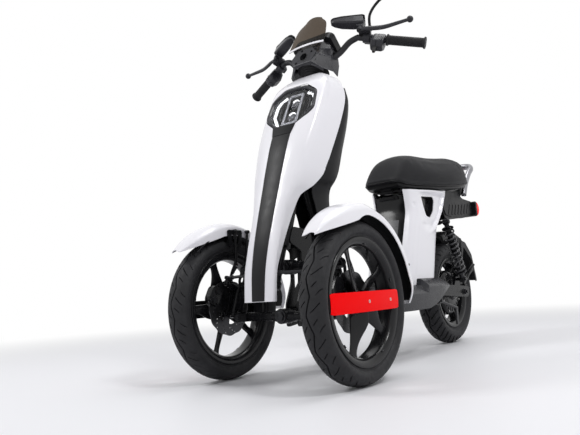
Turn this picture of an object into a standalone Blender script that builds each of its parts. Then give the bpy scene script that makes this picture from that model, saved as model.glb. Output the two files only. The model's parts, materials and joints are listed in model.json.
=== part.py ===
"""Electric tricycle with two leaning front wheels and one driven rear wheel.

Metres, +Z up, the front of the machine towards -Y, its left side towards +X.
Shapes are drawn from the front axle: y = 0 under the front axle and z = 0 on the floor.
The empty "front_axle_datum" carries them all, and puts the world's origin on the floor
under the middle of the machine.
"""

import math

import bmesh
import bpy
from mathutils import Matrix, Vector

# Driving dimensions
TRACK = 0.525
WHEELBASE = 1.215
FRONT_TYRE_RADIUS = 0.242
FRONT_TYRE_WIDTH = 0.084
FRONT_BEAD_RADIUS = 0.178
REAR_TYRE_RADIUS = 0.234
REAR_TYRE_WIDTH = 0.096
REAR_BEAD_RADIUS = 0.152
TYRE_WALL = 0.008
RIM_WALL = 0.004
FLANGE_HEIGHT = 0.010
WHEEL_STEPS = 24

# Clearances
SEAT_GAP = 0.0003
EDGE_GAP = 0.0014
BEARING_GAP = 0.0004
LEVER_GAP = 0.0008

# Steering geometry: the column and both kingpins lean back by the same angle
RAKE = math.radians(20.6)
COLUMN_TOP = Vector((0.0, 0.2575, 1.10))
COLUMN_RADIUS = 0.0125
HEAD_TUBE_RADIUS = 0.022
STEERING_ARM = 0.060
KINGPIN_INSET = 0.0425
KINGPIN_RADIUS = 0.005
KINGPIN_BARREL = 0.012

# Leaning linkage: two level arms, one above the other, and an upright at each end
ARM_TO_KINGPIN = 0.035
UPPER_ARM_Y = 0.035
UPPER_ARM_Z = 0.360
LOWER_ARM_Y = -0.005
LOWER_ARM_Z = 0.206
ARM_DEPTH = 0.047
ARM_EYE_RADIUS = 0.016
ARM_TUBE_RADIUS = 0.0145
ARM_BUSH_RADIUS = 0.024
CENTRE_PIN_RADIUS = 0.010
ARM_BOLT_RADIUS = 0.006
TIE_ROD_RADIUS = 0.0055

# Wheels, discs and axles
HUB_RADIUS = 0.030
AXLE_RADIUS = 0.010
DISC_RADIUS = 0.095
DISC_THICKNESS = 0.004
SPOKE_COUNT = 5
FENDER_CLEARANCE = 0.050
FENDER_HALF_WIDTH = 0.053
PANEL = 0.003

# Rear suspension
SWINGARM_LENGTH = 0.270
SWING_PIVOT_Z = 0.250
SWING_LEG = (0.028, 0.045)
SWING_TUBE_RADIUS = 0.017
SHOCK_X = 0.120
SHOCK_TOP = (1.020, 0.545)
SHOCK_FOOT = (1.150, 0.290)
COIL_RADIUS = 0.0215
COIL_WIRE = 0.0036
COIL_TURNS = 6

# Body
RAIL_X = 0.085
RAIL_RADIUS = 0.014
DECK_TOP = 0.275
DECK_STEP = 0.025
DECK_PANEL = 0.004
MAT_FRONT = 0.345
MAT_REAR = 0.620
MAT_WIDTH = 0.205
MAT_RISE = 0.001
STRIP_TOP = 0.818
REAR_OVERHANG = 0.315
TAIL_LAMP_REACH = 0.060
TAIL_LAMP_RADIUS = 0.037
TAIL_LAMP_Z = 0.641

# Values worked out from the ones above
FACET = math.cos(math.pi / WHEEL_STEPS)
FRONT_AXLE_Z = FRONT_TYRE_RADIUS * FACET
REAR_AXLE_Z = REAR_TYRE_RADIUS * FACET
WHEEL_X = TRACK / 2
KINGPIN_X = WHEEL_X - KINGPIN_INSET
ARM_REACH = KINGPIN_X - ARM_TO_KINGPIN
SWING_PIVOT_Y = WHEELBASE - SWINGARM_LENGTH
BODY_SHIFT = SWING_PIVOT_Y - 0.945
TAIL_END_Y = WHEELBASE + REAR_OVERHANG - TAIL_LAMP_REACH
RAIL_Z = DECK_TOP - DECK_PANEL - SEAT_GAP - RAIL_RADIUS
DATUM_Y = -(WHEELBASE + REAR_OVERHANG - FRONT_TYRE_RADIUS) / 2
UP_THE_RAKE = Vector((0.0, math.sin(RAKE), math.cos(RAKE)))
AHEAD = Vector((0.0, -math.cos(RAKE), math.sin(RAKE)))
RIGHT_ANGLE = math.pi / 2

COLLECTION = bpy.data.collections.new("electric_tricycle")


def clear_scene():
    """Empties the file, so that the script can run again in the text editor."""
    for thing in list(bpy.data.objects):
        bpy.data.objects.remove(thing)


def finish(name, colour, roughness, metallic=0.0):
    """One Principled material."""
    made = bpy.data.materials.new(name)
    made.use_nodes = True
    shader = made.node_tree.nodes["Principled BSDF"]
    shader.inputs["Base Color"].default_value = (*colour, 1.0)
    shader.inputs["Roughness"].default_value = roughness
    shader.inputs["Metallic"].default_value = metallic
    return made


# Shapes. Each returns a closed mesh, drawn from the front axle datum.


def evaluated(thing):
    """The mesh that an object's modifiers or curve settings make. The object is removed."""
    bpy.context.view_layer.update()
    graph = bpy.context.evaluated_depsgraph_get()
    mesh = bpy.data.meshes.new_from_object(thing.evaluated_get(graph))
    mesh.transform(thing.matrix_world)
    bpy.data.objects.remove(thing)
    return mesh


def scratch(mesh_or_curve):
    """A temporary object in the scene, for its modifiers."""
    thing = bpy.data.objects.new("scratch", mesh_or_curve)
    bpy.context.scene.collection.objects.link(thing)
    return thing


def from_bmesh(builder):
    """A mesh from a finished bmesh, with its faces turned outwards."""
    builder.normal_update()
    bmesh.ops.recalc_face_normals(builder, faces=builder.faces)
    mesh = bpy.data.meshes.new("shape")
    builder.to_mesh(mesh)
    builder.free()
    return mesh


def welded(mesh, distance=1e-5):
    """The same mesh with its doubled points merged."""
    builder = bmesh.new()
    builder.from_mesh(mesh)
    bmesh.ops.remove_doubles(builder, verts=builder.verts, dist=distance)
    return from_bmesh(builder)


def block(size, centre, turn=None, bevel=0.0):
    """A box, turned about its centre, with its edges broken by a bevel."""
    builder = bmesh.new()
    bmesh.ops.create_cube(builder, size=1.0, matrix=Matrix.Diagonal((*size, 1.0)))
    if bevel:
        bmesh.ops.bevel(
            builder, geom=builder.edges[:], offset=bevel, segments=1, affect="EDGES"
        )
    place = Matrix.Translation(Vector(centre)) @ (turn or Matrix.Identity(4))
    builder.transform(place)
    return from_bmesh(builder)


def along(direction):
    """The rotation that turns +Z to a direction."""
    return Vector(direction).to_track_quat("Z", "Y").to_matrix().to_4x4()


def rod(start, end, radius, sides=16, end_radius=None):
    """A round bar or a cone between two points."""
    start = Vector(start)
    end = Vector(end)
    builder = bmesh.new()
    bmesh.ops.create_cone(
        builder,
        cap_ends=True,
        segments=sides,
        radius1=radius,
        radius2=radius if end_radius is None else end_radius,
        depth=(end - start).length,
        matrix=Matrix.Translation((start + end) / 2) @ along(end - start),
    )
    return from_bmesh(builder)


def ball(centre, radius, sides=12):
    """A sphere."""
    builder = bmesh.new()
    bmesh.ops.create_uvsphere(
        builder,
        u_segments=sides,
        v_segments=sides // 2 + 2,
        radius=radius,
        matrix=Matrix.Translation(Vector(centre)),
    )
    return from_bmesh(builder)


def turned(profile, centre, direction, steps=24, phase=0.0):
    """A closed profile of (radius, distance along the axis) points, turned about an axis."""
    mesh = bpy.data.meshes.new("profile")
    points = [(radius, 0.0, height) for radius, height in profile]
    count = len(points)
    mesh.from_pydata(points, [(i, (i + 1) % count) for i in range(count)], [])
    thing = scratch(mesh)
    screw = thing.modifiers.new("turn", "SCREW")
    screw.steps = steps
    screw.render_steps = steps
    screw.use_merge_vertices = True
    screw.merge_threshold = 1e-5
    screw.use_normal_calculate = True
    thing.matrix_world = (
        Matrix.Translation(Vector(centre)) @ along(direction) @ Matrix.Rotation(phase, 4, "Z")
    )
    return welded(evaluated(thing))


def tube(points, radius, fineness=2):
    """A round tube or wire through points, with its ends capped."""
    curve = bpy.data.curves.new("path", "CURVE")
    curve.dimensions = "3D"
    curve.bevel_depth = radius
    curve.bevel_resolution = fineness
    curve.use_fill_caps = True
    spline = curve.splines.new("POLY")
    spline.points.add(len(points) - 1)
    for node, point in zip(spline.points, points):
        node.co = (*point, 1.0)
    return welded(evaluated(scratch(curve)))


def smooth_path(points, pieces=4):
    """Points on a smooth curve through the given ones."""
    knots = [Vector(p) for p in points]
    knots = [2 * knots[0] - knots[1], *knots, 2 * knots[-1] - knots[-2]]
    path = []
    for i in range(1, len(knots) - 2):
        before, start, end, after = knots[i - 1 : i + 3]
        for step in range(pieces):
            t = step / pieces
            path.append(
                0.5
                * (
                    2 * start
                    + (end - before) * t
                    + (2 * before - 5 * start + 4 * end - after) * t * t
                    + (3 * start - before - 3 * end + after) * t**3
                )
            )
    path.append(knots[-2])
    return path


def plate(outline, thickness, place, holes=()):
    """A flat outline with holes, given thickness. place carries its plane to where it belongs."""
    curve = bpy.data.curves.new("outline", "CURVE")
    curve.dimensions = "2D"
    curve.fill_mode = "BOTH"
    curve.extrude = thickness / 2
    for loop in (outline, *holes):
        spline = curve.splines.new("POLY")
        spline.points.add(len(loop) - 1)
        spline.use_cyclic_u = True
        for node, (across, up) in zip(spline.points, loop):
            node.co = (across, up, 0.0, 1.0)
    thing = scratch(curve)
    thing.matrix_world = place
    return welded(evaluated(thing))


def side_plane(x):
    """Carries an outline of (y, z) points to the plane at x."""
    return Matrix.Translation((x, 0.0, 0.0)) @ Matrix(
        ((0, 0, 1, 0), (1, 0, 0, 0), (0, 1, 0, 0), (0, 0, 0, 1))
    )


def circle(centre, radius, count):
    """Points round a circle in a flat outline."""
    return [
        (
            centre[0] + radius * math.cos(math.tau * i / count),
            centre[1] + radius * math.sin(math.tau * i / count),
        )
        for i in range(count)
    ]


def skin(rows, thickness, inwards=True):
    """A shell: an open sheet through rows of points, given thickness on one side."""
    builder = bmesh.new()
    grid = [[builder.verts.new(p) for p in row] for row in rows]
    for near, far in zip(grid, grid[1:]):
        for i in range(len(near) - 1):
            builder.faces.new((near[i], near[i + 1], far[i + 1], far[i]))
    mesh = bpy.data.meshes.new("sheet")
    builder.to_mesh(mesh)
    builder.free()
    thing = scratch(mesh)
    solidify = thing.modifiers.new("wall", "SOLIDIFY")
    solidify.thickness = thickness
    solidify.offset = -1.0 if inwards else 1.0
    solidify.use_even_offset = True
    return welded(evaluated(thing))


def loft(rings):
    """A closed body through rings of points, with flat ends."""
    builder = bmesh.new()
    loops = [[builder.verts.new(p) for p in ring] for ring in rings]
    count = len(loops[0])
    for near, far in zip(loops, loops[1:]):
        for i in range(count):
            j = (i + 1) % count
            builder.faces.new((near[i], near[j], far[j], far[i]))
    builder.faces.new(loops[0])
    builder.faces.new(list(reversed(loops[-1])))
    return from_bmesh(builder)


def combined(base, joined=(), cut=()):
    """One body: the base with shapes joined to it, and then with others cut from it."""
    thing = scratch(base)
    tools = []
    for shapes, operation in ((joined, "UNION"), (cut, "DIFFERENCE")):
        for shape in shapes:
            tool = scratch(shape)
            tools.append(tool)
            boolean = thing.modifiers.new(operation, "BOOLEAN")
            boolean.operation = operation
            boolean.solver = "EXACT"
            boolean.object = tool
    mesh = evaluated(thing)
    for tool in tools:
        bpy.data.objects.remove(tool)
    return mesh


def mirrored(mesh, side):
    """The mesh as drawn for the left, or its mirror image for the right."""
    if side < 0:
        mesh.transform(Matrix.Diagonal((-1.0, 1.0, 1.0, 1.0)))
        mesh.flip_normals()
    return mesh


def pivot(name, place, parent):
    """An empty on a joint's axis, placed from the front axle datum."""
    empty = bpy.data.objects.new(name, None)
    COLLECTION.objects.link(empty)
    empty.parent = parent
    here = Vector(place)
    empty["place"] = here
    empty.location = here - Vector(parent["place"]) if parent else here
    return empty


def part(name, mesh, parent, look):
    """A named sub-part that rides on a pivot."""
    thing = bpy.data.objects.new(name, mesh)
    mesh.name = name
    COLLECTION.objects.link(thing)
    mesh.materials.clear()
    mesh.materials.append(finish(name + "_finish", *look))
    mesh.shade_smooth()
    mesh.set_sharp_from_angle(angle=math.radians(35))
    thing.parent = parent
    thing.location = -Vector(parent["place"])
    return thing


# Looks: colour, roughness, metallic
WHITE = ((0.86, 0.86, 0.88), 0.18, 0.0)
BLACK_GLOSS = ((0.02, 0.02, 0.022), 0.15, 0.0)
DARK = ((0.05, 0.05, 0.055), 0.45, 0.0)
GREY = ((0.10, 0.10, 0.11), 0.4, 0.0)
STEEL_BLACK = ((0.03, 0.03, 0.033), 0.35, 0.6)
ALUMINIUM = ((0.6, 0.6, 0.62), 0.3, 1.0)
RUBBER = ((0.025, 0.025, 0.027), 0.75, 0.0)
RED = ((0.75, 0.01, 0.02), 0.15, 0.0)
CLEAR = ((0.8, 0.82, 0.85), 0.05, 0.0)


def column(along_axis, ahead=0.0, across=0.0):
    """A point by its distance down the steering column's axis, and ahead of it."""
    return COLUMN_TOP - UP_THE_RAKE * along_axis + AHEAD * ahead + Vector((across, 0, 0))


def column_at(height):
    """How far down the column's axis a height lies."""
    return (COLUMN_TOP.z - height) / math.cos(RAKE)


def kingpin(along_axis, ahead=0.0, across=0.0):
    """A point by its distance up the left kingpin's axis from the axle, and ahead of it."""
    foot = Vector((KINGPIN_X, 0.0, FRONT_AXLE_Z))
    return foot + UP_THE_RAKE * along_axis + AHEAD * ahead + Vector((across, 0, 0))


# Sections of the body, each a height and what is there

COVER = (
    # height, half width, front edge, rear edge
    (0.255, 0.058, -0.128, -0.117),
    (0.345, 0.059, -0.119, -0.108),
    (0.430, 0.060, -0.099, -0.070),
    (0.520, 0.063, -0.070, -0.022),
    (0.585, 0.075, -0.047, 0.012),
    (0.620, 0.088, -0.034, 0.070),
    (0.660, 0.098, -0.020, 0.115),
    (0.760, 0.112, 0.018, 0.165),
    (0.860, 0.120, 0.067, 0.215),
    (0.940, 0.120, 0.108, 0.250),
    (0.986, 0.112, 0.135, 0.256),
    (1.020, 0.092, 0.172, 0.254),
    (1.040, 0.060, 0.200, 0.250),
)

# across the front, from the left edge to the right: share of the half width, share of the depth
COVER_FORM = (
    (1.00, 1.00),
    (0.995, 0.36),
    (0.91, 0.12),
    (0.62, 0.02),
    (0.0, -0.012),
)


def between(table, height, column_index):
    """A value from a table of sections, at any height."""
    for low, high in zip(table, table[1:]):
        if height <= high[0]:
            share = (height - low[0]) / (high[0] - low[0])
            return low[column_index] + share * (high[column_index] - low[column_index])
    return table[-1][column_index]


def cover_row(height, proud=0.0, width_limit=None):
    """Points across the front cover at one height, moved outwards by proud."""
    half = between(COVER, height, 1) + proud
    front = between(COVER, height, 2) - proud
    rear = between(COVER, height, 3)
    left = [(half * w, front + (rear - front) * d) for w, d in COVER_FORM]
    row = left + [(-x, y) for x, y in reversed(left[:-1])]
    if width_limit is not None:
        row = [(x, y) for x, y in row if abs(x) <= width_limit]
    return [Vector((x, y, height)) for x, y in row]


def front_at(x, height):
    """The front cover's outer surface at a place across it."""
    row = cover_row(height)[1:-1]
    for a, b in zip(row, row[1:]):
        if b.x <= x <= a.x:
            share = (a.x - x) / (a.x - b.x)
            return a.y + share * (b.y - a.y)
    return row[0].y


HEADLIGHT_OUTLINE = (
    # across, up the slope
    (0.045, 0.088),
    (0.098, 0.048),
    (0.103, -0.028),
    (0.090, -0.052),
    (0.042, -0.092),
)
HEADLIGHT_CENTRE = Vector((0.0, 0.100, 0.906))
HEADLIGHT_SLOPE = math.radians(27.7)
LENS_SCALE = 0.80


def headlight_loop(scale, grow=0.0):
    """The headlight's outline, scaled about its centre."""
    right = [(x * scale + grow, y * scale + math.copysign(grow, y)) for x, y in HEADLIGHT_OUTLINE]
    return right + [(-x, y) for x, y in reversed(right)]


def headlight_ring(scale, depth, grow=0.0):
    """The outline as a ring of points at a depth behind the headlight's face."""
    lean_back = Matrix.Rotation(RIGHT_ANGLE - HEADLIGHT_SLOPE, 4, "X")
    place = Matrix.Translation(HEADLIGHT_CENTRE) @ lean_back
    return [place @ Vector((x, y, -depth)) for x, y in headlight_loop(scale, grow)]


def build_body(root):
    """The pieces fixed to the frame."""
    build_frame(root)
    cover = skin([cover_row(section[0]) for section in COVER], PANEL)
    opening = loft([headlight_ring(1.0, 0.060, SEAT_GAP), headlight_ring(1.0, -0.060, SEAT_GAP)])
    part("front_cover", combined(cover, cut=[opening]), root, WHITE)

    strip_rows = []
    heights = [section[0] for section in COVER if section[0] < STRIP_TOP]
    for height in [*heights, STRIP_TOP]:
        half = 0.024 + 0.014 * (height - COVER[0][0]) / 0.55
        row = [(half, height), (half * 0.5, height), (0.0, height)]
        row += [(-x, z) for x, z in reversed(row[:-1])]
        strip_rows.append(
            [Vector((x, front_at(x, z) - SEAT_GAP * 2 - 0.003, z)) for x, z in row]
        )
    part("cover_strip", skin(strip_rows, 0.003), root, BLACK_GLOSS)

    shell = loft([headlight_ring(0.88, 0.046), headlight_ring(1.0, 0.004), headlight_ring(0.985, -0.006)])
    bowl = loft([headlight_ring(0.66, 0.038), headlight_ring(LENS_SCALE, 0.010),
                 headlight_ring(LENS_SCALE, -0.010)])
    part("headlight_housing", combined(shell, cut=[bowl]), root, DARK)
    scale = LENS_SCALE - 0.005
    lens = loft([headlight_ring(scale, 0.004), headlight_ring(scale, -0.003),
                 headlight_ring(scale * 0.93, -0.007)])
    part("headlight_lens", lens, root, CLEAR)

    build_leg_shield(root)
    build_deck(root)
    build_battery_box(root)
    build_tail(root)


def build_frame(root):
    """The welded frame: head tube, pivot carrier, down tube, floor rails and seat rails."""
    top = column_at(1.000)
    bottom = column_at(0.425)
    upper_back = UPPER_ARM_Y + ARM_DEPTH / 2
    lower_back = LOWER_ARM_Y + ARM_DEPTH / 2
    base = rod(column(bottom), column(top), HEAD_TUBE_RADIUS, 18)
    joined = []
    outline = [
        (lower_back + 0.012, LOWER_ARM_Z - 0.038),
        (lower_back + 0.080, LOWER_ARM_Z - 0.030),
        (upper_back + 0.064, UPPER_ARM_Z - 0.050),
        (upper_back + 0.070, 0.480),
        (0.030, 0.490),
        (0.008, 0.440),
        (upper_back + 0.010, UPPER_ARM_Z + 0.052),
        (upper_back + 0.007, UPPER_ARM_Z - 0.045),
        (lower_back + 0.012, LOWER_ARM_Z + 0.035),
    ]
    window = [
        (upper_back + 0.022, UPPER_ARM_Z - 0.075),
        (upper_back + 0.046, UPPER_ARM_Z - 0.050),
        (upper_back + 0.050, UPPER_ARM_Z + 0.035),
        (upper_back + 0.024, UPPER_ARM_Z + 0.025),
    ]
    for side in (1, -1):
        joined.append(plate(outline, 0.006, side_plane(side * 0.0225), [window]))
    for y, z in ((upper_back, UPPER_ARM_Z), (lower_back, LOWER_ARM_Z)):
        joined.append(rod((0, y + SEAT_GAP, z), (0, y + 0.050, z), 0.021, 16))
    joined.append(tube([(0, 0.062, 0.450), (0, 0.222, 0.440)], 0.0205, 2))
    joined.append(tube([(0, 0.055, 0.205), (0, 0.200, 0.235), (0, 0.270, 0.270)], 0.0200, 2))
    down_z = DECK_TOP - DECK_PANEL - 0.0175 - 0.003
    down = smooth_path(
        [(0, 0.118, 0.720), (0, 0.212, 0.460), (0, 0.236, 0.370), (0, 0.258, 0.295),
         (0, 0.296, down_z + 0.006), (0, 0.345, down_z), (0, 0.400, down_z)], 2
    )
    joined.append(tube(down, 0.0175, 2))
    rear = SWING_PIVOT_Y
    for y in (0.385, rear - 0.235, rear - 0.105, rear - 0.045):
        joined.append(rod((-RAIL_X, y, RAIL_Z), (RAIL_X, y, RAIL_Z), 0.012, 8))
    for side in (1, -1):
        x = side * RAIL_X
        joined.append(rod((x, 0.372, RAIL_Z), (x, rear - 0.030, RAIL_Z), RAIL_RADIUS, 10))
        x = side * 0.060
        front = [(x, rear - 0.245, RAIL_Z), (x, rear - 0.215, 0.440), (x, rear - 0.168, 0.600),
                 (x, rear - 0.172, 0.655), (x, rear - 0.120, 0.664), (x, rear + 0.115, 0.682),
                 (x, rear + 0.320, 0.693)]
        joined.append(tube(front, 0.0095, 1))
        back = [(x, rear - 0.105, RAIL_Z), (x, rear - 0.075, 0.480), (x, rear + 0.015, 0.640),
                (x, rear + 0.060, 0.678)]
        joined.append(tube(back, 0.0095, 1))
        ear_x = side * (swing_leg_x() + SWING_LEG[0] / 2 + SEAT_GAP + 0.004)
        ear = [(rear - 0.070, 0.268), (rear - 0.075, 0.190), (rear - 0.040, 0.185),
               (rear + 0.020, 0.228), (rear + 0.022, 0.268), (rear - 0.005, 0.281)]
        joined.append(plate(ear, 0.008, side_plane(ear_x)))
        joined.append(rod((side * RAIL_X, rear - 0.050, RAIL_Z), (ear_x, rear - 0.050, RAIL_Z), 0.010, 12))
        inner = side * (swing_leg_x() - 0.010)
        joined.append(rod((ear_x, rear, SWING_PIVOT_Z), (inner, rear, SWING_PIVOT_Z), 0.009, 16))
    hinge_y, hinge_z = seat_hinge()
    joined.append(rod((-0.062, hinge_y, hinge_z), (0.062, hinge_y, hinge_z), 0.004, 10))
    for side in (1, -1):
        x = side * 0.060
        joined.append(rod((x, hinge_y, hinge_z), (x, rear - 0.165, 0.655), 0.0055, 10))
    top_y = SHOCK_TOP[0] + BODY_SHIFT
    joined.append(rod((-0.060, rear - 0.024, 0.565), (0.060, rear - 0.024, 0.565), 0.009, 12))
    arm = [(0.052, rear - 0.026, 0.562), (0.062, rear + 0.040, 0.555), (0.076, top_y, SHOCK_TOP[1]),
           (0.094, top_y, SHOCK_TOP[1])]
    joined.append(tube(arm, 0.010, 1))
    joined.append(rod((0.085, top_y, SHOCK_TOP[1]), (SHOCK_X + 0.012, top_y, SHOCK_TOP[1]), 0.007, 14))
    stand_y, stand_z = stand_pivot()
    stand_x = swing_leg_x() + SWING_LEG[0] / 2 + SEAT_GAP + 0.004
    joined.append(rod((stand_x, stand_y, stand_z), (stand_x + 0.020, stand_y, stand_z), 0.005, 12))
    bore = rod(column(bottom + 0.05), column(top - 0.05), COLUMN_RADIUS + 0.004, 20)
    mesh = combined(base, joined, [bore])
    pins = []
    for y, z in ((UPPER_ARM_Y, UPPER_ARM_Z), (LOWER_ARM_Y, LOWER_ARM_Z)):
        front = y - ARM_DEPTH / 2
        pins.append(rod((0, y + 0.040, z), (0, front - SEAT_GAP - 0.002, z), CENTRE_PIN_RADIUS, 16))
        pins.append(rod((0, front - SEAT_GAP, z), (0, front - 0.0065, z), 0.0165, 6))
    part("frame", combined(mesh, pins), root, STEEL_BLACK)


def swing_leg_x():
    """The middle of a swingarm leg, beside the rear tyre."""
    return REAR_TYRE_WIDTH / 2 + 0.021 + SWING_LEG[0] / 2


def seat_hinge():
    """The seat's hinge line, just ahead of the battery box."""
    return 0.722 + BODY_SHIFT, 0.667


def stand_pivot():
    """The side stand's pivot."""
    return 0.900 + BODY_SHIFT, 0.205


SHIELD = (
    # height, half width, front edge, back
    (0.300, 0.052, 0.232, 0.318),
    (0.360, 0.046, 0.190, 0.288),
    (0.450, 0.042, 0.165, 0.262),
    (0.550, 0.045, 0.140, 0.246),
    (0.620, 0.060, 0.104, 0.240),
    (0.660, 0.098, None, 0.238),
    (0.760, 0.112, None, 0.262),
    (0.860, 0.120, None, 0.290),
    (0.940, 0.120, None, 0.300),
    (0.986, 0.112, None, 0.290),
)

SHIELD_FORM = ((1.0, 0.0), (1.0, 0.45), (0.90, 0.80), (0.62, 0.97), (0.0, 1.0))


def build_leg_shield(root):
    """The dark shell behind the front cover, which closes it and runs down to the deck."""
    rows = []
    for height, half, front, back in SHIELD:
        if front is None:
            half = between(COVER, height, 1)
            front = between(COVER, height, 3) + SEAT_GAP
        z = max(height, DECK_TOP + SEAT_GAP)
        left = [Vector((half * w, front + (back - front) * d, z)) for w, d in SHIELD_FORM]
        right = [Vector((-p.x, p.y, z)) for p in reversed(left[:-1])]
        rows.append(left + right)
    rows[0] = [Vector((p.x, p.y, DECK_TOP + EDGE_GAP)) for p in rows[0]]
    part("leg_shield", skin(rows, PANEL), root, DARK)


DECK = (
    # distance back, half width, bottom edge, 1 where the top is raised
    (0.262, 0.085, 0.225, 0),
    (0.300, 0.104, 0.208, 0),
    (0.360, 0.130, 0.192, 0),
    (0.430, 0.148, 0.184, 0),
    (0.560, 0.155, 0.181, 0),
    (0.714, 0.155, 0.183, 0),
    (0.727, 0.155, 0.184, 1),
    (0.800, 0.153, 0.202, 1),
    (0.880, 0.150, 0.236, 1),
    (0.948, 0.142, 0.262, 1),
)


def deck_y(y):
    """Keeps the front of the deck in place and moves its rear with the swingarm's pivot."""
    return y if y < 0.65 else y + BODY_SHIFT


def build_deck(root):
    """The footboard: a tray upside down, with skirts at its sides."""
    rows = []
    for y, half, low, raised in DECK:
        top = DECK_TOP + DECK_STEP * raised
        shoulder = top - 0.030
        left = [(half, low), (half, shoulder), (half - 0.034, top), (half * 0.4, top), (0.0, top)]
        row = left + [(-x, z) for x, z in reversed(left[:-1])]
        rows.append([Vector((x, deck_y(y), z)) for x, z in row])
    tray = skin(rows, DECK_PANEL, inwards=False)
    well = block(
        (0.150, 0.330, 0.200), (0.0, 0.835 + BODY_SHIFT, 0.300)
    )
    neck = block((0.046, 0.090, 0.100), (0.0, 0.272, 0.275))
    mat_deep = DECK_PANEL * 0.9
    mat = block((MAT_WIDTH, MAT_REAR - MAT_FRONT, mat_deep),
                (0.0, (MAT_FRONT + MAT_REAR) / 2, DECK_TOP + MAT_RISE - mat_deep / 2))
    part("footboard", combined(combined(tray, [mat]), cut=[well, neck]), root, GREY)


BOX_FRONT = ((0.275, 0.640), (0.434, 0.685), (0.534, 0.720), (0.595, 0.740), (0.636, 0.739), (0.690, 0.729))
BOX_REAR = ((0.275, 0.905), (0.313, 0.912), (0.485, 0.962), (0.530, 0.982), (0.626, 1.075), (0.700, 1.115),
            (0.730, 1.060))
SEAT_BASE = ((0.665, 0.700), (0.740, 0.690), (0.820, 0.692), (0.920, 0.698), (1.020, 0.705), (1.120, 0.715),
             (1.220, 0.727), (1.300, 0.742), (1.360, 0.765), (1.390, 0.785))
# share of the way back along a battery cover, and how far out it is
BOX_FORM = ((0.0, 0.070), (0.05, 0.086), (0.16, 0.098), (0.26, 0.103), (0.30, 0.105), (0.62, 0.109),
            (0.92, 0.103), (1.0, 0.088))


def along_table(table, value):
    """Straight-line reading of a table of pairs."""
    for (a, p), (b, q) in zip(table, table[1:]):
        if value <= b:
            return p + (q - p) * (value - a) / (b - a)
    return table[-1][1]


def box_top(y):
    """The top edge of the battery covers, just under the seat's pan."""
    return along_table(SEAT_BASE, y) - 0.014 - 0.0045


def build_battery_box(root):
    """The battery under the seat, with its side and front covers, and the controller."""
    rows_up = 9
    for side, name in ((1, "battery_cover_left"), (-1, "battery_cover_right")):
        rows = []
        for step in range(rows_up + 1):
            share = step / rows_up
            row = []
            for back, out in BOX_FORM:
                # The outline is read at a height first, and the height then follows the seat
                guess = 0.28 + share * 0.41
                front = along_table(BOX_FRONT, guess)
                rear = along_table(BOX_REAR, guess)
                y = front + back * (rear - front)
                low = DECK_TOP + EDGE_GAP
                z = low + share * (box_top(y) - low)
                if step == 0 and y > 0.715:
                    z = low + DECK_STEP
                row.append(Vector((out, y + BODY_SHIFT, z)))
            rows.append(row)
        shell = skin(rows, PANEL)
        hole = [(0.838, 0.648), (0.958, 0.655), (0.968, 0.640), (0.950, 0.590), (0.914, 0.560),
                (0.880, 0.566)]
        hole = [(y + BODY_SHIFT, z) for y, z in hole]
        window = plate(hole, 0.120, side_plane(0.110))
        part(name, mirrored(combined(shell, cut=[window]), side), root, WHITE)

    rows = []
    for step in range(8):
        z = DECK_TOP + SEAT_GAP * 2 + step / 7 * (0.648 - DECK_TOP)
        y = along_table(BOX_FRONT, z) + 0.006 + BODY_SHIFT
        half = 0.070 - PANEL - 0.0028
        row = [(half, y + 0.001), (half * 0.7, y - 0.002), (0.0, y - 0.003)]
        row += [(-x, d) for x, d in reversed(row[:-1])]
        rows.append([Vector((x, d, z)) for x, d in row])
    part("battery_cover_front", skin(rows, PANEL), root, BLACK_GLOSS)

    floor = RAIL_Z + 0.012 + SEAT_GAP
    rear = SWING_PIVOT_Y
    pack = block((0.096, 0.096, 0.350), (0.0, rear - 0.086, floor + 0.175), bevel=0.004)
    grip = tube([(0, rear - 0.115, floor + 0.342), (0, rear - 0.112, floor + 0.366),
                 (0, rear - 0.058, floor + 0.366), (0, rear - 0.055, floor + 0.342)], 0.006, 1)
    part("battery_pack", combined(pack, [grip]), root, DARK)
    base = block((0.092, 0.080, 0.016), (0.0, rear - 0.205, floor + 0.008))
    fins = []
    for i in range(5):
        fins.append(block((0.092, 0.004, 0.120), (0.0, rear - 0.205 + (i - 2) * 0.018, floor + 0.070)))
    core = block((0.080, 0.074, 0.060), (0.0, rear - 0.205, floor + 0.044))
    part("motor_controller", combined(base, [core, *fins]), root, ALUMINIUM)


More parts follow.
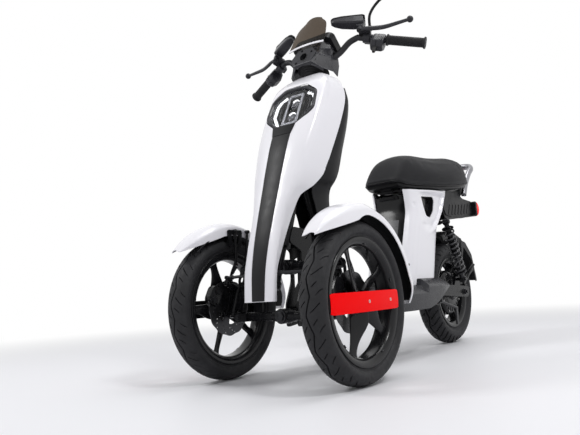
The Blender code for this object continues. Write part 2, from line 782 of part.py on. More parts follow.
def build_tail(root):
    """The tail piece behind the battery box, its lamp and the grab rail."""
    above = [(1.098, 0.6975), (1.240, 0.7095), (1.330, 0.729), (1.420, 0.765), (1.428, 0.752), (1.330, 0.690),
             (1.372, 0.683)]
    below = [(1.340, 0.586), (1.200, 0.574), (1.130, 0.578), (1.100, 0.620)]
    outline = [(y + BODY_SHIFT, z) for y, z in above]
    outline += [(TAIL_END_Y, TAIL_LAMP_Z + TAIL_LAMP_RADIUS), (TAIL_END_Y, TAIL_LAMP_Z - 0.036)]
    outline += [(y + BODY_SHIFT, z) for y, z in below]
    body = plate(outline, 0.150, side_plane(0.0))
    hollow = block((0.132, 0.300, 0.060), (0.0, 1.270 + BODY_SHIFT, 0.596))
    tongue = block((0.110, 0.060, 0.020), (0.0, 1.075 + BODY_SHIFT, 0.648))
    rear = SWING_PIVOT_Y
    cut = [hollow]
    for x in (0.060, -0.060):
        cut.append(rod((x, rear + 0.115, 0.682), (x, rear + 0.330, 0.6936), 0.0095 + BEARING_GAP * 2, 12))
    part("tail_cover", combined(body, [tongue], cut), root, DARK)
    rail_y = 1.345 + BODY_SHIFT
    left = [(0.0865, rail_y, 0.700), (0.0875, rail_y + 0.030, 0.760), (0.088, rail_y + 0.085, 0.822),
            (0.072, rail_y + 0.125, 0.850), (0.030, rail_y + 0.145, 0.862), (0.0, rail_y + 0.148, 0.864)]
    path = smooth_path(left + [(-x, y, z) for x, y, z in reversed(left[:-1])], 2)
    foot = [rod((s * 0.0757, rail_y + 0.002, 0.706), (s * 0.0900, rail_y + 0.002, 0.706), 0.012,
                12) for s in (1, -1)]
    part("grab_rail", combined(tube(path, 0.0085, 1), foot), root, ALUMINIUM)
    wide, end = TAIL_LAMP_RADIUS, TAIL_LAMP_RADIUS - 0.007
    profile = [(0.0, -0.092), (end, -0.092), (wide, -0.084), (wide, 0.084), (end, 0.092), (0.0, 0.092)]
    lamp = turned_solid(profile, (0.0, TAIL_END_Y + 0.022, TAIL_LAMP_Z), (1, 0, 0), 16)
    cut = block((0.300, 0.060, 0.200), (0.0, TAIL_END_Y + SEAT_GAP - 0.030, TAIL_LAMP_Z))
    part("tail_lamp", combined(lamp, cut=[cut]), root, RED)


def turned_solid(profile, centre, direction, steps=24, phase=0.0):
    """A solid of revolution: its profile starts and ends on the axis."""
    mesh = bpy.data.meshes.new("profile")
    points = [(radius, 0.0, height) for radius, height in profile]
    mesh.from_pydata(points, [(i, i + 1) for i in range(len(points) - 1)], [])
    thing = scratch(mesh)
    screw = thing.modifiers.new("turn", "SCREW")
    screw.steps = steps
    screw.render_steps = steps
    screw.use_merge_vertices = True
    screw.merge_threshold = 1e-5
    screw.use_normal_calculate = True
    thing.matrix_world = (
        Matrix.Translation(Vector(centre)) @ along(direction) @ Matrix.Rotation(phase, 4, "Z")
    )
    return welded(evaluated(thing))


# Seat

SEAT = (
    # distance back, half width, top
    (0.667, 0.058, 0.742),
    (0.690, 0.078, 0.786),
    (0.740, 0.090, 0.822),
    (0.820, 0.104, 0.836),
    (0.920, 0.118, 0.841),
    (1.020, 0.128, 0.846),
    (1.120, 0.134, 0.857),
    (1.220, 0.132, 0.871),
    (1.300, 0.122, 0.876),
    (1.360, 0.100, 0.868),
    (1.390, 0.066, 0.848),
)


def build_seat(root):
    """The seat's pan on its hinge, and the plain cushion on it."""
    hinge_y, hinge_z = seat_hinge()
    here = pivot("seat_hinge", (0.0, hinge_y, hinge_z), root)
    cushion = []
    pan = []
    for y, half, top in SEAT:
        base = along_table(SEAT_BASE, y)
        tall = top - base
        form = ((1.0, 0.0), (1.03, 0.30), (0.93, 0.68), (0.66, 0.93), (0.0, 1.0), (-0.66, 0.93),
                (-0.93, 0.68),
                (-1.03, 0.30), (-1.0, 0.0))
        cushion.append([Vector((half * w, y + BODY_SHIFT, base + tall * h)) for w, h in form])
        if 0.68 < y < 1.38:
            wide = half - 0.006
            pan.append([Vector((x, y + BODY_SHIFT, base - d)) for x, d in
                        ((wide, SEAT_GAP), (wide, 0.010), (wide - 0.01, 0.014), (-wide + 0.01, 0.014),
                         (-wide, 0.010), (-wide, SEAT_GAP))])
    part("seat_cushion", loft(cushion), here, DARK)
    barrel = rod((-0.030, hinge_y, hinge_z), (0.030, hinge_y, hinge_z), 0.008, 14)
    web = block((0.050, 0.010, 0.014), (0.0, hinge_y, hinge_z + 0.008))
    rear = SWING_PIVOT_Y
    rail_top = 0.664 + (0.682 - 0.664) * (0.120 + 0.095) / 0.235 + 0.0095
    feet = []
    for side in (1, -1):
        pan_under = along_table(SEAT_BASE, 1.040) - 0.014
        feet.append(rod((side * 0.060, rear + 0.095, rail_top + SEAT_GAP + 0.001),
                        (side * 0.060, rear + 0.095, pan_under + 0.004), 0.008, 10))
    bore = rod((-0.040, hinge_y, hinge_z), (0.040, hinge_y, hinge_z), 0.004 + BEARING_GAP, 12)
    part("seat_pan", combined(combined(loft(pan), [barrel, web, *feet]), cut=[bore]), here, DARK)


# Leaning front end


def tilt_arm(y, z):
    """An arm: a bush on the centre pin, a tube each way, and a fork with a bolt at each end."""
    half = ARM_DEPTH / 2
    base = rod((0, y - half, z), (0, y + half, z), ARM_BUSH_RADIUS, 18)
    fork = ARM_REACH - 0.026
    joined = [rod((-fork, y, z), (fork, y, z), ARM_TUBE_RADIUS, 12)]
    ear = 0.008
    for side in (1, -1):
        joined.append(block((0.016, ARM_DEPTH, 0.028), (side * (fork - 0.002), y, z)))
        for edge in (y - half + ear / 2, y + half - ear / 2):
            joined.append(
                rod((side * ARM_REACH, edge - ear / 2, z), (side * ARM_REACH, edge + ear / 2, z),
                    ARM_EYE_RADIUS, 14)
            )
            joined.append(block((0.028, ear, 0.026), (side * (ARM_REACH - 0.016), edge, z)))
        joined.append(rod((side * ARM_REACH, y - half - 0.001, z), (side * ARM_REACH, y + half + 0.001, z),
                          ARM_BOLT_RADIUS, 12))
        joined.append(rod((side * ARM_REACH, y - half - 0.006, z), (side * ARM_REACH, y - half + 0.001, z),
                          0.0095, 6))
        joined.append(rod((side * ARM_REACH, y + half - 0.001, z), (side * ARM_REACH, y + half + 0.006, z),
                          0.0095, 6))
    bore = rod((0, y - 0.1, z), (0, y + 0.1, z), CENTRE_PIN_RADIUS + BEARING_GAP, 16)
    return combined(base, joined, [bore])


def build_upright(root, side, word):
    """The link between the arms' ends, with the barrel that holds the kingpin."""
    here = pivot("upright_pivot_" + word, (side * ARM_REACH, LOWER_ARM_Y, LOWER_ARM_Z), root)
    eye = ARM_DEPTH / 2 - 0.008 - SEAT_GAP * 2
    base = rod((ARM_REACH, UPPER_ARM_Y - eye, UPPER_ARM_Z), (ARM_REACH, UPPER_ARM_Y + eye, UPPER_ARM_Z),
               ARM_EYE_RADIUS, 14)
    joined = [rod((ARM_REACH, LOWER_ARM_Y - eye, LOWER_ARM_Z), (ARM_REACH, LOWER_ARM_Y + eye, LOWER_ARM_Z),
                  ARM_EYE_RADIUS, 14)]
    slope = math.atan2(UPPER_ARM_Y - LOWER_ARM_Y, UPPER_ARM_Z - LOWER_ARM_Z)
    tall = math.hypot(UPPER_ARM_Y - LOWER_ARM_Y, UPPER_ARM_Z - LOWER_ARM_Z)
    middle = (ARM_REACH, (UPPER_ARM_Y + LOWER_ARM_Y) / 2, (UPPER_ARM_Z + LOWER_ARM_Z) / 2)
    joined.append(block((0.018, 0.020, tall), middle, Matrix.Rotation(-slope, 4, "X")))
    joined.append(rod(kingpin(-0.0205), kingpin(0.0605), KINGPIN_BARREL, 14))
    bridge = kingpin(0.020, 0.0, -ARM_TO_KINGPIN / 2)
    joined.append(block((ARM_TO_KINGPIN - 0.004, 0.016, 0.062), bridge, Matrix.Rotation(-RAKE, 4, "X")))
    cut = [rod(kingpin(-0.06), kingpin(0.10), KINGPIN_RADIUS + BEARING_GAP, 12)]
    for y, z in ((UPPER_ARM_Y, UPPER_ARM_Z), (LOWER_ARM_Y, LOWER_ARM_Z)):
        cut.append(rod((ARM_REACH, y - 0.05, z), (ARM_REACH, y + 0.05, z), ARM_BOLT_RADIUS + BEARING_GAP, 12))
    part("upright_" + word, mirrored(combined(base, joined, cut), side), here, STEEL_BLACK)
    return here


def knuckle_plate_x():
    """The middle of the knuckle's plate, outboard of the kingpin."""
    return KINGPIN_X + 0.0195


def build_knuckle(upright, side, word):
    """The steering knuckle with its stub axle and steering arm, and the caliper and fender on it."""
    here = pivot("kingpin_" + word, (side * KINGPIN_X, 0.0, FRONT_AXLE_Z), upright)
    rake = Matrix.Rotation(-RAKE, 4, "X")
    plate_x = knuckle_plate_x()
    across = plate_x - KINGPIN_X
    base = block((0.008, 0.036, 0.106), kingpin(0.020, 0.0, across), rake, bevel=0.002)
    joined = []
    for low, high in ((0.0610, 0.0710), (-0.0310, -0.0210)):
        joined.append(rod(kingpin(low), kingpin(high), 0.0135, 12))
        middle = kingpin((low + high) / 2, 0.0, across / 2)
        joined.append(block((across, 0.022, high - low - 0.001), middle, rake))
    joined.append(rod(kingpin(-0.030), kingpin(0.070), KINGPIN_RADIUS, 12))
    end = kingpin(0.066, STEERING_ARM)
    joined.append(rod(kingpin(0.0662, 0.0126), end, 0.0065, 10))
    joined.append(rod(end - UP_THE_RAKE * 0.007, end + UP_THE_RAKE * 0.004, 0.0095, 10))
    joined.append(rod(end, end + UP_THE_RAKE * 0.018, 0.0035, 10))
    joined.append(ball(end + UP_THE_RAKE * 0.018, 0.0070, 8))
    nut = WHEEL_X + hub_outer()
    axle = Vector((0.0, 0.0, FRONT_AXLE_Z))
    joined.append(rod((plate_x - 0.0052, 0, axle.z), (plate_x + 0.0048, 0, axle.z), 0.0165, 12))
    joined.append(rod((plate_x, 0, axle.z), (nut + 0.006, 0, axle.z), AXLE_RADIUS, 12))
    joined.append(rod((nut + SEAT_GAP, 0, axle.z), (nut + 0.0085, 0, axle.z), 0.0150, 6))
    joined.append(block((0.0072, 0.060, 0.017), kingpin(0.0635, 0.0, across), rake))
    out = Vector((0.0, math.cos(CALIPER_ANGLE), math.sin(CALIPER_ANGLE)))
    lug = Vector((plate_x, 0.0, FRONT_AXLE_Z)) + out * 0.0368
    joined.append(block((0.0070, 0.0537, 0.030), lug, Matrix.Rotation(CALIPER_ANGLE, 4, "X")))
    part("knuckle_" + word, mirrored(combined(base, joined), side), here, STEEL_BLACK)

    build_caliper(here, side, word)
    build_fender(here, side, word)
    build_front_wheel(here, side, word)
    return here


def hub_inner():
    """The hub's inner face, from the wheel's middle."""
    return -0.0120


def hub_outer():
    """The hub's outer face, from the wheel's middle."""
    return 0.0230


def disc_x():
    """The middle of the brake disc."""
    return WHEEL_X + hub_inner() - SEAT_GAP - DISC_THICKNESS / 2


CALIPER_ANGLE = math.radians(150)


def build_caliper(here, side, word):
    """The caliper that straddles the disc, ahead of the axle."""
    middle = disc_x()
    centre = Vector((middle, 0.0, FRONT_AXLE_Z))
    out = Vector((0.0, math.cos(CALIPER_ANGLE), math.sin(CALIPER_ANGLE)))
    turn = Matrix.Rotation(CALIPER_ANGLE, 4, "X")
    inner_half = 0.017
    outer_half = 0.0078
    size = (inner_half + outer_half, 0.046, 0.062)
    place = centre + out * 0.087 + Vector(((outer_half - inner_half) / 2, 0, 0))
    body = block(size, place, turn, bevel=0.003)
    slot = block((DISC_THICKNESS + 0.0030, 0.060, 0.090), centre + out * 0.077, turn)
    pistons = []
    for shift in (0.016, -0.016):
        across = Vector((0.0, -math.sin(CALIPER_ANGLE), math.cos(CALIPER_ANGLE))) * shift
        foot = centre + out * 0.086 + across
        pistons.append(rod(foot - Vector((0.0165, 0, 0)), foot - Vector((0.0200, 0, 0)), 0.011, 14))
    part("caliper_" + word, mirrored(combined(body, pistons, [slot]), side), here, ALUMINIUM)


FENDER_SECTION = (
    # across from the wheel's middle, share of the crown's height above the skirts' edge
    (-1.00, 0.0),
    (-0.97, 0.52),
    (-0.62, 0.88),
    (0.0, 1.0),
    (0.62, 0.88),
    (0.98, 0.48),
    (1.03, 0.0),
)


def build_fender(here, side, word):
    """The fender over a front wheel, and the two stays that carry it."""
    crown = FRONT_TYRE_RADIUS + FENDER_CLEARANCE
    first = math.radians(-4)
    last = math.radians(139)
    steps = 10
    rows = []
    for i in range(steps + 1):
        share = i / steps
        angle = first + (last - first) * share
        end = min(share, 1 - share)
        narrow = 1.0 - 0.45 * max(0.0, 1 - end / 0.10) ** 2
        drop = 0.046 - 0.016 * max(0.0, 1 - end / 0.14)
        row = []
        for w, h in FENDER_SECTION:
            radius = crown - drop * (1 - h)
            row.append(
                Vector((WHEEL_X + FENDER_HALF_WIDTH * w * narrow, radius * math.cos(angle),
                        FRONT_AXLE_Z + radius * math.sin(angle)))
            )
        rows.append(row)
    shell = skin(rows, PANEL, inwards=False)
    joined = []
    plate_x = knuckle_plate_x()
    for ahead in (0.0225, -0.0225):
        foot = kingpin(0.062, ahead, plate_x - KINGPIN_X)
        inboard = foot + Vector((-0.0043 - SEAT_GAP - 0.0035, 0, 0))
        wall_x = WHEEL_X - FENDER_HALF_WIDTH - 0.0052
        top = Vector((wall_x, foot.y * 1.5, FRONT_AXLE_Z + crown - 0.034))
        knee = Vector((wall_x, foot.y * 1.2, FRONT_AXLE_Z + 0.165))
        joined.append(tube([inboard, inboard + Vector((0, 0, 0.040)), knee, top], 0.0035, 1))
        joined.append(rod(top - Vector((0.0045, 0, 0)), top + Vector((0.0140, 0, 0)), 0.0062, 10))
        joined.append(rod(inboard - Vector((0.0035, 0, 0)), inboard + Vector((0.0035, 0, 0)), 0.0075, 12))
    part("fender_" + word, mirrored(combined(shell, joined), side), here, WHITE)


def tyre_profile(outer, half, bead, foot_half, wall):
    """The section of a tyre: a carcass open at its beads."""
    tall = outer - bead
    outside = [
        (bead, -foot_half),
        (bead + FLANGE_HEIGHT + 0.001, -foot_half),
        (bead + 0.50 * tall, -half),
        (bead + 0.84 * tall, -0.74 * half),
        (outer, -0.30 * half),
    ]
    inside = [
        (bead, -foot_half + wall),
        (bead + 0.42 * tall, -half + wall),
        (outer - wall, -0.35 * half),
    ]
    around = outside + [(r, -x) for r, x in reversed(outside)]
    return around + [(r, -x) for r, x in inside] + list(reversed(inside))


def rim_profile(bead, foot_half):
    """The section of a rim: two flanges, two bead seats and a well between them."""
    seat = bead - 0.0006
    edge = foot_half + 0.0006
    lip = edge + RIM_WALL
    half = [
        (bead + FLANGE_HEIGHT, edge),
        (bead + FLANGE_HEIGHT, lip),
        (seat - 0.0165, edge * 0.75),
    ]
    well = [(seat - 0.010, edge * 0.45), (seat, edge)]
    right = half + [(r, -x) for r, x in reversed(half)]
    return right + [(r, -x) for r, x in reversed(well)] + well


def build_front_wheel(here, side, word):
    """Rim with spokes and hub, tyre, brake disc and the bar across the wheel."""
    axle = pivot("axle_" + word, (side * WHEEL_X, 0.0, FRONT_AXLE_Z), here)
    centre = Vector((WHEEL_X, 0.0, FRONT_AXLE_Z))
    step = math.pi / WHEEL_STEPS
    foot = FRONT_TYRE_WIDTH * 0.35
    profile = tyre_profile(FRONT_TYRE_RADIUS, FRONT_TYRE_WIDTH / 2, FRONT_BEAD_RADIUS, foot, TYRE_WALL)
    tyre = turned(profile, centre, (1, 0, 0), WHEEL_STEPS, step)
    part("front_tyre_" + word, mirrored(tyre, side), axle, RUBBER)

    rim = turned(rim_profile(FRONT_BEAD_RADIUS, foot), centre, (1, 0, 0), WHEEL_STEPS, step)
    inner = hub_inner()
    outer = hub_outer()
    hub_profile = [(AXLE_RADIUS + BEARING_GAP, inner), (HUB_RADIUS, inner), (HUB_RADIUS * 1.05, 0.0),
                   (HUB_RADIUS * 0.8, outer), (AXLE_RADIUS + BEARING_GAP, outer)]
    hub = turned(hub_profile, centre, (1, 0, 0), 14)
    spokes = []
    for i in range(SPOKE_COUNT):
        angle = math.radians(36) + math.tau * i / SPOKE_COUNT
        spokes.append(spoke(centre + Vector((0.008, 0, 0)), angle))
    wheel = combined(rim, [hub, *spokes])
    part("front_wheel_" + word, mirrored(wheel, side), axle, STEEL_BLACK)

    disc_centre = Vector((disc_x(), 0.0, FRONT_AXLE_Z))
    holes = [circle((0.0, 0.0), 0.0170, 14)]
    for radius, hole_radius, count in ((0.076, 0.0060, 6), (0.044, 0.0110, 5)):
        for i in range(count):
            angle = math.tau * i / count
            holes.append(circle((radius * math.cos(angle), radius * math.sin(angle)), hole_radius, 5))
    disc = plate(circle((0.0, 0.0), DISC_RADIUS, 28), DISC_THICKNESS, side_plane(0.0), holes)
    disc.transform(Matrix.Translation(disc_centre))
    part("brake_disc_" + word, mirrored(disc, side), axle, ALUMINIUM)

    lip = foot + 0.0006 + RIM_WALL
    rows = []
    for i in range(9):
        along_bar = -1 + 2 * i / 8
        bow = lip + SEAT_GAP + 0.0075 * (1 - along_bar * along_bar)
        y = (FRONT_BEAD_RADIUS + 0.0078) * along_bar
        rows.append([Vector((WHEEL_X + bow + bend, y, FRONT_AXLE_Z + h)) for h, bend in
                     ((-0.029, 0.0), (-0.015, 0.0012), (0.0, 0.0016), (0.015, 0.0012), (0.029, 0.0))])
    part("wheel_bar_" + word, mirrored(skin(rows, PANEL), side), axle, RED)
    return axle


SPOKE_PITCH = math.radians(24)


def spoke(centre, angle):
    """A blade from the hub to the rim, pitched across the wheel and narrower at the rim."""
    out = Vector((0.0, math.cos(angle), math.sin(angle)))
    around = Vector((0.0, -math.sin(angle), math.cos(angle)))
    chord = around * math.cos(SPOKE_PITCH) + Vector((math.sin(SPOKE_PITCH), 0, 0))
    normal = out.cross(chord)
    rings = []
    for radius, wide, thick in ((0.022, 0.050, 0.013), (0.060, 0.044, 0.010),
                                (FRONT_BEAD_RADIUS - 0.0135, 0.028, 0.009)):
        mid = centre + out * radius
        rings.append([
            mid + chord * wide / 2,
            mid + chord * wide / 4 + normal * thick / 2,
            mid - chord * wide / 4 + normal * thick / 2,
            mid - chord * wide / 2,
            mid - chord * wide / 4 - normal * thick / 2,
            mid + chord * wide / 4 - normal * thick / 2,
        ])
    return loft(rings)


LINK_RISE = 0.018


def steer_level():
    """How far down the column the steering arm lies, so that the tie rods are level."""
    return column_at(kingpin(0.066).z)


def build_front_end(root):
    """Arms, uprights, knuckles, wheels and tie rods."""
    upper = pivot("upper_arm_pivot", (0.0, UPPER_ARM_Y, UPPER_ARM_Z), root)
    part("upper_tilt_arm", tilt_arm(UPPER_ARM_Y, UPPER_ARM_Z), upper, STEEL_BLACK)
    lower = pivot("lower_arm_pivot", (0.0, LOWER_ARM_Y, LOWER_ARM_Z), root)
    part("lower_tilt_arm", tilt_arm(LOWER_ARM_Y, LOWER_ARM_Z), lower, STEEL_BLACK)
    for side, word in ((1, "left"), (-1, "right")):
        upright = build_upright(lower, side, word)
        build_knuckle(upright, side, word)


def build_steering_links(steering):
    """The block that stays square to the machine, and the tie rods on its two bolts."""
    arm_end = column(steer_level(), STEERING_ARM)
    link = pivot("link_block_pivot", arm_end, steering)
    inner_x = KINGPIN_X - ARM_REACH
    level = arm_end + UP_THE_RAKE * LINK_RISE
    body = block((inner_x * 2 + 0.018, 0.016, 0.018), level + Vector((0, 0.0068, 0.0005)), bevel=0.002)
    neck = rod(arm_end + UP_THE_RAKE * 0.0068, level, 0.0085, 16)
    joined = [neck]
    for side in (1, -1):
        stud = level + Vector((side * inner_x, 0, 0))
        joined.append(rod(stud, stud + Vector((0, -0.0155, 0)), 0.0040, 12))
        joined.append(rod(stud + Vector((0, -0.0150, 0)), stud + Vector((0, -0.0170, 0)), 0.0070, 6))
    bore = rod(arm_end - UP_THE_RAKE * 0.02, level + UP_THE_RAKE * 0.0040, 0.0040 + BEARING_GAP, 12)
    part("link_block", combined(body, joined, [bore]), link, STEEL_BLACK)
    for side, word in ((1, "left"), (-1, "right")):
        stud = level + Vector((side * inner_x, 0, 0))
        here = pivot("tie_rod_pivot_" + word, stud, link)
        start = level + Vector((inner_x, -0.0105, 0))
        ball_at = kingpin(0.066, STEERING_ARM) + UP_THE_RAKE * LINK_RISE
        reach = ball_at - start
        eye = rod(start - Vector((0, 0.0038, 0)), start + Vector((0, 0.0038, 0)), 0.0095, 16)
        cup = rod(ball_at - UP_THE_RAKE * 0.0042, ball_at + UP_THE_RAKE * 0.0042, 0.0125, 18)
        stem = rod(start + reach * 0.035, ball_at - reach * 0.045, TIE_ROD_RADIUS, 12)
        cut = [
            rod(start - Vector((0, 0.02, 0)), start + Vector((0, 0.02, 0)), 0.0040 + BEARING_GAP, 12),
            rod(ball_at - UP_THE_RAKE * 0.02, ball_at + UP_THE_RAKE * 0.02, 0.0070 + LEVER_GAP, 16),
        ]
        part("tie_rod_" + word, mirrored(combined(stem, [eye, cup], cut), side), here, STEEL_BLACK)


# Handlebar and controls

BAR_BEND = Vector((0.165, 0.297, 1.166))
BAR_END = Vector((0.385, 0.372, 1.100))
BAR_RADIUS = 0.011
GRIP_RADIUS = 0.0165
BAR_OUT = (BAR_END - BAR_BEND).normalized()
LEVER_AHEAD = Vector((0.0, -0.84, 0.545))
LEVER_AHEAD = (LEVER_AHEAD - BAR_OUT * LEVER_AHEAD.dot(BAR_OUT)).normalized()
LEVER_AXIS = LEVER_AHEAD.cross(BAR_OUT)
GRIP_START = 0.108
LEVER_REST = -0.0003
RESERVOIR_TILT = math.radians(14)
TOGGLE_PIN = 0.0015


def on_bar(distance, ahead=0.0, up=0.0):
    """A point by its distance out along the bar's straight end, ahead of it and above it."""
    return BAR_BEND + BAR_OUT * distance + LEVER_AHEAD * ahead + LEVER_AXIS * up


def bar_turn():
    """The rotation whose x runs out along the bar, and z up the lever's axis."""
    return Matrix((
        (BAR_OUT.x, -LEVER_AHEAD.x, LEVER_AXIS.x, 0),
        (BAR_OUT.y, -LEVER_AHEAD.y, LEVER_AXIS.y, 0),
        (BAR_OUT.z, -LEVER_AHEAD.z, LEVER_AXIS.z, 0),
        (0, 0, 0, 1),
    ))


def lever_pivot():
    """Where a brake lever turns, ahead of the bar."""
    return on_bar(0.012, 0.037, 0.008)


def build_steering(root):
    """Everything that turns with the handlebar."""
    here = pivot("steering_axis", COLUMN_TOP, root)
    foot = steer_level()
    arm_end = column(foot, STEERING_ARM)
    shaft = rod(column(foot + 0.012), column(-0.012), COLUMN_RADIUS, 16)
    joined = []
    for height in (0.425, 0.985):
        low = column_at(height)
        joined.append(rod(column(low), column(low - 0.015), COLUMN_RADIUS + 0.004 - BEARING_GAP, 18))
    joined.append(rod(column(foot + 0.007), column(foot - 0.012), COLUMN_RADIUS + 0.004, 16))
    joined.append(block((0.020, STEERING_ARM, 0.0125), column(foot, STEERING_ARM / 2),
                        Matrix.Rotation(-RAKE, 4, "X")))
    joined.append(rod(arm_end - UP_THE_RAKE * 0.00625, arm_end + UP_THE_RAKE * 0.00625, 0.010, 16))
    joined.append(rod(arm_end, arm_end + UP_THE_RAKE * 0.0200, 0.0040, 12))
    clamp = block((0.060, 0.046, 0.052), COLUMN_TOP, Matrix.Rotation(-RAKE, 4, "X"), bevel=0.004)
    bore = rod(COLUMN_TOP - Vector((0.1, 0, 0)), COLUMN_TOP + Vector((0.1, 0, 0)),
               BAR_RADIUS + SEAT_GAP * 1.5, 14)
    part("steering_stem", combined(shaft, [*joined, clamp], [bore]), here, STEEL_BLACK)

    half = [(0.0, 0.2575, 1.10), (0.034, 0.2575, 1.10), (0.066, 0.264, 1.103), (0.100, 0.279, 1.125),
            (0.134, 0.291, 1.156), tuple(BAR_BEND)]
    bend = smooth_path(half, 2)[2:]
    straight = [BAR_BEND + BAR_OUT * d for d in (0.02, (BAR_END - BAR_BEND).length)]
    path = [Vector((0.020, 0.2575, 1.10)), *bend, *straight]
    path = [Vector((-p.x, p.y, p.z)) for p in reversed(path)] + path
    part("handlebar", tube(path, BAR_RADIUS, 2), here, STEEL_BLACK)

    build_cowl(here)
    for side, word in ((1, "left"), (-1, "right")):
        build_controls(here, side, word)
    build_mirror(here)
    build_steering_links(here)


def build_cowl(here):
    """The cover over the stem, with the display and the screen on it."""
    sections = (
        # distance down the column, ahead, half width at the front and at the back, depth
        (0.053, 0.052, 0.064, 0.088, 0.088),
        (0.012, 0.067, 0.060, 0.086, 0.100),
        (-0.030, 0.066, 0.056, 0.080, 0.094),
        (-0.060, 0.052, 0.050, 0.074, 0.074),
    )
    rows = []
    for down, ahead, narrow, wide, deep in sections:
        left = [(wide, ahead - deep), (wide * 0.98, ahead - deep * 0.45), (narrow, ahead - 0.006),
                (narrow * 0.5, ahead), (0.0, ahead + 0.002)]
        row = left + [(-x, a) for x, a in reversed(left[:-1])]
        rows.append([column(down, a, x) for x, a in row])
    shell = skin(rows, PANEL)
    openings = []
    for side in (1, -1):
        openings.append(rod((side * 0.050, 0.260, 1.094), (side * 0.118, 0.284, 1.142), 0.0150, 14))
    tilt = Matrix.Rotation(math.radians(-42), 4, "X")
    display_at = column(-0.072, 0.004)
    wider = SEAT_GAP * 2
    openings.append(block((0.156 + wider, 0.080 + wider, 0.026 + wider), display_at, tilt, bevel=0.005))
    part("stem_cowl", combined(shell, cut=openings), here, DARK)
    case = block((0.156, 0.080, 0.026), display_at, tilt, bevel=0.006)
    part("display", case, here, DARK)

    rows = []
    for i in range(6):
        rise = i / 5
        wide = 0.062 * (1 - 0.45 * rise**2.2)
        row = []
        for j in range(7):
            across = -1 + 2 * j / 6
            ahead = 0.0736 - 0.018 * rise - 0.008 * across * across
            row.append(column(-0.032 - 0.146 * rise, ahead, wide * across))
        rows.append(row)
    part("screen", skin(rows, PANEL), here, CLEAR)


def build_controls(here, side, word):
    """A perch with its reservoir, a lever, a grip and, on the left, the switches."""
    turn = bar_turn()
    clamp = rod(on_bar(0.022), on_bar(0.048), 0.0170, 16)
    level = turn @ Matrix.Rotation(-RESERVOIR_TILT, 4, "Y")
    middle = on_bar(-0.040, 0.036, 0.030)
    joined = [
        block((0.044, 0.030, 0.012), on_bar(0.025, 0.020, 0.013), turn),
        block((0.024, 0.026, 0.036), on_bar(0.008, 0.034, 0.026), turn),
        block((0.112, 0.032, 0.026), middle, level, bevel=0.005),
        block((0.120, 0.036, 0.005), middle + level @ Vector((0, 0, 0.0152)), level, bevel=0.0015),
    ]
    pin = lever_pivot()
    joined.append(rod(pin + LEVER_AXIS * 0.004, pin - LEVER_AXIS * 0.018, 0.0048, 12))
    joined.append(rod(pin - LEVER_AXIS * 0.0155, pin - LEVER_AXIS * 0.018, 0.0075, 6))
    bore = rod(on_bar(-0.05), on_bar(0.14), BAR_RADIUS + SEAT_GAP * 1.5, 16)
    switch = block((0.038, 0.046, 0.062), on_bar(0.081, 0.002, -0.016), turn, bevel=0.006)
    if side < 0:
        joined.append(switch)
        joined.append(rod(on_bar(0.040), on_bar(0.070), 0.0150, 16))
    part("brake_perch_" + word, mirrored(combined(combined(clamp, joined), cut=[bore]), side), here, GREY)

    lever_here = pivot("lever_pivot_" + word, (side * pin.x, pin.y, pin.z), here)
    low = LEVER_REST
    tip = on_bar(0.1860, 0.078, low)
    points = [on_bar(0.012, 0.037, low), on_bar(0.034, 0.044, low), on_bar(0.062, 0.046, low),
              on_bar(0.100, 0.050, low), on_bar(0.145, 0.064, low), tip]
    blade = tube(smooth_path(points, 1), 0.0052, 2)
    middle = on_bar(0.012, 0.037, low)
    boss = rod(middle + LEVER_AXIS * 0.0062, middle - LEVER_AXIS * 0.0062, 0.0100, 14)
    hole = rod(pin + LEVER_AXIS * 0.05, pin - LEVER_AXIS * 0.05, 0.0048 + BEARING_GAP, 12)
    lever = combined(blade, [boss, ball(tip, 0.0088, 6)], [hole])
    part("brake_lever_" + word, mirrored(lever, side), lever_here, GREY)

    length = (BAR_END - BAR_BEND).length
    outer_end = length + 0.0015
    wall = BAR_RADIUS + SEAT_GAP * 1.5
    profile = [(wall, GRIP_START), (GRIP_RADIUS + 0.004, GRIP_START),
               (GRIP_RADIUS + 0.004, GRIP_START + 0.004),
               (GRIP_RADIUS, GRIP_START + 0.008), (GRIP_RADIUS, outer_end - 0.008),
               (GRIP_RADIUS + 0.004, outer_end - 0.004), (GRIP_RADIUS + 0.004, outer_end), (wall, outer_end)]
    grip = turned(profile, BAR_BEND, BAR_OUT, 14)
    middle = on_bar((GRIP_START + outer_end) / 2)
    name = "grip_left" if side > 0 else "throttle_grip"
    grip_here = pivot("grip_axis_" + word, (side * middle.x, middle.y, middle.z), here)
    part(name, mirrored(grip, side), grip_here, RUBBER)

    if side > 0:
        slot = block((0.018, 0.011, 0.034), on_bar(0.078, 0.008, -0.048), turn)
        rocker = toggle_pivot()
        pin = rod(rocker - LEVER_AHEAD * 0.008, rocker + LEVER_AHEAD * 0.008, TOGGLE_PIN, 8)
        housing = combined(combined(switch, cut=[bore, slot]), [pin])
        part("switch_housing_left", housing, here, DARK)
        build_toggle(here)


def toggle_pivot():
    """Where the indicator switch rocks, inside its housing."""
    return on_bar(0.078, 0.008, -0.036)


def build_toggle(here):
    """The indicator switch: a small lever that rocks in a slot of the left housing."""
    pin = toggle_pivot()
    rock = pivot("toggle_pivot", pin, here)
    stem = block((0.008, 0.006, 0.026), pin - LEVER_AXIS * 0.010, bar_turn())
    paddle = block((0.012, 0.009, 0.014), pin - LEVER_AXIS * 0.026, bar_turn(), bevel=0.0015)
    bore = rod(pin - LEVER_AHEAD * 0.02, pin + LEVER_AHEAD * 0.02, TOGGLE_PIN + BEARING_GAP, 10)
    part("indicator_switch", combined(stem, [paddle], [bore]), rock, BLACK_GLOSS)


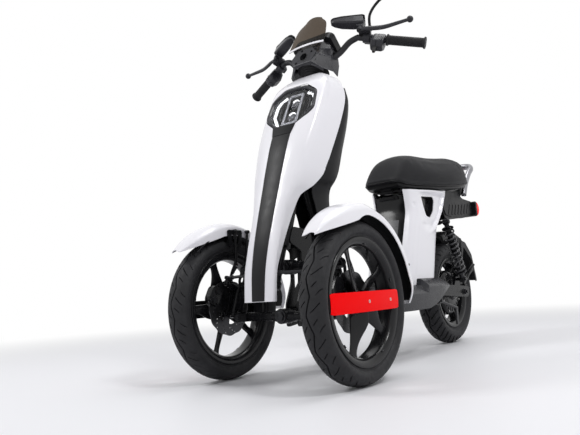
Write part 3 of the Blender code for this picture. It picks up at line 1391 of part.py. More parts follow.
def build_mirror(here):
    """The mirror on the left, on a stalk from the perch."""
    foot = on_bar(0.040, 0.020, 0.0193)
    path = smooth_path([foot, foot + Vector((0.002, 0.008, 0.060)), foot + Vector((0.030, 0.030, 0.110)),
                        foot + Vector((0.082, 0.040, 0.135))], 2)
    head = Vector((0.300, 0.366, 1.385))
    turn = Matrix.Rotation(math.radians(-8), 4, "Z")
    rings = []
    for depth, scale in ((-0.016, 0.70), (-0.006, 0.96), (0.008, 1.0), (0.011, 0.95)):
        ring = []
        for i in range(12):
            t = math.tau * i / 12
            x = 0.070 * scale * math.copysign(abs(math.cos(t)) ** 0.7, math.cos(t))
            z = 0.043 * scale * math.copysign(abs(math.sin(t)) ** 0.7, math.sin(t))
            ring.append(head + turn @ Vector((x, depth, z)))
        rings.append(ring)
    path.append(head + Vector((-0.010, 0.0, -0.012)))
    base = rod(foot, foot + LEVER_AXIS * 0.012, 0.008, 10)
    path[0] = foot + LEVER_AXIS * 0.006
    stalk = tube(path, 0.0050, 1)
    here = pivot("mirror_axis", foot, here)
    part("mirror", combined(loft(rings), [stalk, base]), here, DARK)


# Rear end


def build_rear(root):
    """Swingarm, driven wheel, mudguard, shock absorber and stand."""
    here = pivot("swing_pivot", (0.0, SWING_PIVOT_Y, SWING_PIVOT_Z), root)
    wide, tall = SWING_LEG
    leg_x = swing_leg_x()
    base = rod((-leg_x, SWING_PIVOT_Y, SWING_PIVOT_Z), (leg_x, SWING_PIVOT_Y, SWING_PIVOT_Z),
               SWING_TUBE_RADIUS, 14)
    joined = []
    end_y = WHEELBASE + 0.055
    for side in (1, -1):
        outline = [
            (SWING_PIVOT_Y - 0.020, SWING_PIVOT_Z - tall / 2),
            (end_y - 0.020, REAR_AXLE_Z - tall / 2 - 0.004),
            (end_y, REAR_AXLE_Z - tall / 4),
            (end_y, REAR_AXLE_Z + tall / 2),
            (WHEELBASE - 0.050, REAR_AXLE_Z + tall / 2 + 0.008),
            (SWING_PIVOT_Y + 0.010, SWING_PIVOT_Z + tall / 2),
            (SWING_PIVOT_Y - 0.020, SWING_PIVOT_Z + tall / 4),
        ]
        joined.append(plate(outline, wide, side_plane(side * leg_x)))
    foot_y = SHOCK_FOOT[0] + BODY_SHIFT
    foot_z = SHOCK_FOOT[1]
    low_z = REAR_AXLE_Z + 0.018
    lug = [(foot_y - 0.040, low_z), (foot_y + 0.035, low_z), (foot_y + 0.014, foot_z + 0.012),
           (foot_y - 0.014, foot_z + 0.012)]
    joined.append(plate(lug, 0.012, side_plane(leg_x + 0.004)))
    joined.append(rod((leg_x, foot_y, foot_z), (SHOCK_X + 0.012, foot_y, foot_z), 0.007, 14))
    reach = REAR_HUB_HALF + SEAT_GAP
    cut = []
    for side in (1, -1):
        cut.append(rod((side * (leg_x - 0.011), SWING_PIVOT_Y, SWING_PIVOT_Z),
                       (side * 0.2, SWING_PIVOT_Y, SWING_PIVOT_Z), 0.009 + BEARING_GAP, 16))
        joined.append(rod((side * reach, WHEELBASE, REAR_AXLE_Z), (side * leg_x, WHEELBASE, REAR_AXLE_Z),
                          0.016, 12))
        outer = leg_x + wide / 2
        joined.append(rod((side * (outer - 0.002), WHEELBASE, REAR_AXLE_Z),
                          (side * (outer + 0.010), WHEELBASE, REAR_AXLE_Z), 0.014, 6))
    joined.append(rod((-leg_x, WHEELBASE, REAR_AXLE_Z), (leg_x, WHEELBASE, REAR_AXLE_Z), 0.008, 16))
    part("swingarm", combined(base, joined, cut), here, STEEL_BLACK)
    build_mudguard(here)
    build_rear_wheel(here)
    build_shock(root)
    build_stand(root)


REAR_HUB_HALF = 0.046


def build_rear_wheel(here):
    """The hub motor with its spokes and rim, and the tyre."""
    axle = pivot("rear_axle", (0.0, WHEELBASE, REAR_AXLE_Z), here)
    centre = Vector((0.0, WHEELBASE, REAR_AXLE_Z))
    step = math.pi / WHEEL_STEPS
    foot = REAR_TYRE_WIDTH * 0.34
    profile = tyre_profile(REAR_TYRE_RADIUS, REAR_TYRE_WIDTH / 2, REAR_BEAD_RADIUS, foot, TYRE_WALL)
    part("rear_tyre", turned(profile, centre, (1, 0, 0), WHEEL_STEPS, step), axle, RUBBER)
    rim = turned(rim_profile(REAR_BEAD_RADIUS, foot), centre, (1, 0, 0), WHEEL_STEPS, step)
    bore = 0.008 + BEARING_GAP
    half = REAR_HUB_HALF
    hub_profile = [(bore, -half), (0.030, -half), (0.036, -half + 0.012), (0.094, -half + 0.020),
                   (0.104, -half + 0.030),
                   (0.104, half - 0.030), (0.094, half - 0.020), (0.036, half - 0.012), (0.030, half),
                   (bore, half)]
    hub = turned(hub_profile, centre, (1, 0, 0), 20)
    arms = []
    for i in range(6):
        angle = math.tau * i / 6
        out = Vector((0.0, math.cos(angle), math.sin(angle)))
        turn = Matrix.Rotation(angle, 4, "X")
        arms.append(block((0.022, 0.052, 0.024), centre + out * 0.118, turn))
    part("rear_wheel", combined(rim, [hub, *arms]), axle, STEEL_BLACK)


def build_mudguard(here):
    """The hugger over the rear tyre, with a stay to each leg of the swingarm."""
    crown = REAR_TYRE_RADIUS + 0.056
    half = REAR_TYRE_WIDTH / 2 + 0.010
    first = math.radians(10)
    last = math.radians(112)
    steps = 8
    rows = []
    for i in range(steps + 1):
        angle = first + (last - first) * i / steps
        row = []
        for w, drop in ((-1.0, 0.034), (-0.95, 0.014), (-0.55, 0.002), (0.0, 0.0), (0.55, 0.002),
                        (0.95, 0.014), (1.0, 0.034)):
            radius = crown - drop
            row.append(Vector((half * w, WHEELBASE + radius * math.cos(angle),
                               REAR_AXLE_Z + radius * math.sin(angle))))
        rows.append(row)
    shell = skin(rows, PANEL, inwards=False)
    joined = []
    leg_x = swing_leg_x()
    top_of_leg = REAR_AXLE_Z + SWING_LEG[1] / 2 + 0.003
    for side in (1, -1):
        x = side * (half + 0.002)
        foot = (side * leg_x, WHEELBASE + 0.030, top_of_leg + 0.0075)
        for angle in (math.radians(28), math.radians(70)):
            radius = crown - 0.020
            up = (x, WHEELBASE + radius * math.cos(angle), REAR_AXLE_Z + radius * math.sin(angle))
            joined.append(tube([foot, up], 0.005, 1))
        joined.append(block((0.024, 0.030, 0.008), (foot[0], foot[1], top_of_leg + 0.0045)))
    part("rear_mudguard", combined(shell, joined), here, DARK)


def shock_line():
    """The top of the shock absorber, its foot, and the direction between them."""
    top = Vector((SHOCK_X, SHOCK_TOP[0] + BODY_SHIFT, SHOCK_TOP[1]))
    foot = Vector((SHOCK_X, SHOCK_FOOT[0] + BODY_SHIFT, SHOCK_FOOT[1]))
    return top, foot, (foot - top).normalized()


def build_shock(root):
    """The shock absorber: its body, its rod and its coil spring."""
    top, foot, down = shock_line()
    here = pivot("shock_top_pivot", top, root)
    reach = (foot - top).length
    sideways = Vector((1, 0, 0))
    eye = rod(top - sideways * 0.010, top + sideways * 0.010, 0.0145, 18)
    joined = [
        rod(top + down * 0.010, top + down * 0.040, 0.0110, 16),
        rod(top + down * 0.030, top + down * 0.036, COIL_RADIUS + COIL_WIRE + 0.001, 16),
        rod(top + down * 0.034, top + down * 0.160, 0.0140, 18),
    ]
    cut = [
        rod(top - sideways * 0.05, top + sideways * 0.05, 0.007 + BEARING_GAP, 14),
        rod(top + down * 0.070, top + down * 0.20, 0.0060 + BEARING_GAP, 14),
    ]
    part("shock_body", combined(eye, joined, cut), here, STEEL_BLACK)

    seat_low = reach - 0.040
    slide = pivot("shock_slide", foot, here)
    low_eye = rod(foot - sideways * 0.010, foot + sideways * 0.010, 0.0145, 18)
    joined = [
        rod(top + down * 0.112, foot - down * 0.010, 0.0060, 14),
        rod(top + down * (seat_low + 0.0), top + down * (seat_low + 0.006), COIL_RADIUS + COIL_WIRE + 0.001,
            16),
        rod(top + down * (seat_low + 0.003), foot - down * 0.008, 0.0110, 16),
    ]
    cut = [rod(foot - sideways * 0.05, foot + sideways * 0.05, 0.007 + LEVER_GAP, 14)]
    part("shock_rod", combined(low_eye, joined, cut), slide, ALUMINIUM)

    start = 0.036 + COIL_WIRE + SEAT_GAP
    end = seat_low - COIL_WIRE - SEAT_GAP
    turn = along(down)
    per_turn = 8
    count = COIL_TURNS * per_turn
    points = []
    for i in range(count + 1):
        angle = math.tau * i / per_turn
        flat = Vector((COIL_RADIUS * math.cos(angle), COIL_RADIUS * math.sin(angle), 0.0))
        points.append(top + turn @ flat + down * (start + (end - start) * i / count))
    part("shock_spring", tube(points, COIL_WIRE, 1), here, ALUMINIUM)


def build_stand(root):
    """The side stand, folded back under the left side."""
    y, z = stand_pivot()
    x = swing_leg_x() + SWING_LEG[0] / 2 + SEAT_GAP + 0.008
    here = pivot("stand_pivot", (x, y, z), root)
    middle = x + SEAT_GAP + 0.0055
    eye = rod((middle - 0.0050, y, z), (middle + 0.0050, y, z), 0.0125, 16)
    end = (middle, y + 0.175, z - 0.040)
    leg = tube([(middle, y, z), end], 0.0050, 2)
    tang = [(y + 0.160, z - 0.040), (y + 0.180, z - 0.034), (y + 0.176, z - 0.110), (y + 0.160, z - 0.112)]
    foot = plate(tang, 0.0080, side_plane(middle))
    bore = rod((x - 0.05, y, z), (x + 0.05, y, z), 0.005 + BEARING_GAP, 12)
    part("side_stand", combined(eye, [leg, foot], [bore]), here, ALUMINIUM)


def main():
    clear_scene()
    bpy.context.scene.collection.children.link(COLLECTION)
    datum = bpy.data.objects.new("front_axle_datum", None)
    COLLECTION.objects.link(datum)
    datum["place"] = Vector((0.0, 0.0, 0.0))
    datum.location = (0.0, DATUM_Y, 0.0)
    build_body(datum)
    build_seat(datum)
    build_front_end(datum)
    build_steering(datum)
    build_rear(datum)


main()
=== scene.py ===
"""The looks of the electric tricycle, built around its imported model.

Metres, +Z up, the front towards -Y, the machine's left side towards +X. As in the model's
source, shapes are drawn from the front axle: y = 0 under it and z = 0 on the floor.
piece() carries them to the model's own frame.
"""

import json
import math

import bmesh
import bpy
from mathutils import Matrix, Vector

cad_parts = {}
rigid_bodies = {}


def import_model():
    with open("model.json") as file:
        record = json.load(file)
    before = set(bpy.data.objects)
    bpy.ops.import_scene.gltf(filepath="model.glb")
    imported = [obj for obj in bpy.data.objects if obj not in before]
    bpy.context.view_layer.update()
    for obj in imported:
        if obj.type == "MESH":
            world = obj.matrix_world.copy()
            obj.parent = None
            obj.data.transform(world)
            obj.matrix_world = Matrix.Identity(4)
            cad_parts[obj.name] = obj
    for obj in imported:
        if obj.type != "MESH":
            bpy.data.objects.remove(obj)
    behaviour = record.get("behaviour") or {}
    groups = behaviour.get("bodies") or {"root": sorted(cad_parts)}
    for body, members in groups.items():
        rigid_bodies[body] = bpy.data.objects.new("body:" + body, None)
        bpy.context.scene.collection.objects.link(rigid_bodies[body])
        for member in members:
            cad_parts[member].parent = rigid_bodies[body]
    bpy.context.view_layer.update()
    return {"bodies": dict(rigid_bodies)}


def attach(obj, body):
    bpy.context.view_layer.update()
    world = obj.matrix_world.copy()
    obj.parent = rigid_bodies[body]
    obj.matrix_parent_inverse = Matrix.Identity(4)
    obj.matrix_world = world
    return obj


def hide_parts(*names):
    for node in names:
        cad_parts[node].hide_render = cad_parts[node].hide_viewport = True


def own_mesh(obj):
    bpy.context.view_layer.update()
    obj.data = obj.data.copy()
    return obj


for thing in list(bpy.data.objects):
    bpy.data.objects.remove(thing)
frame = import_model()

# Sizes, the same as in the model's source
TRACK = 0.525
WHEELBASE = 1.215
FRONT_RADIUS = 0.242
REAR_RADIUS = 0.234
FRONT_WIDTH = 0.084
REAR_WIDTH = 0.096
FRONT_BEAD = 0.178
REAR_BEAD = 0.152
FACET = math.cos(math.pi / 24)
FRONT_AXLE_Z = FRONT_RADIUS * FACET
REAR_AXLE_Z = REAR_RADIUS * FACET
WHEEL_X = TRACK / 2
RAKE = math.radians(20.6)
COLUMN_TOP = Vector((0.0, 0.2575, 1.10))
COLUMN_RADIUS = 0.0125
STEERING_ARM = 0.060
ARM_LEVEL = 0.066
STUD = 0.018
KINGPIN_X = WHEEL_X - 0.0425
KNUCKLE_X = KINGPIN_X + 0.0195
ARM_REACH = KINGPIN_X - 0.035
UPPER_ARM = (0.035, 0.360)
LOWER_ARM = (-0.005, 0.206)
ARM_DEPTH = 0.047
DISC_X = WHEEL_X - 0.0120 - 0.0003 - 0.002
CALIPER_TURN = math.radians(150)
FENDER_CROWN = FRONT_RADIUS + 0.050
SWING_Y = WHEELBASE - 0.270
SWING_Z = 0.250
SWING_LEG = (0.028, 0.045)
LEG_X = REAR_WIDTH / 2 + 0.021 + SWING_LEG[0] / 2
SHOCK_X = 0.120
SHOCK_TOP = Vector((SHOCK_X, 1.020, 0.545))
SHOCK_FOOT = Vector((SHOCK_X, 1.150, 0.290))
RAIL_X = 0.085
DECK_TOP = 0.275
RAIL_Z = DECK_TOP - 0.004 - 0.0003 - 0.014
SEAT_HINGE = (0.722, 0.667)
STAND_PIN = (0.900, 0.205)
LAMP_Y = WHEELBASE + 0.315 - 0.0390
LAMP_Z = 0.641
DATUM_Y = -(WHEELBASE + 0.315 - FRONT_RADIUS) / 2
UP_THE_RAKE = Vector((0.0, math.sin(RAKE), math.cos(RAKE)))
AHEAD = Vector((0.0, -math.cos(RAKE), math.sin(RAKE)))
RAKE_TURN = Matrix.Rotation(-RAKE, 4, "X")
X_AXIS = Vector((1.0, 0.0, 0.0))
PANEL = 0.003
SIDES = ((1, "left"), (-1, "right"))
BOTH = (1, -1)


# Points and outlines


def vec(x, y, z):
    return Vector((x, y, z))


def turns(count, offset=0.0):
    """Angles evenly round a circle."""
    return [math.tau * (i + offset) / count for i in range(count)]


def spin(angle):
    """The direction at an angle round an axle, counted from the rear and up."""
    return vec(0.0, math.cos(angle), math.sin(angle))


def power(value, exponent):
    """A power that keeps the sign."""
    return math.copysign(abs(value) ** exponent, value)


def ramp(value, start, end):
    """0 before start, 1 after end, and a smooth rise between."""
    t = max(0.0, min(1.0, (value - start) / (end - start)))
    return t * t * (3 - 2 * t)


def mirrored(points):
    """Points on the left, then their mirror images in the opposite order."""
    return [*points, *((-x, *rest) for x, *rest in reversed(points) if x)]


def circle(centre, radius, count):
    """Points round a circle in a flat outline."""
    return [(centre[0] + radius * math.cos(t), centre[1] + radius * math.sin(t)) for t in turns(count)]


def rounded(outline, radius, steps=4):
    """A flat outline with its corners rounded."""
    corners = [Vector(p) for p in outline]
    made = []
    for i, corner in enumerate(corners):
        back = corners[i - 1] - corner
        on = corners[(i + 1) % len(corners)] - corner
        start = corner + back.normalized() * min(radius, back.length * 0.45)
        end = corner + on.normalized() * min(radius, on.length * 0.45)
        for step in range(steps + 1):
            t = step / steps
            made.append(tuple((1 - t) ** 2 * start + 2 * t * (1 - t) * corner + t * t * end))
    return made


def inside(point, outline):
    """How far inside an outline a point lies, or less than 0 outside it."""
    best = 1e9
    odd = False
    y, z = point
    for i, (ay, az) in enumerate(outline):
        by, bz = outline[(i + 1) % len(outline)]
        length = (by - ay) ** 2 + (bz - az) ** 2
        t = max(0.0, min(1.0, ((y - ay) * (by - ay) + (z - az) * (bz - az)) / length))
        best = min(best, math.hypot(y - ay - t * (by - ay), z - az - t * (bz - az)))
        if (az > z) != (bz > z) and y < (by - ay) * (z - az) / (bz - az) + ay:
            odd = not odd
    return best if odd else -best


def spline(points, pieces, closed=False):
    """Points on a smooth curve through the given ones."""
    knots = [Vector(p) for p in points]
    if closed:
        knots = [knots[-1], *knots, knots[0], knots[1]]
    else:
        knots = [2 * knots[0] - knots[1], *knots, 2 * knots[-1] - knots[-2]]
    path = []
    for before, start, end, after in zip(knots, knots[1:], knots[2:], knots[3:]):
        first = max((start - before).length, 1e-6) ** 0.5
        middle = max((end - start).length, 1e-6) ** 0.5
        last = max((after - end).length, 1e-6) ** 0.5
        leave = end - start + middle * ((start - before) / first - (end - before) / (first + middle))
        arrive = end - start + middle * ((after - end) / last - (after - start) / (middle + last))
        for step in range(pieces):
            t = step / pieces
            path.append(
                start + leave * t + (3 * (end - start) - 2 * leave - arrive) * t**2
                + (2 * (start - end) + leave + arrive) * t**3
            )
    if not closed:
        path.append(knots[-2])
    return path


def refine(rows, along, across=1, closed=False):
    """Rows of points made finer both ways, on smooth curves through the given ones."""
    finer = [spline(row, across, closed) for row in rows]
    columns = [spline(column, along) for column in zip(*finer)]
    return [list(row) for row in zip(*columns)]


def along_table(table, value, index=1):
    """Straight-line reading of a table."""
    for low, high in zip(table, table[1:]):
        if value <= high[0]:
            share = (value - low[0]) / (high[0] - low[0])
            return low[index] + share * (high[index] - low[index])
    return table[-1][index]


def smooth_table(table, pieces):
    """The table's rows with more between them, on smooth curves."""
    columns = []
    for column in zip(*table):
        columns.append([v.x for v in spline([(c, i * 0.03, 0) for i, c in enumerate(column)], pieces)])
    return list(zip(*columns))


def smooth_pairs(table, pieces):
    """The same for a table of pairs, with its points' own spacing."""
    return [(p.x, p.y) for p in spline([(a, b, 0) for a, b in table], pieces)]


# Shapes


def aim(direction):
    """The rotation that turns +Z to a direction."""
    return Vector(direction).to_track_quat("Z", "Y").to_matrix().to_4x4()


def moved(x, y, z):
    return Matrix.Translation((x, y, z))


def side_plane(x):
    """Carries an outline of (y, z) points to the plane at x."""
    return moved(x, 0.0, 0.0) @ Matrix(((0, 0, 1, 0), (1, 0, 0, 0), (0, 1, 0, 0), (0, 0, 0, 1)))


def placed(name, data):
    """A new object in the scene."""
    thing = bpy.data.objects.new(name, data)
    bpy.context.scene.collection.objects.link(thing)
    return thing


def finished(builder, mesh=None):
    """What a builder holds, as a mesh."""
    mesh = mesh or bpy.data.meshes.new("shape")
    builder.to_mesh(mesh)
    builder.free()
    return mesh


def clean(mesh, outwards=True):
    """The mesh with doubled points merged and its faces turned outwards."""
    builder = bmesh.new()
    builder.from_mesh(mesh)
    bmesh.ops.remove_doubles(builder, verts=builder.verts, dist=1e-6)
    bmesh.ops.dissolve_degenerate(builder, edges=builder.edges, dist=1e-7)
    builder.normal_update()
    if outwards:
        bmesh.ops.recalc_face_normals(builder, faces=builder.faces)
    return finished(builder, mesh)


def net(rows, across_closed=False, along_closed=False, ends=False, outwards=True):
    """Faces over rows of points."""
    wide = len(rows[0])
    faces = []
    for i in range(len(rows) - (not along_closed)):
        next_row = (i + 1) % len(rows)
        for j in range(wide - (not across_closed)):
            k = (j + 1) % wide
            faces.append((i * wide + j, i * wide + k, next_row * wide + k, next_row * wide + j))
    if ends:
        last = (len(rows) - 1) * wide
        faces += [tuple(reversed(range(wide))), tuple(range(last, last + wide))]
    mesh = bpy.data.meshes.new("shape")
    mesh.from_pydata([tuple(p) for row in rows for p in row], [], faces)
    return clean(mesh, outwards)


def lofted(rings):
    """A closed body through rings of points."""
    return net(rings, across_closed=True, ends=True)


def looped(rings):
    """A body through rings of points, the last joined to the first."""
    return net(rings, across_closed=True, along_closed=True)


def evaluated(mesh, *settings, place=None):
    """The mesh that modifiers make of a mesh or curve. Each setting is (kind, {name: value})."""
    thing = placed("scratch", mesh)
    if place is not None:
        thing.matrix_world = place
    for kind, values in settings:
        modifier = thing.modifiers.new(kind, kind)
        for key, value in values.items():
            setattr(modifier, key, value)
    bpy.context.view_layer.update()
    made = bpy.data.meshes.new_from_object(thing.evaluated_get(bpy.context.evaluated_depsgraph_get()))
    made.transform(thing.matrix_world)
    bpy.data.objects.remove(thing)
    return made


def thickened(sheet, thickness=PANEL, inwards=True):
    """A sheet given thickness on one side."""
    wall = dict(thickness=thickness, offset=-1.0 if inwards else 1.0, use_even_offset=True)
    return clean(evaluated(sheet, ("SOLIDIFY", wall)))


def shell(rows, thickness=PANEL, inwards=True):
    """A wall through rows of points."""
    return thickened(net(rows, outwards=False), thickness, inwards)


def turned(profile, centre, direction, steps=72, loop=True):
    """A profile of (radius, distance along the axis) points, turned about an axis."""
    place = moved(*centre) @ aim(direction)
    rows = [[place @ vec(r * math.cos(t), r * math.sin(t), h) for r, h in profile] for t in turns(steps)]
    return net(rows, across_closed=loop, along_closed=True)


def rod(start, end, radius, sides=36, end_radius=None):
    """A round or many-sided bar between two points."""
    start, end = Vector(start), Vector(end)
    place = aim(end - start)
    rings = []
    for at, size in ((start, radius), (end, end_radius or radius)):
        rings.append([at + place @ vec(size * math.cos(t), size * math.sin(t), 0.0) for t in turns(sides)])
    return lofted(rings)


def bore_rod(start, end, radius, bore, sides=36):
    """A sleeve between two points."""
    along = Vector(end) - Vector(start)
    tall = along.length
    return turned([(bore, 0.0), (radius, 0.0), (radius, tall), (bore, tall)], start, along, sides)


def ball(centre, radius, sides=24):
    builder = bmesh.new()
    bmesh.ops.create_uvsphere(
        builder, u_segments=sides, v_segments=sides // 2, radius=radius, matrix=moved(*centre))
    return finished(builder)


def block(size, centre, turn=None):
    """A box, turned about its centre."""
    builder = bmesh.new()
    bmesh.ops.create_cube(builder, size=1.0, matrix=Matrix.Diagonal((*size, 1.0)))
    builder.transform(moved(*centre) @ (turn or Matrix.Identity(4)))
    return finished(builder)


def tube(points, radius, sides=20, flat=1.0, normal=None):
    """A round or flattened bar through points. radius is one size, or one for each point."""
    points = [Vector(p) for p in points]
    count = len(points)
    sizes = radius if isinstance(radius, list) else [radius] * count
    rings = []
    for i, (point, size) in enumerate(zip(points, sizes)):
        direction = (points[min(i + 1, count - 1)] - points[max(i - 1, 0)]).normalized()
        if normal is None:
            normal = direction.orthogonal()
        normal = (normal - direction * normal.dot(direction)).normalized()
        other = direction.cross(normal)
        rings.append([point + size * (normal * math.cos(t) * flat + other * math.sin(t))
                      for t in turns(sides)])
    return lofted(rings)


def plate(outline, thickness, place, holes=()):
    """A flat outline with holes, given thickness."""
    curve = bpy.data.curves.new("outline", "CURVE")
    curve.dimensions = "2D"
    curve.fill_mode = "BOTH"
    curve.extrude = thickness / 2
    for loop in (outline, *holes):
        line = curve.splines.new("POLY")
        line.points.add(len(loop) - 1)
        line.use_cyclic_u = True
        for node, (across, up) in zip(line.points, loop):
            node.co = (across, up, 0.0, 1.0)
    return clean(evaluated(curve, place=place))


def joined(shapes):
    """One mesh of several."""
    builder = bmesh.new()
    for shape in shapes:
        builder.from_mesh(shape)
    return finished(builder)


def cut(base, *tools):
    """The base with other shapes cut from it."""
    things = [placed("tool", tool) for tool in tools]
    settings = [("BOOLEAN", dict(operation="DIFFERENCE", solver="EXACT", object=thing)) for thing in things]
    mesh = evaluated(base, *settings)
    for thing in things:
        bpy.data.objects.remove(thing)
    return mesh


def hex_bolt(at, direction, size, tall, washer=True):
    """A hexagon head on its washer."""
    at, direction = Vector(at), Vector(direction).normalized()
    made = [rod(at, at + direction * tall, size, 6)]
    made.append(rod(at + direction * tall * 0.98, at + direction * tall * 1.12,
                    size * 0.78, 24, size * 0.66))
    if washer:
        made.append(rod(at - direction * 0.0004, at + direction * 0.0011, size * 1.35, 32))
    return made


def socket_screw(at, direction, size, tall=0.004):
    """A round head with a hexagon socket."""
    at, direction = Vector(at), Vector(direction).normalized()
    place = Matrix.Translation(at + direction * tall * 0.75) @ aim(direction)
    head = plate(circle((0, 0), size, 28), tall * 0.5, place, [circle((0, 0), size * 0.52, 6)])
    return [rod(at, at + direction * tall * 0.5, size, 28), head]


def piece(name, body, look, shapes, stands_for=(), bevel=0.0, sharp=32.0, side=1, segments=2):
    """One visible piece: placed, shaded, and riding on its body."""
    mesh = joined(shapes)
    if side < 0:
        mesh.transform(Matrix.Diagonal((-1.0, 1.0, 1.0, 1.0)))
        mesh.flip_normals()
    mesh.transform(moved(0.0, DATUM_Y, 0.0))
    mesh.shade_smooth()
    mesh.set_sharp_from_angle(angle=math.radians(sharp))
    mesh.name = name
    mesh.materials.clear()
    mesh.materials.append(look)
    made = placed(name, mesh)
    if bevel:
        edge = made.modifiers.new("edges", "BEVEL")
        edge.width = bevel
        edge.segments = segments
        edge.limit_method = "ANGLE"
        edge.angle_limit = math.radians(sharp)
        edge.harden_normals = True
    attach(made, body)
    if stands_for:
        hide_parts(*stands_for)
    return made


def pair(name, body, look, shapes, stands_for=(), **options):
    """A piece drawn for the left, and its mirror image on the right."""
    one = joined(shapes)
    for side, word in SIDES:
        nodes = [node + "_" + word for node in stands_for]
        on = body if body in frame["bodies"] else body + "_" + word
        piece(name + "_" + word, on, look, [one], nodes, side=side, **options)


# Materials. Every one is worked out from places on the object itself.


def add_node(tree, kind, inputs=None, **settings):
    """A node with its settings made and its sockets set or linked."""
    made = tree.nodes.new(kind)
    for key, value in settings.items():
        setattr(made, key, value)
    for key, value in (inputs or {}).items():
        if isinstance(value, bpy.types.NodeSocket):
            tree.links.new(value, made.inputs[key])
        else:
            made.inputs[key].default_value = value
    return made


class Look:
    """A Principled material with helpers for its nodes."""

    def __init__(self, name, slot, colour, roughness, metallic=0.0, **values):
        self.made = bpy.data.materials.new(name)
        self.made.use_nodes = True
        self.made["slot"] = slot
        self.tree = self.made.node_tree
        self.inputs = self.tree.nodes["Principled BSDF"].inputs
        self.set(Base_Color=(*colour, 1.0), Roughness=roughness, Metallic=metallic, **values)
        self.place = self.node("ShaderNodeTexCoord").outputs["Object"]
        self.height = None

    def set(self, **values):
        for key, value in values.items():
            self.inputs[key.replace("_", " ")].default_value = value

    def node(self, kind, inputs=None, **settings):
        return add_node(self.tree, kind, inputs, **settings)

    def noise(self, scale, detail=3.0, stretch=None):
        vector = self.place
        if stretch:
            vector = self.node("ShaderNodeMapping", {"Vector": vector, "Scale": stretch}).outputs["Vector"]
        values = {"Vector": vector, "Scale": scale, "Detail": detail}
        return self.node("ShaderNodeTexNoise", values).outputs["Fac"]

    def cells(self, scale, place=None, **settings):
        values = {"Vector": place or self.place, "Scale": scale}
        return self.node("ShaderNodeTexVoronoi", values, **settings).outputs["Distance"]

    def ranged(self, value, low, high, start=0.3, end=0.7):
        values = {"Value": value, "From Min": start, "From Max": end, "To Min": low, "To Max": high}
        return self.node("ShaderNodeMapRange", values).outputs["Result"]

    def mixed(self, kind, share, first, second):
        """A mix of two colours or vectors."""
        mix = self.node("ShaderNodeMix", {"Factor": share}, data_type=kind)
        sockets = [s for s in mix.inputs if s.type == kind]
        for socket, value in zip(sockets, (first, second)):
            if isinstance(value, bpy.types.NodeSocket):
                self.tree.links.new(value, socket)
            else:
                socket.default_value = value
        return next(s for s in mix.outputs if s.type == kind)

    def tint(self, scale, detail, most, other):
        """Moves the colour towards another in patches, by a share of at most most."""
        share = self.ranged(self.noise(scale, detail), 0.0, most)
        base = self.inputs["Base Color"]
        self.tree.links.new(self.mixed("RGBA", share, base.default_value, (*other, 1.0)), base)

    def gloss(self, value):
        """Drives the roughness."""
        self.tree.links.new(value, self.inputs["Roughness"])

    def relief(self, value, depth, strength):
        """Adds a bump of a given depth in metres."""
        values = {"Height": value, "Distance": depth, "Strength": strength}
        if self.height is not None:
            values["Normal"] = self.height
        self.height = self.node("ShaderNodeBump", values).outputs["Normal"]
        self.tree.links.new(self.height, self.inputs["Normal"])


def scaled(colour, factor):
    return tuple(c * factor for c in colour)


def white_look():
    look = Look("white_gloss", "white_plastic", (0.82, 0.81, 0.85), 0.30,
                Coat_Weight=0.5, Coat_Roughness=0.06)
    look.tint(2.0, 1.0, 0.4, (0.84, 0.835, 0.865))
    look.gloss(look.ranged(look.noise(40.0, 1.0), 0.28, 0.34))
    look.relief(look.noise(60.0, 1.0), 0.00002, 0.3)
    return look.made


def dark_look(name, slot, colour, roughness, **values):
    """Moulded dark plastic with a fine grain."""
    look = Look(name, slot, colour, roughness, **values)
    look.tint(9.0, 3.0, 0.5, scaled(colour, 1.35))
    look.gloss(look.ranged(look.noise(45.0), roughness - 0.05, roughness + 0.06))
    look.relief(look.cells(1400.0), 0.00003, 0.6)
    look.relief(look.noise(560.0), 0.00003, 0.4)
    return look.made


def gloss_look():
    look = Look("black_gloss", "gloss_black", (0.004, 0.004, 0.0045), 0.16, Specular_IOR_Level=0.26)
    look.tint(5.0, 3.0, 0.6, (0.006, 0.006, 0.007))
    look.gloss(look.ranged(look.noise(30.0, 1.0), 0.14, 0.20))
    look.relief(look.noise(50.0, 1.0), 0.00002, 0.3)
    return look.made


def metal_look(name, slot, colour, roughness, metallic=1.0, **values):
    """Bare or coated metal with fine drawn lines."""
    look = Look(name, slot, colour, roughness, metallic, **values)
    lines = look.noise(1.0, 4.0, stretch=(60.0, 900.0, 900.0))
    look.tint(14.0, 3.0, 0.6, scaled(colour, 0.72))
    look.gloss(look.ranged(lines, roughness - 0.07, roughness + 0.09))
    look.relief(lines, 0.00005, 0.4)
    return look.made


def coat_look(name, slot, colour, roughness, **values):
    """Powder coat: a fine ripple over dark metal."""
    look = Look(name, slot, colour, roughness, **values)
    look.tint(18.0, 3.0, 0.6, scaled(colour, 1.5))
    look.gloss(look.ranged(look.noise(60.0), roughness - 0.04, roughness + 0.05))
    look.relief(look.noise(700.0, 2.0), 0.00004, 0.4)
    return look.made


def rubber_look(name, slot, colour, grain=700.0):
    look = Look(name, slot, colour, 0.60, Specular_IOR_Level=0.24)
    look.tint(25.0, 5.0, 0.7, scaled(colour, 1.7))
    look.gloss(look.ranged(look.noise(110.0), 0.52, 0.72))
    look.relief(look.noise(grain, 4.0), 0.00015, 0.5)
    return look.made


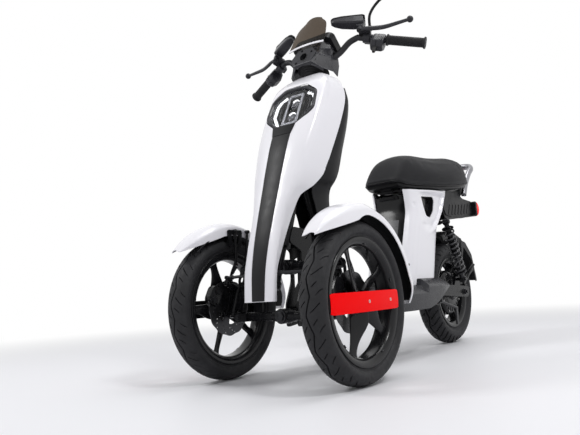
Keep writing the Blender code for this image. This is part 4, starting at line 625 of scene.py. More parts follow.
def leather_look():
    """Coated seat fabric: a leather grain of small cells."""
    look = Look("seat_cover", "seat_leather", (0.010, 0.010, 0.0115), 0.42, Specular_IOR_Level=0.11)
    warp = look.node("ShaderNodeTexNoise", {"Vector": look.place, "Scale": 60.0}).outputs["Color"]
    place = look.mixed("VECTOR", 0.012, look.place, warp)
    grain = look.ranged(look.cells(420.0, place, feature="DISTANCE_TO_EDGE"), 0.0, 1.0, 0.0, 0.25)
    look.tint(8.0, 4.0, 0.6, (0.016, 0.016, 0.018))
    look.gloss(look.ranged(grain, 0.62, 0.46, 0.0, 1.0))
    look.relief(grain, 0.00025, 0.55)
    look.relief(look.noise(35.0), 0.0006, 0.25)
    return look.made


def red_look(name="red_gloss", glow=0.0):
    look = Look(name, "red_plastic", (1.0, 0.0005, 0.002), 0.22, Specular_IOR_Level=0.04)
    look.tint(12.0, 3.0, 0.5, (1.0, 0.001, 0.003))
    look.gloss(look.ranged(look.noise(50.0, 1.0), 0.17, 0.23))
    look.relief(look.noise(50.0, 1.0), 0.00002, 0.3)
    if glow:
        look.set(Emission_Color=(1.0, 0.03, 0.02, 1.0), Emission_Strength=glow)
    return look.made


def glass_look(name, slot, colour, roughness=0.0):
    """A thin clear moulding: light goes nearly straight through, and its coat reflects."""
    look = Look(name, slot, colour, roughness, Transmission_Weight=1.0, IOR=1.03,
                Coat_Weight=0.3, Coat_Roughness=0.03)
    look.tint(8.0, 1.0, 0.3, scaled(colour, 0.93))
    look.gloss(look.ranged(look.noise(40.0, 1.0), roughness, roughness + 0.02))
    return look.made


def lamp_look(name, strength):
    """A lit strip: a diffuser with faint cells in front of its light."""
    look = Look(name, "clear_plastic", (1.0, 1.0, 1.0), 0.3)
    look.set(Emission_Color=(1.0, 1.0, 1.0, 1.0), Emission_Strength=strength)
    look.relief(look.cells(300.0), 0.0003, 0.5)
    look.tint(70.0, 3.0, 0.3, (0.75, 0.8, 0.9))
    return look.made


WHITE = white_look()
DARK = dark_look("dark_moulding", "dark_plastic", (0.008, 0.008, 0.009), 0.33, Specular_IOR_Level=0.11)
GREY = dark_look("grey_moulding", "dark_plastic", (0.025, 0.025, 0.029), 0.28, Specular_IOR_Level=0.20)
# Lighter grey for the cowl's edge ridges: a painted highlight along the facet edges.
EDGE_HIGHLIGHT = dark_look("ridge_painted_highlight", "dark_plastic", (0.075, 0.075, 0.082), 0.30, Specular_IOR_Level=0.3)
STRIP_BLACK = dark_look("strip_gloss", "gloss_black", (0.010, 0.010, 0.011), 0.34, Specular_IOR_Level=0.16)
# Lighter satin grey for the battery front's lower insert: a painted sheen on the gloss black.
SATIN_SHEEN = dark_look("satin_panel_painted_sheen", "gloss_black", (0.052, 0.052, 0.057), 0.30, Specular_IOR_Level=0.45)
GLOSS = gloss_look()
COAT = coat_look("frame_coat", "black_frame", (0.006, 0.006, 0.007), 0.25, Specular_IOR_Level=0.15)
ALLOY_BLACK = coat_look("alloy_coat", "black_alloy", (0.008, 0.008, 0.009), 0.19, Specular_IOR_Level=0.24)
# The spring's dark grey, lighter than the frame's black: partly its coat, partly a painted highlight on the
# coils.
COIL_SHEEN = coat_look("coil_coat_painted_sheen", "black_alloy", (0.030, 0.030, 0.033), 0.20, Specular_IOR_Level=0.5)
ALLOY_GREY = metal_look("alloy_dark", "bare_alloy", (0.030, 0.030, 0.033), 0.32, 0.6, Specular_IOR_Level=0.3)
DISC_STEEL = metal_look("disc_steel", "steel", (0.060, 0.060, 0.064), 0.32, 0.8)
ALLOY = metal_look("alloy_bare", "bare_alloy", (0.33, 0.33, 0.35), 0.32)
STEEL = metal_look("steel_bright", "steel", (0.58, 0.57, 0.56), 0.24)
CHROME = metal_look("mirror_silver", "steel", (0.85, 0.85, 0.88), 0.12)
BOWL = metal_look("reflector", "steel", (0.16, 0.16, 0.17), 0.22)
RED = red_look()
RED_LAMP = red_look("red_lamp", 0.25)
RUBBER = rubber_look("tyre_compound", "tyre_rubber", (0.016, 0.016, 0.0175))
GRIP = rubber_look("grip_compound", "grip_rubber", (0.012, 0.012, 0.013), 1100.0)
LEATHER = leather_look()
CLEAR = glass_look("clear_lens", "clear_plastic", (0.97, 0.98, 1.0))
SMOKE = glass_look("smoke_screen", "smoke_plastic", (0.085, 0.064, 0.046), 0.02)
LED = lamp_look("light_bar", 0.9)


# Places on the steering gear


def column(down, ahead=0.0, across=0.0):
    """A point by its distance down the steering column's axis, and ahead of it."""
    return COLUMN_TOP - UP_THE_RAKE * down + AHEAD * ahead + vec(across, 0, 0)


def column_at(height):
    """How far down the column's axis a height lies."""
    return (COLUMN_TOP.z - height) / math.cos(RAKE)


def kingpin(up, ahead=0.0, across=0.0):
    """A point by its distance up the left kingpin's axis from the axle, and ahead of it."""
    return vec(KINGPIN_X, 0.0, FRONT_AXLE_Z) + UP_THE_RAKE * up + AHEAD * ahead + vec(across, 0, 0)


# The front cover and the headlight

# Rows of (height, half width, front y, rear y)
COVER = (
    (0.255, 0.058, -0.128, -0.117), (0.345, 0.059, -0.119, -0.108), (0.430, 0.060, -0.099, -0.070),
    (0.520, 0.063, -0.070, -0.022), (0.585, 0.075, -0.047, 0.012), (0.620, 0.088, -0.034, 0.070),
    (0.660, 0.098, -0.020, 0.115), (0.760, 0.112, 0.018, 0.165), (0.860, 0.120, 0.067, 0.215),
    (0.940, 0.120, 0.108, 0.250), (0.986, 0.112, 0.135, 0.256), (1.020, 0.092, 0.172, 0.254),
    (1.040, 0.060, 0.200, 0.250),
)
# Shares of the half width and of the way from front to rear
COVER_FORM = ((1.00, 1.00), (0.998, 0.62), (0.995, 0.36), (0.96, 0.19), (0.88, 0.085),
              (0.62, 0.015), (0.30, -0.006), (0.0, -0.012))
COVER_FINE = smooth_table(COVER, 5)
STRIP_FORM = (1.0, 0.9, 0.7, 0.5, 0.25, 0.0, -0.25, -0.5, -0.7, -0.9, -1.0)
STRIP_FOOT = 0.257
STRIP_TOP = 0.828
HEADLIGHT = ((0.045, 0.088), (0.098, 0.048), (0.103, -0.028), (0.090, -0.052), (0.042, -0.092))
LAMP_PLACE = moved(0.0, 0.100, 0.906) @ Matrix.Rotation(math.pi / 2 - math.radians(27.7), 4, "X")
LAMP_OUT = LAMP_PLACE.to_3x3() @ vec(0, 0, 1)


def cover_row(height):
    """Points across the front cover at one height."""
    half, front, rear = (along_table(COVER_FINE, height, i) for i in (1, 2, 3))
    row = mirrored([(half * w, front + (rear - front) * d) for w, d in COVER_FORM])
    return [vec(x, y, height) for x, y in row]


def front_at(x, height):
    """The front cover's outer surface at a place across it."""
    row = spline(cover_row(height), 4)
    for a, b in zip(row[12:-12], row[13:-12]):
        if b.x <= x <= a.x:
            share = (a.x - x) / max(a.x - b.x, 1e-9)
            return a.y + share * (b.y - a.y)
    return row[len(row) // 2].y


def on_cover(half, height, out, dip):
    """A row across the front cover, out from its surface, with a dip at the edges."""
    return [vec(half * w, front_at(half * w, height) - out + dip * w * w, height) for w in STRIP_FORM]


def strip_half(height):
    """The centre strip's half width, less its seam."""
    return 0.014 * (height - 0.255) / 0.55 + 0.007 * ramp(height, 0.796, STRIP_TOP)


def lamp_ring(scale, depth, grow=0.0, corner=0.012):
    """The headlight's outline scaled about its centre, at a depth behind its face."""
    right = [(x * scale + grow, y * scale + math.copysign(grow, y)) for x, y in HEADLIGHT]
    return [LAMP_PLACE @ vec(x, y, -depth) for x, y in rounded(mirrored(right), corner, 3)]


def light_bar(points, wide, deep, depth):
    """A flat bar along a bent line in the headlight's plane."""
    line = [Vector(p) for p in points]
    outer, inner = [], []
    for i, point in enumerate(line):
        before = (point - line[i - 1]).normalized() if i else (line[1] - point).normalized()
        after = (line[i + 1] - point).normalized() if i + 1 < len(line) else before
        across = (before + after).normalized()
        across = Vector((-across.y, across.x)) * wide / 2 / max(0.5, math.sqrt((1 + before.dot(after)) / 2))
        outer.append(tuple(point + across))
        inner.append(tuple(point - across))
    return plate(outer + inner[::-1], deep, LAMP_PLACE @ moved(0, 0, -depth))


def build_front():
    """The front cover, its centre strip and the headlight."""
    rows = [spline(cover_row(z), 2) for z, *_ in COVER_FINE]
    opening = lofted([lamp_ring(1.0, depth, 0.0006) for depth in (0.060, -0.060)])
    body = cut(shell(rows), opening)
    piece("cover_front", "chassis", WHITE, [body], ["front_cover"], bevel=0.0011, sharp=48)

    heights = [STRIP_FOOT + (STRIP_TOP - STRIP_FOOT) * i / 40 for i in range(41)]
    outer = [on_cover(0.024 + strip_half(z), z, 0.0040, 0.0022) for z in heights]
    chin = [on_cover(0.0385 + 0.009 * k / 8, 0.797 + 0.035 * k / 8, 0.0056, 0.0030) for k in range(9)]
    piece("strip_chin", "chassis", DARK, [shell(chin)], bevel=0.0008)
    piece("centre_strip", "chassis", STRIP_BLACK, [shell(outer)], ["cover_strip"], bevel=0.0007)
    lips = []
    for side in BOTH:
        path = [(side * (0.0255 + strip_half(z)), z) for z in heights]
        lips.append(tube([vec(x, front_at(x, z) - 0.0006, z) for x, z in path], 0.0012, 8))
    piece("strip_seams", "chassis", DARK, lips)

    rings = [(0.70, 0.046, 0, 0.006), (0.97, 0.030), (0.995, 0.004), (0.990, -0.004), (0.965, -0.0075),
             (0.90, -0.0075), (0.855, -0.001), (0.845, 0.012),
             (0.80, 0.034, 0, 0.008), (0.66, 0.038, 0, 0.004)]
    bezel = lofted([lamp_ring(*ring) for ring in rings])
    piece("lamp_bezel", "chassis", GREY, [bezel], ["headlight_housing"], bevel=0.0008, sharp=28)
    face = [lamp_ring(*ring) for ring in (
        (0.848, 0.0035), (0.846, -0.001), (0.80, -0.0045), (0.55, -0.0065), (0.2, -0.0070))]
    back = [[p - LAMP_OUT * 0.0022 for p in ring] for ring in reversed(face)]
    piece("lamp_lens", "chassis", CLEAR, [looped(face + back)], ["headlight_lens"], bevel=0.0004)

    bars, guides = [], []
    for s in BOTH:
        bar = [(0.044, 0.064), (0.066, 0.056), (0.079, 0.030), (0.080, -0.016), (0.052, -0.064)]
        bars.append(light_bar([(s * x, y) for x, y in bar], 0.0095, 0.006, 0.012))
        inner = [(0.052, 0.044), (0.060, 0.030), (0.060, -0.012), (0.048, -0.034)]
        guides.append(light_bar([(s * x, y) for x, y in inner], 0.0045, 0.006, 0.016))
        guides.append(light_bar([(s * 0.040, -0.070), (s * 0.068, -0.024)], 0.0030, 0.008, 0.018))
    piece("light_bars", "chassis", LED, bars, bevel=0.0010)
    piece("light_guides", "chassis", ALLOY_GREY, guides, bevel=0.0006)
    outside = rounded(mirrored([(0.033, 0.066), (0.034, -0.074)]), 0.012, 5)
    window = rounded(mirrored([(0.023, 0.055), (0.023, -0.058)]), 0.008, 5)
    surround = plate(outside, 0.012, LAMP_PLACE @ moved(0, 0, -0.012), [window])
    piece("lamp_surround", "chassis", ALLOY, [surround], bevel=0.0018, segments=3)
    profile = [(0.0, 0.0), (0.008, 0.001), (0.014, 0.006), (0.0185, 0.015), (0.0200, 0.015), (0.015, 0.003),
               (0.008, -0.002), (0.0, -0.002)]
    bowls, arcs = [], []
    for up in (0.027, -0.030):
        centre = LAMP_PLACE @ vec(0.0, up, -0.030)
        bowls += [turned(profile, centre, LAMP_OUT, 48, loop=False), ball(centre + LAMP_OUT * 0.008, 0.0075)]
        arc = [math.radians(35 + 11.5 * k) for k in range(11)]
        arc = [(0.0155 * math.cos(t), up + 0.0155 * math.sin(t)) for t in arc]
        arcs.append(light_bar(arc, 0.0032, 0.004, 0.0120))
    piece("lamp_bowls", "chassis", BOWL, bowls)
    piece("lamp_arcs", "chassis", LED, arcs)
    floor = lofted([lamp_ring(0.80, depth, corner=0.006) for depth in (0.036, 0.033)])
    ribs = []
    for x in (-0.068, -0.052, -0.042, 0.042, 0.052, 0.068):
        ribs.append(light_bar([(x, 0.060), (x, -0.062)], 0.0016, 0.010, 0.028))
    piece("lamp_floor", "chassis", DARK, [floor, *ribs])


# The body

# Rows of (height, half width, front y, back y). Above the knee the front follows the front cover.
SHIELD = (
    (0.300, 0.052, 0.232, 0.318), (0.360, 0.046, 0.190, 0.288), (0.450, 0.042, 0.165, 0.262),
    (0.550, 0.045, 0.140, 0.246), (0.620, 0.060, 0.104, 0.240), (0.660, None, None, 0.238),
    (0.760, None, None, 0.262), (0.860, None, None, 0.290), (0.940, None, None, 0.300),
    (0.986, None, None, 0.290),
)
SHIELD_BACK = [(row[0], row[3]) for row in SHIELD]
SHIELD_FORM = ((1.0, 0.0), (1.0, 0.45), (0.90, 0.80), (0.62, 0.97), (0.0, 1.0))


def build_shield():
    """The dark shell behind the front cover, with its storage lid, hook and key lock."""
    foot = DECK_TOP + 0.0014
    rows = []
    for height, half, front, back in SHIELD:
        if front is None:
            half = along_table(COVER, height, 1)
            front = along_table(COVER, height, 3) + 0.0003
        z = height if rows else foot
        left = [(half * w, front + (back - front) * d) for w, d in SHIELD_FORM]
        rows.append([vec(x, y, z) for x, y in mirrored(left)])
    piece("shield", "chassis", DARK, [shell(refine(rows, 4, 3))], ["leg_shield"], bevel=0.0010, sharp=45)
    lid = []
    for i in range(13):
        z = 0.690 + 0.225 * i / 12
        back = along_table(SHIELD_BACK, z) + 0.0016
        half = 0.062 + 0.010 * math.sin(math.pi * i / 12)
        lid.append([vec(half * w, back - 0.012 * abs(w) ** 3, z) for w in [1 - k / 6 for k in range(13)]])
    piece("storage_lid", "chassis", GREY, [shell(lid, inwards=False)], bevel=0.0012, sharp=45)
    at = vec(0.0, along_table(SHIELD_BACK, 0.940) + 0.002, 0.940)
    step = vec(0, 0.004, 0)
    lock = [rod(at - step, at + step, 0.013, 40), block((0.003, 0.004, 0.012), at + step)]
    piece("key_lock", "chassis", STEEL, lock, bevel=0.0008)
    hook = [(0.239, 0.640), (0.261, 0.636), (0.273, 0.646), (0.275, 0.662)]
    path = spline([(0.0, y, z) for y, z in hook], 6)
    piece("bag_hook", "chassis", DARK, [tube(path, 0.0042, 16), ball(path[-1], 0.0055, 16)])


# Rows of (y, half width, lowest z, 1 where the deck is raised)
DECK = (
    (0.262, 0.085, 0.225, 0), (0.300, 0.104, 0.208, 0), (0.360, 0.130, 0.192, 0), (0.430, 0.148, 0.184, 0),
    (0.560, 0.155, 0.181, 0), (0.714, 0.155, 0.183, 0), (0.727, 0.155, 0.184, 1), (0.800, 0.153, 0.202, 1),
    (0.880, 0.150, 0.236, 1), (0.948, 0.142, 0.262, 1),
)
DECK_RISE = 0.025
MAT_Y = 0.4825


def build_deck():
    """The footboard with its rubber mats."""
    rows = []
    for y, half, low, raised in DECK:
        top = DECK_TOP + DECK_RISE * raised
        left = [(half, low), (half + 0.001, top - 0.033), (half - 0.003, top - 0.026),
                (half - 0.031, top - 0.003), (half - 0.038, top), (half * 0.4, top), (0.0, top)]
        rows.append([vec(x, y, z) for x, z in mirrored(left)])
    tray = shell(refine(rows[:6], 4) + refine(rows[6:], 4), 0.004, inwards=False)
    well = block((0.150, 0.330, 0.200), (0.0, 0.835, 0.300))
    neck = block((0.046, 0.090, 0.100), (0.0, 0.272, 0.275))
    piece("footboard_tray", "chassis", GREY, [cut(tray, well, neck)], ["footboard"], bevel=0.0009, sharp=24)
    mats = [block((0.205, 0.275, 0.0036), (0.0, MAT_Y, DECK_TOP - 0.0008))]
    for side in BOTH:
        for k in range(9):
            at = (side * (0.008 + k * 0.0110), MAT_Y, DECK_TOP + 0.0014)
            mats.append(block((0.0056, 0.262, 0.0014), at))
    piece("foot_mat", "chassis", GRIP, mats, bevel=0.0008)


# The battery box, from the side: (z, y) of its front and rear edges, and (y, z) of the seat's base
BOX_FRONT = ((0.275, 0.640), (0.434, 0.685), (0.534, 0.720), (0.595, 0.740), (0.636, 0.739), (0.690, 0.729))
BOX_REAR = ((0.275, 0.905), (0.313, 0.912), (0.485, 0.962), (0.530, 0.982), (0.626, 1.075), (0.700, 1.115),
            (0.730, 1.060))
SEAT_BASE = ((0.665, 0.700), (0.740, 0.690), (0.820, 0.692), (0.920, 0.698), (1.020, 0.705), (1.120, 0.715),
             (1.220, 0.727), (1.300, 0.742), (1.360, 0.765), (1.390, 0.785))
# Half width by the share of the way from front to rear
BOX_FORM = ((0.0, 0.070), (0.05, 0.086), (0.16, 0.098), (0.26, 0.103), (0.30, 0.105), (0.62, 0.109),
            (0.92, 0.103), (1.0, 0.088))
HANDLE_HOLE = ((0.838, 0.648), (0.958, 0.655), (0.968, 0.640), (0.950, 0.590), (0.914, 0.560), (0.880, 0.566))
RECESS_EDGE = ((0.790, 0.664), (1.036, 0.675), (1.050, 0.660), (1.020, 0.600), (0.972, 0.547), (0.926, 0.516),
               (0.850, 0.484), (0.770, 0.490))
COVER_ROWS = 120


def cover_relief(y, z):
    """How far the battery cover's recess, ridge and dimple move its wall outwards."""
    deep = inside((y, z), RECESS_EDGE)
    recess = 0.0125 * ramp(y, 0.795, 0.880) * ramp(z, 0.492, 0.535) * ramp(deep, -0.001, 0.0065)
    ridge = 0.0030 * ramp(deep, -0.016, -0.003) * ramp(-deep, 0.0, 0.003) * ramp(y, 0.850, 0.920)
    dimple = 0.0022 * ramp(0.011 - math.hypot(y - 0.775, z - 0.610), 0.0, 0.004)
    return ridge - recess - dimple


def build_battery():
    """The battery covers with their handle holes, the pack and the controller."""
    fine_front, fine_rear = smooth_pairs(BOX_FRONT, 5), smooth_pairs(BOX_REAR, 5)
    form = smooth_pairs(BOX_FORM, 15)
    rows = []
    for share in [step / COVER_ROWS for step in range(COVER_ROWS + 1)]:
        guess = 0.28 + share * 0.41
        front, rear = along_table(fine_front, guess), along_table(fine_rear, guess)
        row = []
        for back, out in form:
            y = front + back * (rear - front)
            low = DECK_TOP + 0.0014 + DECK_RISE * ramp(y, 0.712, 0.722) * (1 - share) ** 8
            z = low + share * (along_table(SEAT_BASE, y) - 0.0185 - low)
            row.append(vec(out + cover_relief(y, z), y, z))
        rows.append(row)
    window = plate(rounded(HANDLE_HOLE, 0.010), 0.120, side_plane(0.110))
    wall = cut(shell(rows), window)
    pair("battery_side", "chassis", WHITE, [wall], ["battery_cover"], bevel=0.0009, sharp=48)
    lip = []
    for x, grow in ((0.0945, -0.001), (0.0765, -0.004), (0.0765, -0.0055), (0.0945, -0.0025)):
        rim_points = [Vector(p) for p in rounded(HANDLE_HOLE, 0.012)]
        lip.append([vec(x, *(p + (p - Vector((0.92, 0.61))).normalized() * grow)) for p in rim_points])
    pair("handle_lip", "chassis", DARK, [looped(lip)])
    pocket = rounded([(0.812, 0.668), (0.998, 0.668), (0.990, 0.540), (0.840, 0.540)], 0.012)
    pair("handle_pocket", "chassis", GLOSS, [plate(pocket, 0.0022, side_plane(0.0742))], bevel=0.0006)

    whole, sheen_insert = [], []
    half = 0.070 - PANEL - 0.0028
    for step in range(41):
        z = DECK_TOP + 0.0006 + step / 40 * (0.648 - DECK_TOP)
        y = along_table(fine_front, z) + 0.007
        whole.append([vec(half * w, y - 0.005 * (1 - w * w), z) for w in [1 - k / 10 for k in range(21)]])
        # The lower insert stands slightly proud; its lighter grey is a painted sheen.
        if z < 0.548:
            sheen_insert.append([p - vec(0, 0.0016, 0) for p in whole[-1][3:18]])
    piece("battery_front", "chassis", GLOSS, [shell(whole)], ["battery_cover_front"], bevel=0.0008, sharp=45)
    piece("battery_front_sheen_insert", "chassis", SATIN_SHEEN, [shell(sheen_insert, 0.002)], bevel=0.0008, sharp=45)
    y = along_table(fine_front, 0.640)
    latch = [block((0.088, 0.012, 0.016), (0.0, y - 0.002, 0.642)),
             block((0.060, 0.005, 0.010), (0.0, y - 0.0095, 0.641))]
    piece("seat_latch", "chassis", DARK, latch, bevel=0.0018, segments=3)

    floor = RAIL_Z + 0.0123
    y = SWING_Y - 0.086
    pack = [block((0.096, 0.096, 0.350), (0.0, y, floor + 0.175))]
    pack += [block((0.098, 0.098, 0.004), (0.0, y, floor + h)) for h in (0.020, 0.330)]
    grip = [(-0.029, 0.342), (-0.026, 0.366), (0.028, 0.366), (0.031, 0.342)]
    pack.append(tube(spline([(0, y + back, floor + up) for back, up in grip], 6), 0.006))
    piece("battery", "chassis", DARK, pack, ["battery_pack"], bevel=0.0030, segments=3)
    y = SWING_Y - 0.205
    case = [block((0.092, 0.080, 0.016), (0.0, y, floor + 0.008)),
            block((0.080, 0.074, 0.060), (0.0, y, floor + 0.044))]
    case += [block((0.092, 0.003, 0.120), (0.0, y + (i - 4) * 0.009, floor + 0.070)) for i in range(9)]
    piece("controller", "chassis", ALLOY, case, ["motor_controller"], bevel=0.0006)


TAIL_OUTLINE = (
    (1.098, 0.6975), (1.240, 0.7095), (1.330, 0.729), (1.420, 0.765), (1.428, 0.752), (1.330, 0.690),
    (1.372, 0.683), (1.470, 0.678), (1.470, 0.605), (1.340, 0.586), (1.200, 0.574), (1.130, 0.578),
    (1.100, 0.620),
)
TAIL_PANEL = (
    (1.120, 0.690), (1.240, 0.700), (1.318, 0.716), (1.322, 0.694), (1.368, 0.675), (1.455, 0.668),
    (1.455, 0.618), (1.335, 0.597), (1.200, 0.585), (1.138, 0.590), (1.112, 0.625),
)
TAIL_RIBS = ((1.13, 0.585), (1.2, 0.582), (1.34, 0.594), (1.47, 0.612))
RAIL_FOOT = Vector((0.0, 1.347, 0.706))
GRAB_RAIL = (
    (0.0865, 1.345, 0.700), (0.0880, 1.375, 0.758), (0.0895, 1.425, 0.816), (0.088, 1.467, 0.846),
    (0.066, 1.497, 0.862), (0.030, 1.504, 0.867), (0.0, 1.505, 0.868),
)
LAMP_PROFILE = ((0.0, 0.092), (0.026, 0.092), (0.033, 0.089), (0.037, 0.084))


def build_tail():
    """The tail piece with its ribs, the lamp and the grab rail."""
    body = plate(rounded(TAIL_OUTLINE, 0.010), 0.142, side_plane(0.0))
    hollow = block((0.132, 0.300, 0.060), (0.0, 1.270, 0.596))
    piece("tail", "chassis", DARK, [cut(body, hollow)], ["tail_cover"], bevel=0.0030, segments=3)
    flanks = [plate(rounded(TAIL_PANEL, 0.010), 0.004, side_plane(s * 0.0730)) for s in BOTH]
    piece("tail_flanks", "chassis", DARK, flanks, bevel=0.0016, segments=3)
    slant = Matrix.Rotation(math.radians(-24), 4, "X")
    ribs = []
    for y in [1.180 + i * 0.037 for i in range(7)]:
        z = along_table(TAIL_RIBS, y) + 0.034
        ribs += [block((0.0030, 0.010, 0.052), (s * 0.0755, y, z), slant) for s in BOTH]
    piece("tail_ribs", "chassis", DARK, ribs, bevel=0.0010)

    rail = [tube(spline(mirrored(GRAB_RAIL), 6), 0.0120, 24, flat=1.35, normal=vec(0.0, 0.70, -0.71))]
    screws = []
    for s in BOTH:
        end = RAIL_FOOT + X_AXIS * s * 0.0915
        rail.append(rod(RAIL_FOOT + X_AXIS * s * 0.0757, end, 0.0125))
        screws += socket_screw(end, (s, 0, 0), 0.006)
    piece("grab_bar", "chassis", ALLOY, rail, ["grab_rail"], bevel=0.0012)
    piece("grab_screws", "chassis", ALLOY_GREY, screws, bevel=0.0004)

    def about_lamp(profile, loop=False):
        return turned(profile, (0.0, LAMP_Y, LAMP_Z), X_AXIS, 64, loop)

    profile = [(r, -h) for r, h in LAMP_PROFILE] + [(r, h) for r, h in reversed(LAMP_PROFILE)]
    keep = block((0.300, 0.060, 0.200), (0.0, 1.4403, LAMP_Z))
    hood = about_lamp([(r + 0.0012 if r else r, h * 1.012) for r, h in profile])
    ends = [block((0.300, 0.060, 0.200), (0.0, 1.4400, LAMP_Z)),
            block((0.300, 0.100, 0.200), (0.0, 1.5380, LAMP_Z))]
    piece("rear_lamp_hood", "chassis", DARK, [cut(hood, *ends)], bevel=0.0006)
    piece("rear_lamp", "chassis", RED_LAMP, [cut(about_lamp(profile), keep)], ["tail_lamp"], bevel=0.0010)
    bands = []
    for h in (-0.072, -0.036, -0.0011, 0.034, 0.070):
        band = [(0.0365, h), (0.0379, h), (0.0379, h + 0.0022), (0.0365, h + 0.0022)]
        bands.append(about_lamp(band, loop=True))
    piece("rear_lamp_bands", "chassis", RED, [cut(joined(bands), keep)])


# The seat

# Rows of (y, half width, top z)
SEAT = (
    (0.664, 0.056, 0.712), (0.688, 0.078, 0.744), (0.728, 0.090, 0.790), (0.772, 0.097, 0.822),
    (0.830, 0.105, 0.837), (0.920, 0.118, 0.841), (1.020, 0.128, 0.846), (1.120, 0.134, 0.857),
    (1.220, 0.132, 0.871), (1.300, 0.122, 0.876), (1.360, 0.100, 0.868), (1.390, 0.066, 0.848),
)
SEAT_FORM = mirrored([(1.0, 0.0), (1.01, 0.26), (0.95, 0.60), (0.74, 0.88), (0.0, 1.0)])
CUSHION_VOXEL = 0.0055
CUSHION_SHRINK = 0.0035
CUSHION_CAP = 0.007
CLOTH_FRAMES = 20


def filled(shape):
    """A cushion blown up like one of fabric: it starts smaller, and no point moves more than the
    cap. Its flat base stays on the pan."""
    remesh = dict(mode="VOXEL", voxel_size=CUSHION_VOXEL, use_smooth_shade=True)
    mesh = evaluated(shape, ("REMESH", remesh))
    held_by = []
    for vertex in mesh.vertices:
        rise = ramp(vertex.co.z - along_table(SEAT_BASE, vertex.co.y), 0.002, 0.030)
        vertex.co -= vertex.normal * CUSHION_SHRINK * rise
        held_by.append(1.0 - rise)
    start = [v.co.copy() for v in mesh.vertices]
    pad = placed("pad", mesh)
    held = pad.vertex_groups.new(name="held")
    for index, weight in enumerate(held_by):
        if weight > 0.0:
            held.add([index], weight, "REPLACE")
    cloth = pad.modifiers.new("cloth", "CLOTH")
    cloth.settings.quality = 4
    cloth.settings.mass = 0.3
    cloth.settings.use_pressure = True
    cloth.settings.uniform_pressure_force = 4.0
    cloth.settings.effector_weights.gravity = 0.0
    cloth.settings.vertex_group_mass = "held"
    for frame_number in range(1, CLOTH_FRAMES + 1):
        bpy.context.scene.frame_set(frame_number)
    blown = bpy.data.meshes.new_from_object(pad.evaluated_get(bpy.context.evaluated_depsgraph_get()))
    bpy.context.scene.frame_set(1)
    bpy.data.objects.remove(pad)
    for vertex, before in zip(blown.vertices, start):
        move = vertex.co - before
        if move.length > CUSHION_CAP:
            vertex.co = before + move.normalized() * CUSHION_CAP
    return blown


def build_seat():
    """The cushion, its welt, the pan and the hinge."""
    rows, pan, edge = [], [], []
    for y, half, top in SEAT:
        base = along_table(SEAT_BASE, y)
        rows.append([vec(half * w, y, base + (top - base) * h) for w, h in SEAT_FORM])
        edge.append((half + 0.0002, y, base + 0.0016))
        if 0.68 < y < 1.38:
            wide = half - 0.006
            section = mirrored([(wide, 0.0003), (wide, 0.010), (wide - 0.01, 0.014)])
            pan.append([vec(x, y, base - d) for x, d in section])
    rows = refine(rows, 5, 5)
    cushion = lofted([row + [row[0] * 0.5 + row[-1] * 0.5] for row in rows])
    seat = piece("cushion", "seat", LEATHER, [filled(cushion)], ["seat_cushion"], sharp=60)
    round_out = seat.modifiers.new("smooth", "SUBSURF")
    round_out.levels = 1
    round_out.render_levels = 1
    loop = mirrored(spline(edge, 5))
    piece("cushion_welt", "seat", DARK, [tube([*loop, loop[0]], 0.0018, 10)])
    hinge = vec(0.0, *SEAT_HINGE)
    parts = [lofted(refine(pan, 3))]
    for s in BOTH:
        x, y = s * 0.060, SWING_Y + 0.095
        parts.append(rod((x, y, 0.6925), (x, y, 0.699), 0.009))
    parts.append(bore_rod(hinge - X_AXIS * 0.030, hinge + X_AXIS * 0.030, 0.008, 0.0044))
    parts.append(block((0.050, 0.010, 0.014), hinge + vec(0, 0, 0.010)))
    piece("pan", "seat", DARK, parts, ["seat_pan"], bevel=0.0010)


# Front end


def build_arm(name, body, node, y, z):
    """A tilting arm: a bush, a tube each way, and a fork with a bolt at each end."""
    half = ARM_DEPTH / 2
    fork = ARM_REACH - 0.026
    axis = vec(0, 1, 0)
    shapes = [bore_rod((0, y - half, z), (0, y + half, z), 0.024, 0.0104, 48),
              rod((-fork, y, z), (fork, y, z), 0.0145)]
    bolts = []
    for s in BOTH:
        x = s * ARM_REACH
        shapes.append(rod((s * 0.022, y, z), (s * 0.046, y, z), 0.0205, 36, 0.0150))
        shapes.append(block((0.016, ARM_DEPTH, 0.028), (s * (fork - 0.002), y, z)))
        for edge in (y - half + 0.004, y + half - 0.004):
            shapes.append(rod((x, edge - 0.004, z), (x, edge + 0.004, z), 0.016))
            shapes.append(block((0.028, 0.0078, 0.026), (s * (ARM_REACH - 0.016), edge, z)))
        bolts.append(rod((x, y - half, z), (x, y + half, z), 0.0058))
        for end in BOTH:
            bolts += hex_bolt((x, y + end * half, z), axis * end, 0.0088, 0.0055)
    piece(name, body, COAT, shapes, [node], bevel=0.0012)
    piece(name + "_bolts", body, ALLOY_GREY, bolts, bevel=0.0004)
    seals = []
    for h in (-half - 0.0012, half - 0.0006):
        ring = [(0.0108, h), (0.0200, h), (0.0200, h + 0.0016), (0.0108, h + 0.0016)]
        seals.append(turned(ring, (0, y, z), axis, 40))
    piece(name + "_seals", body, GRIP, seals)


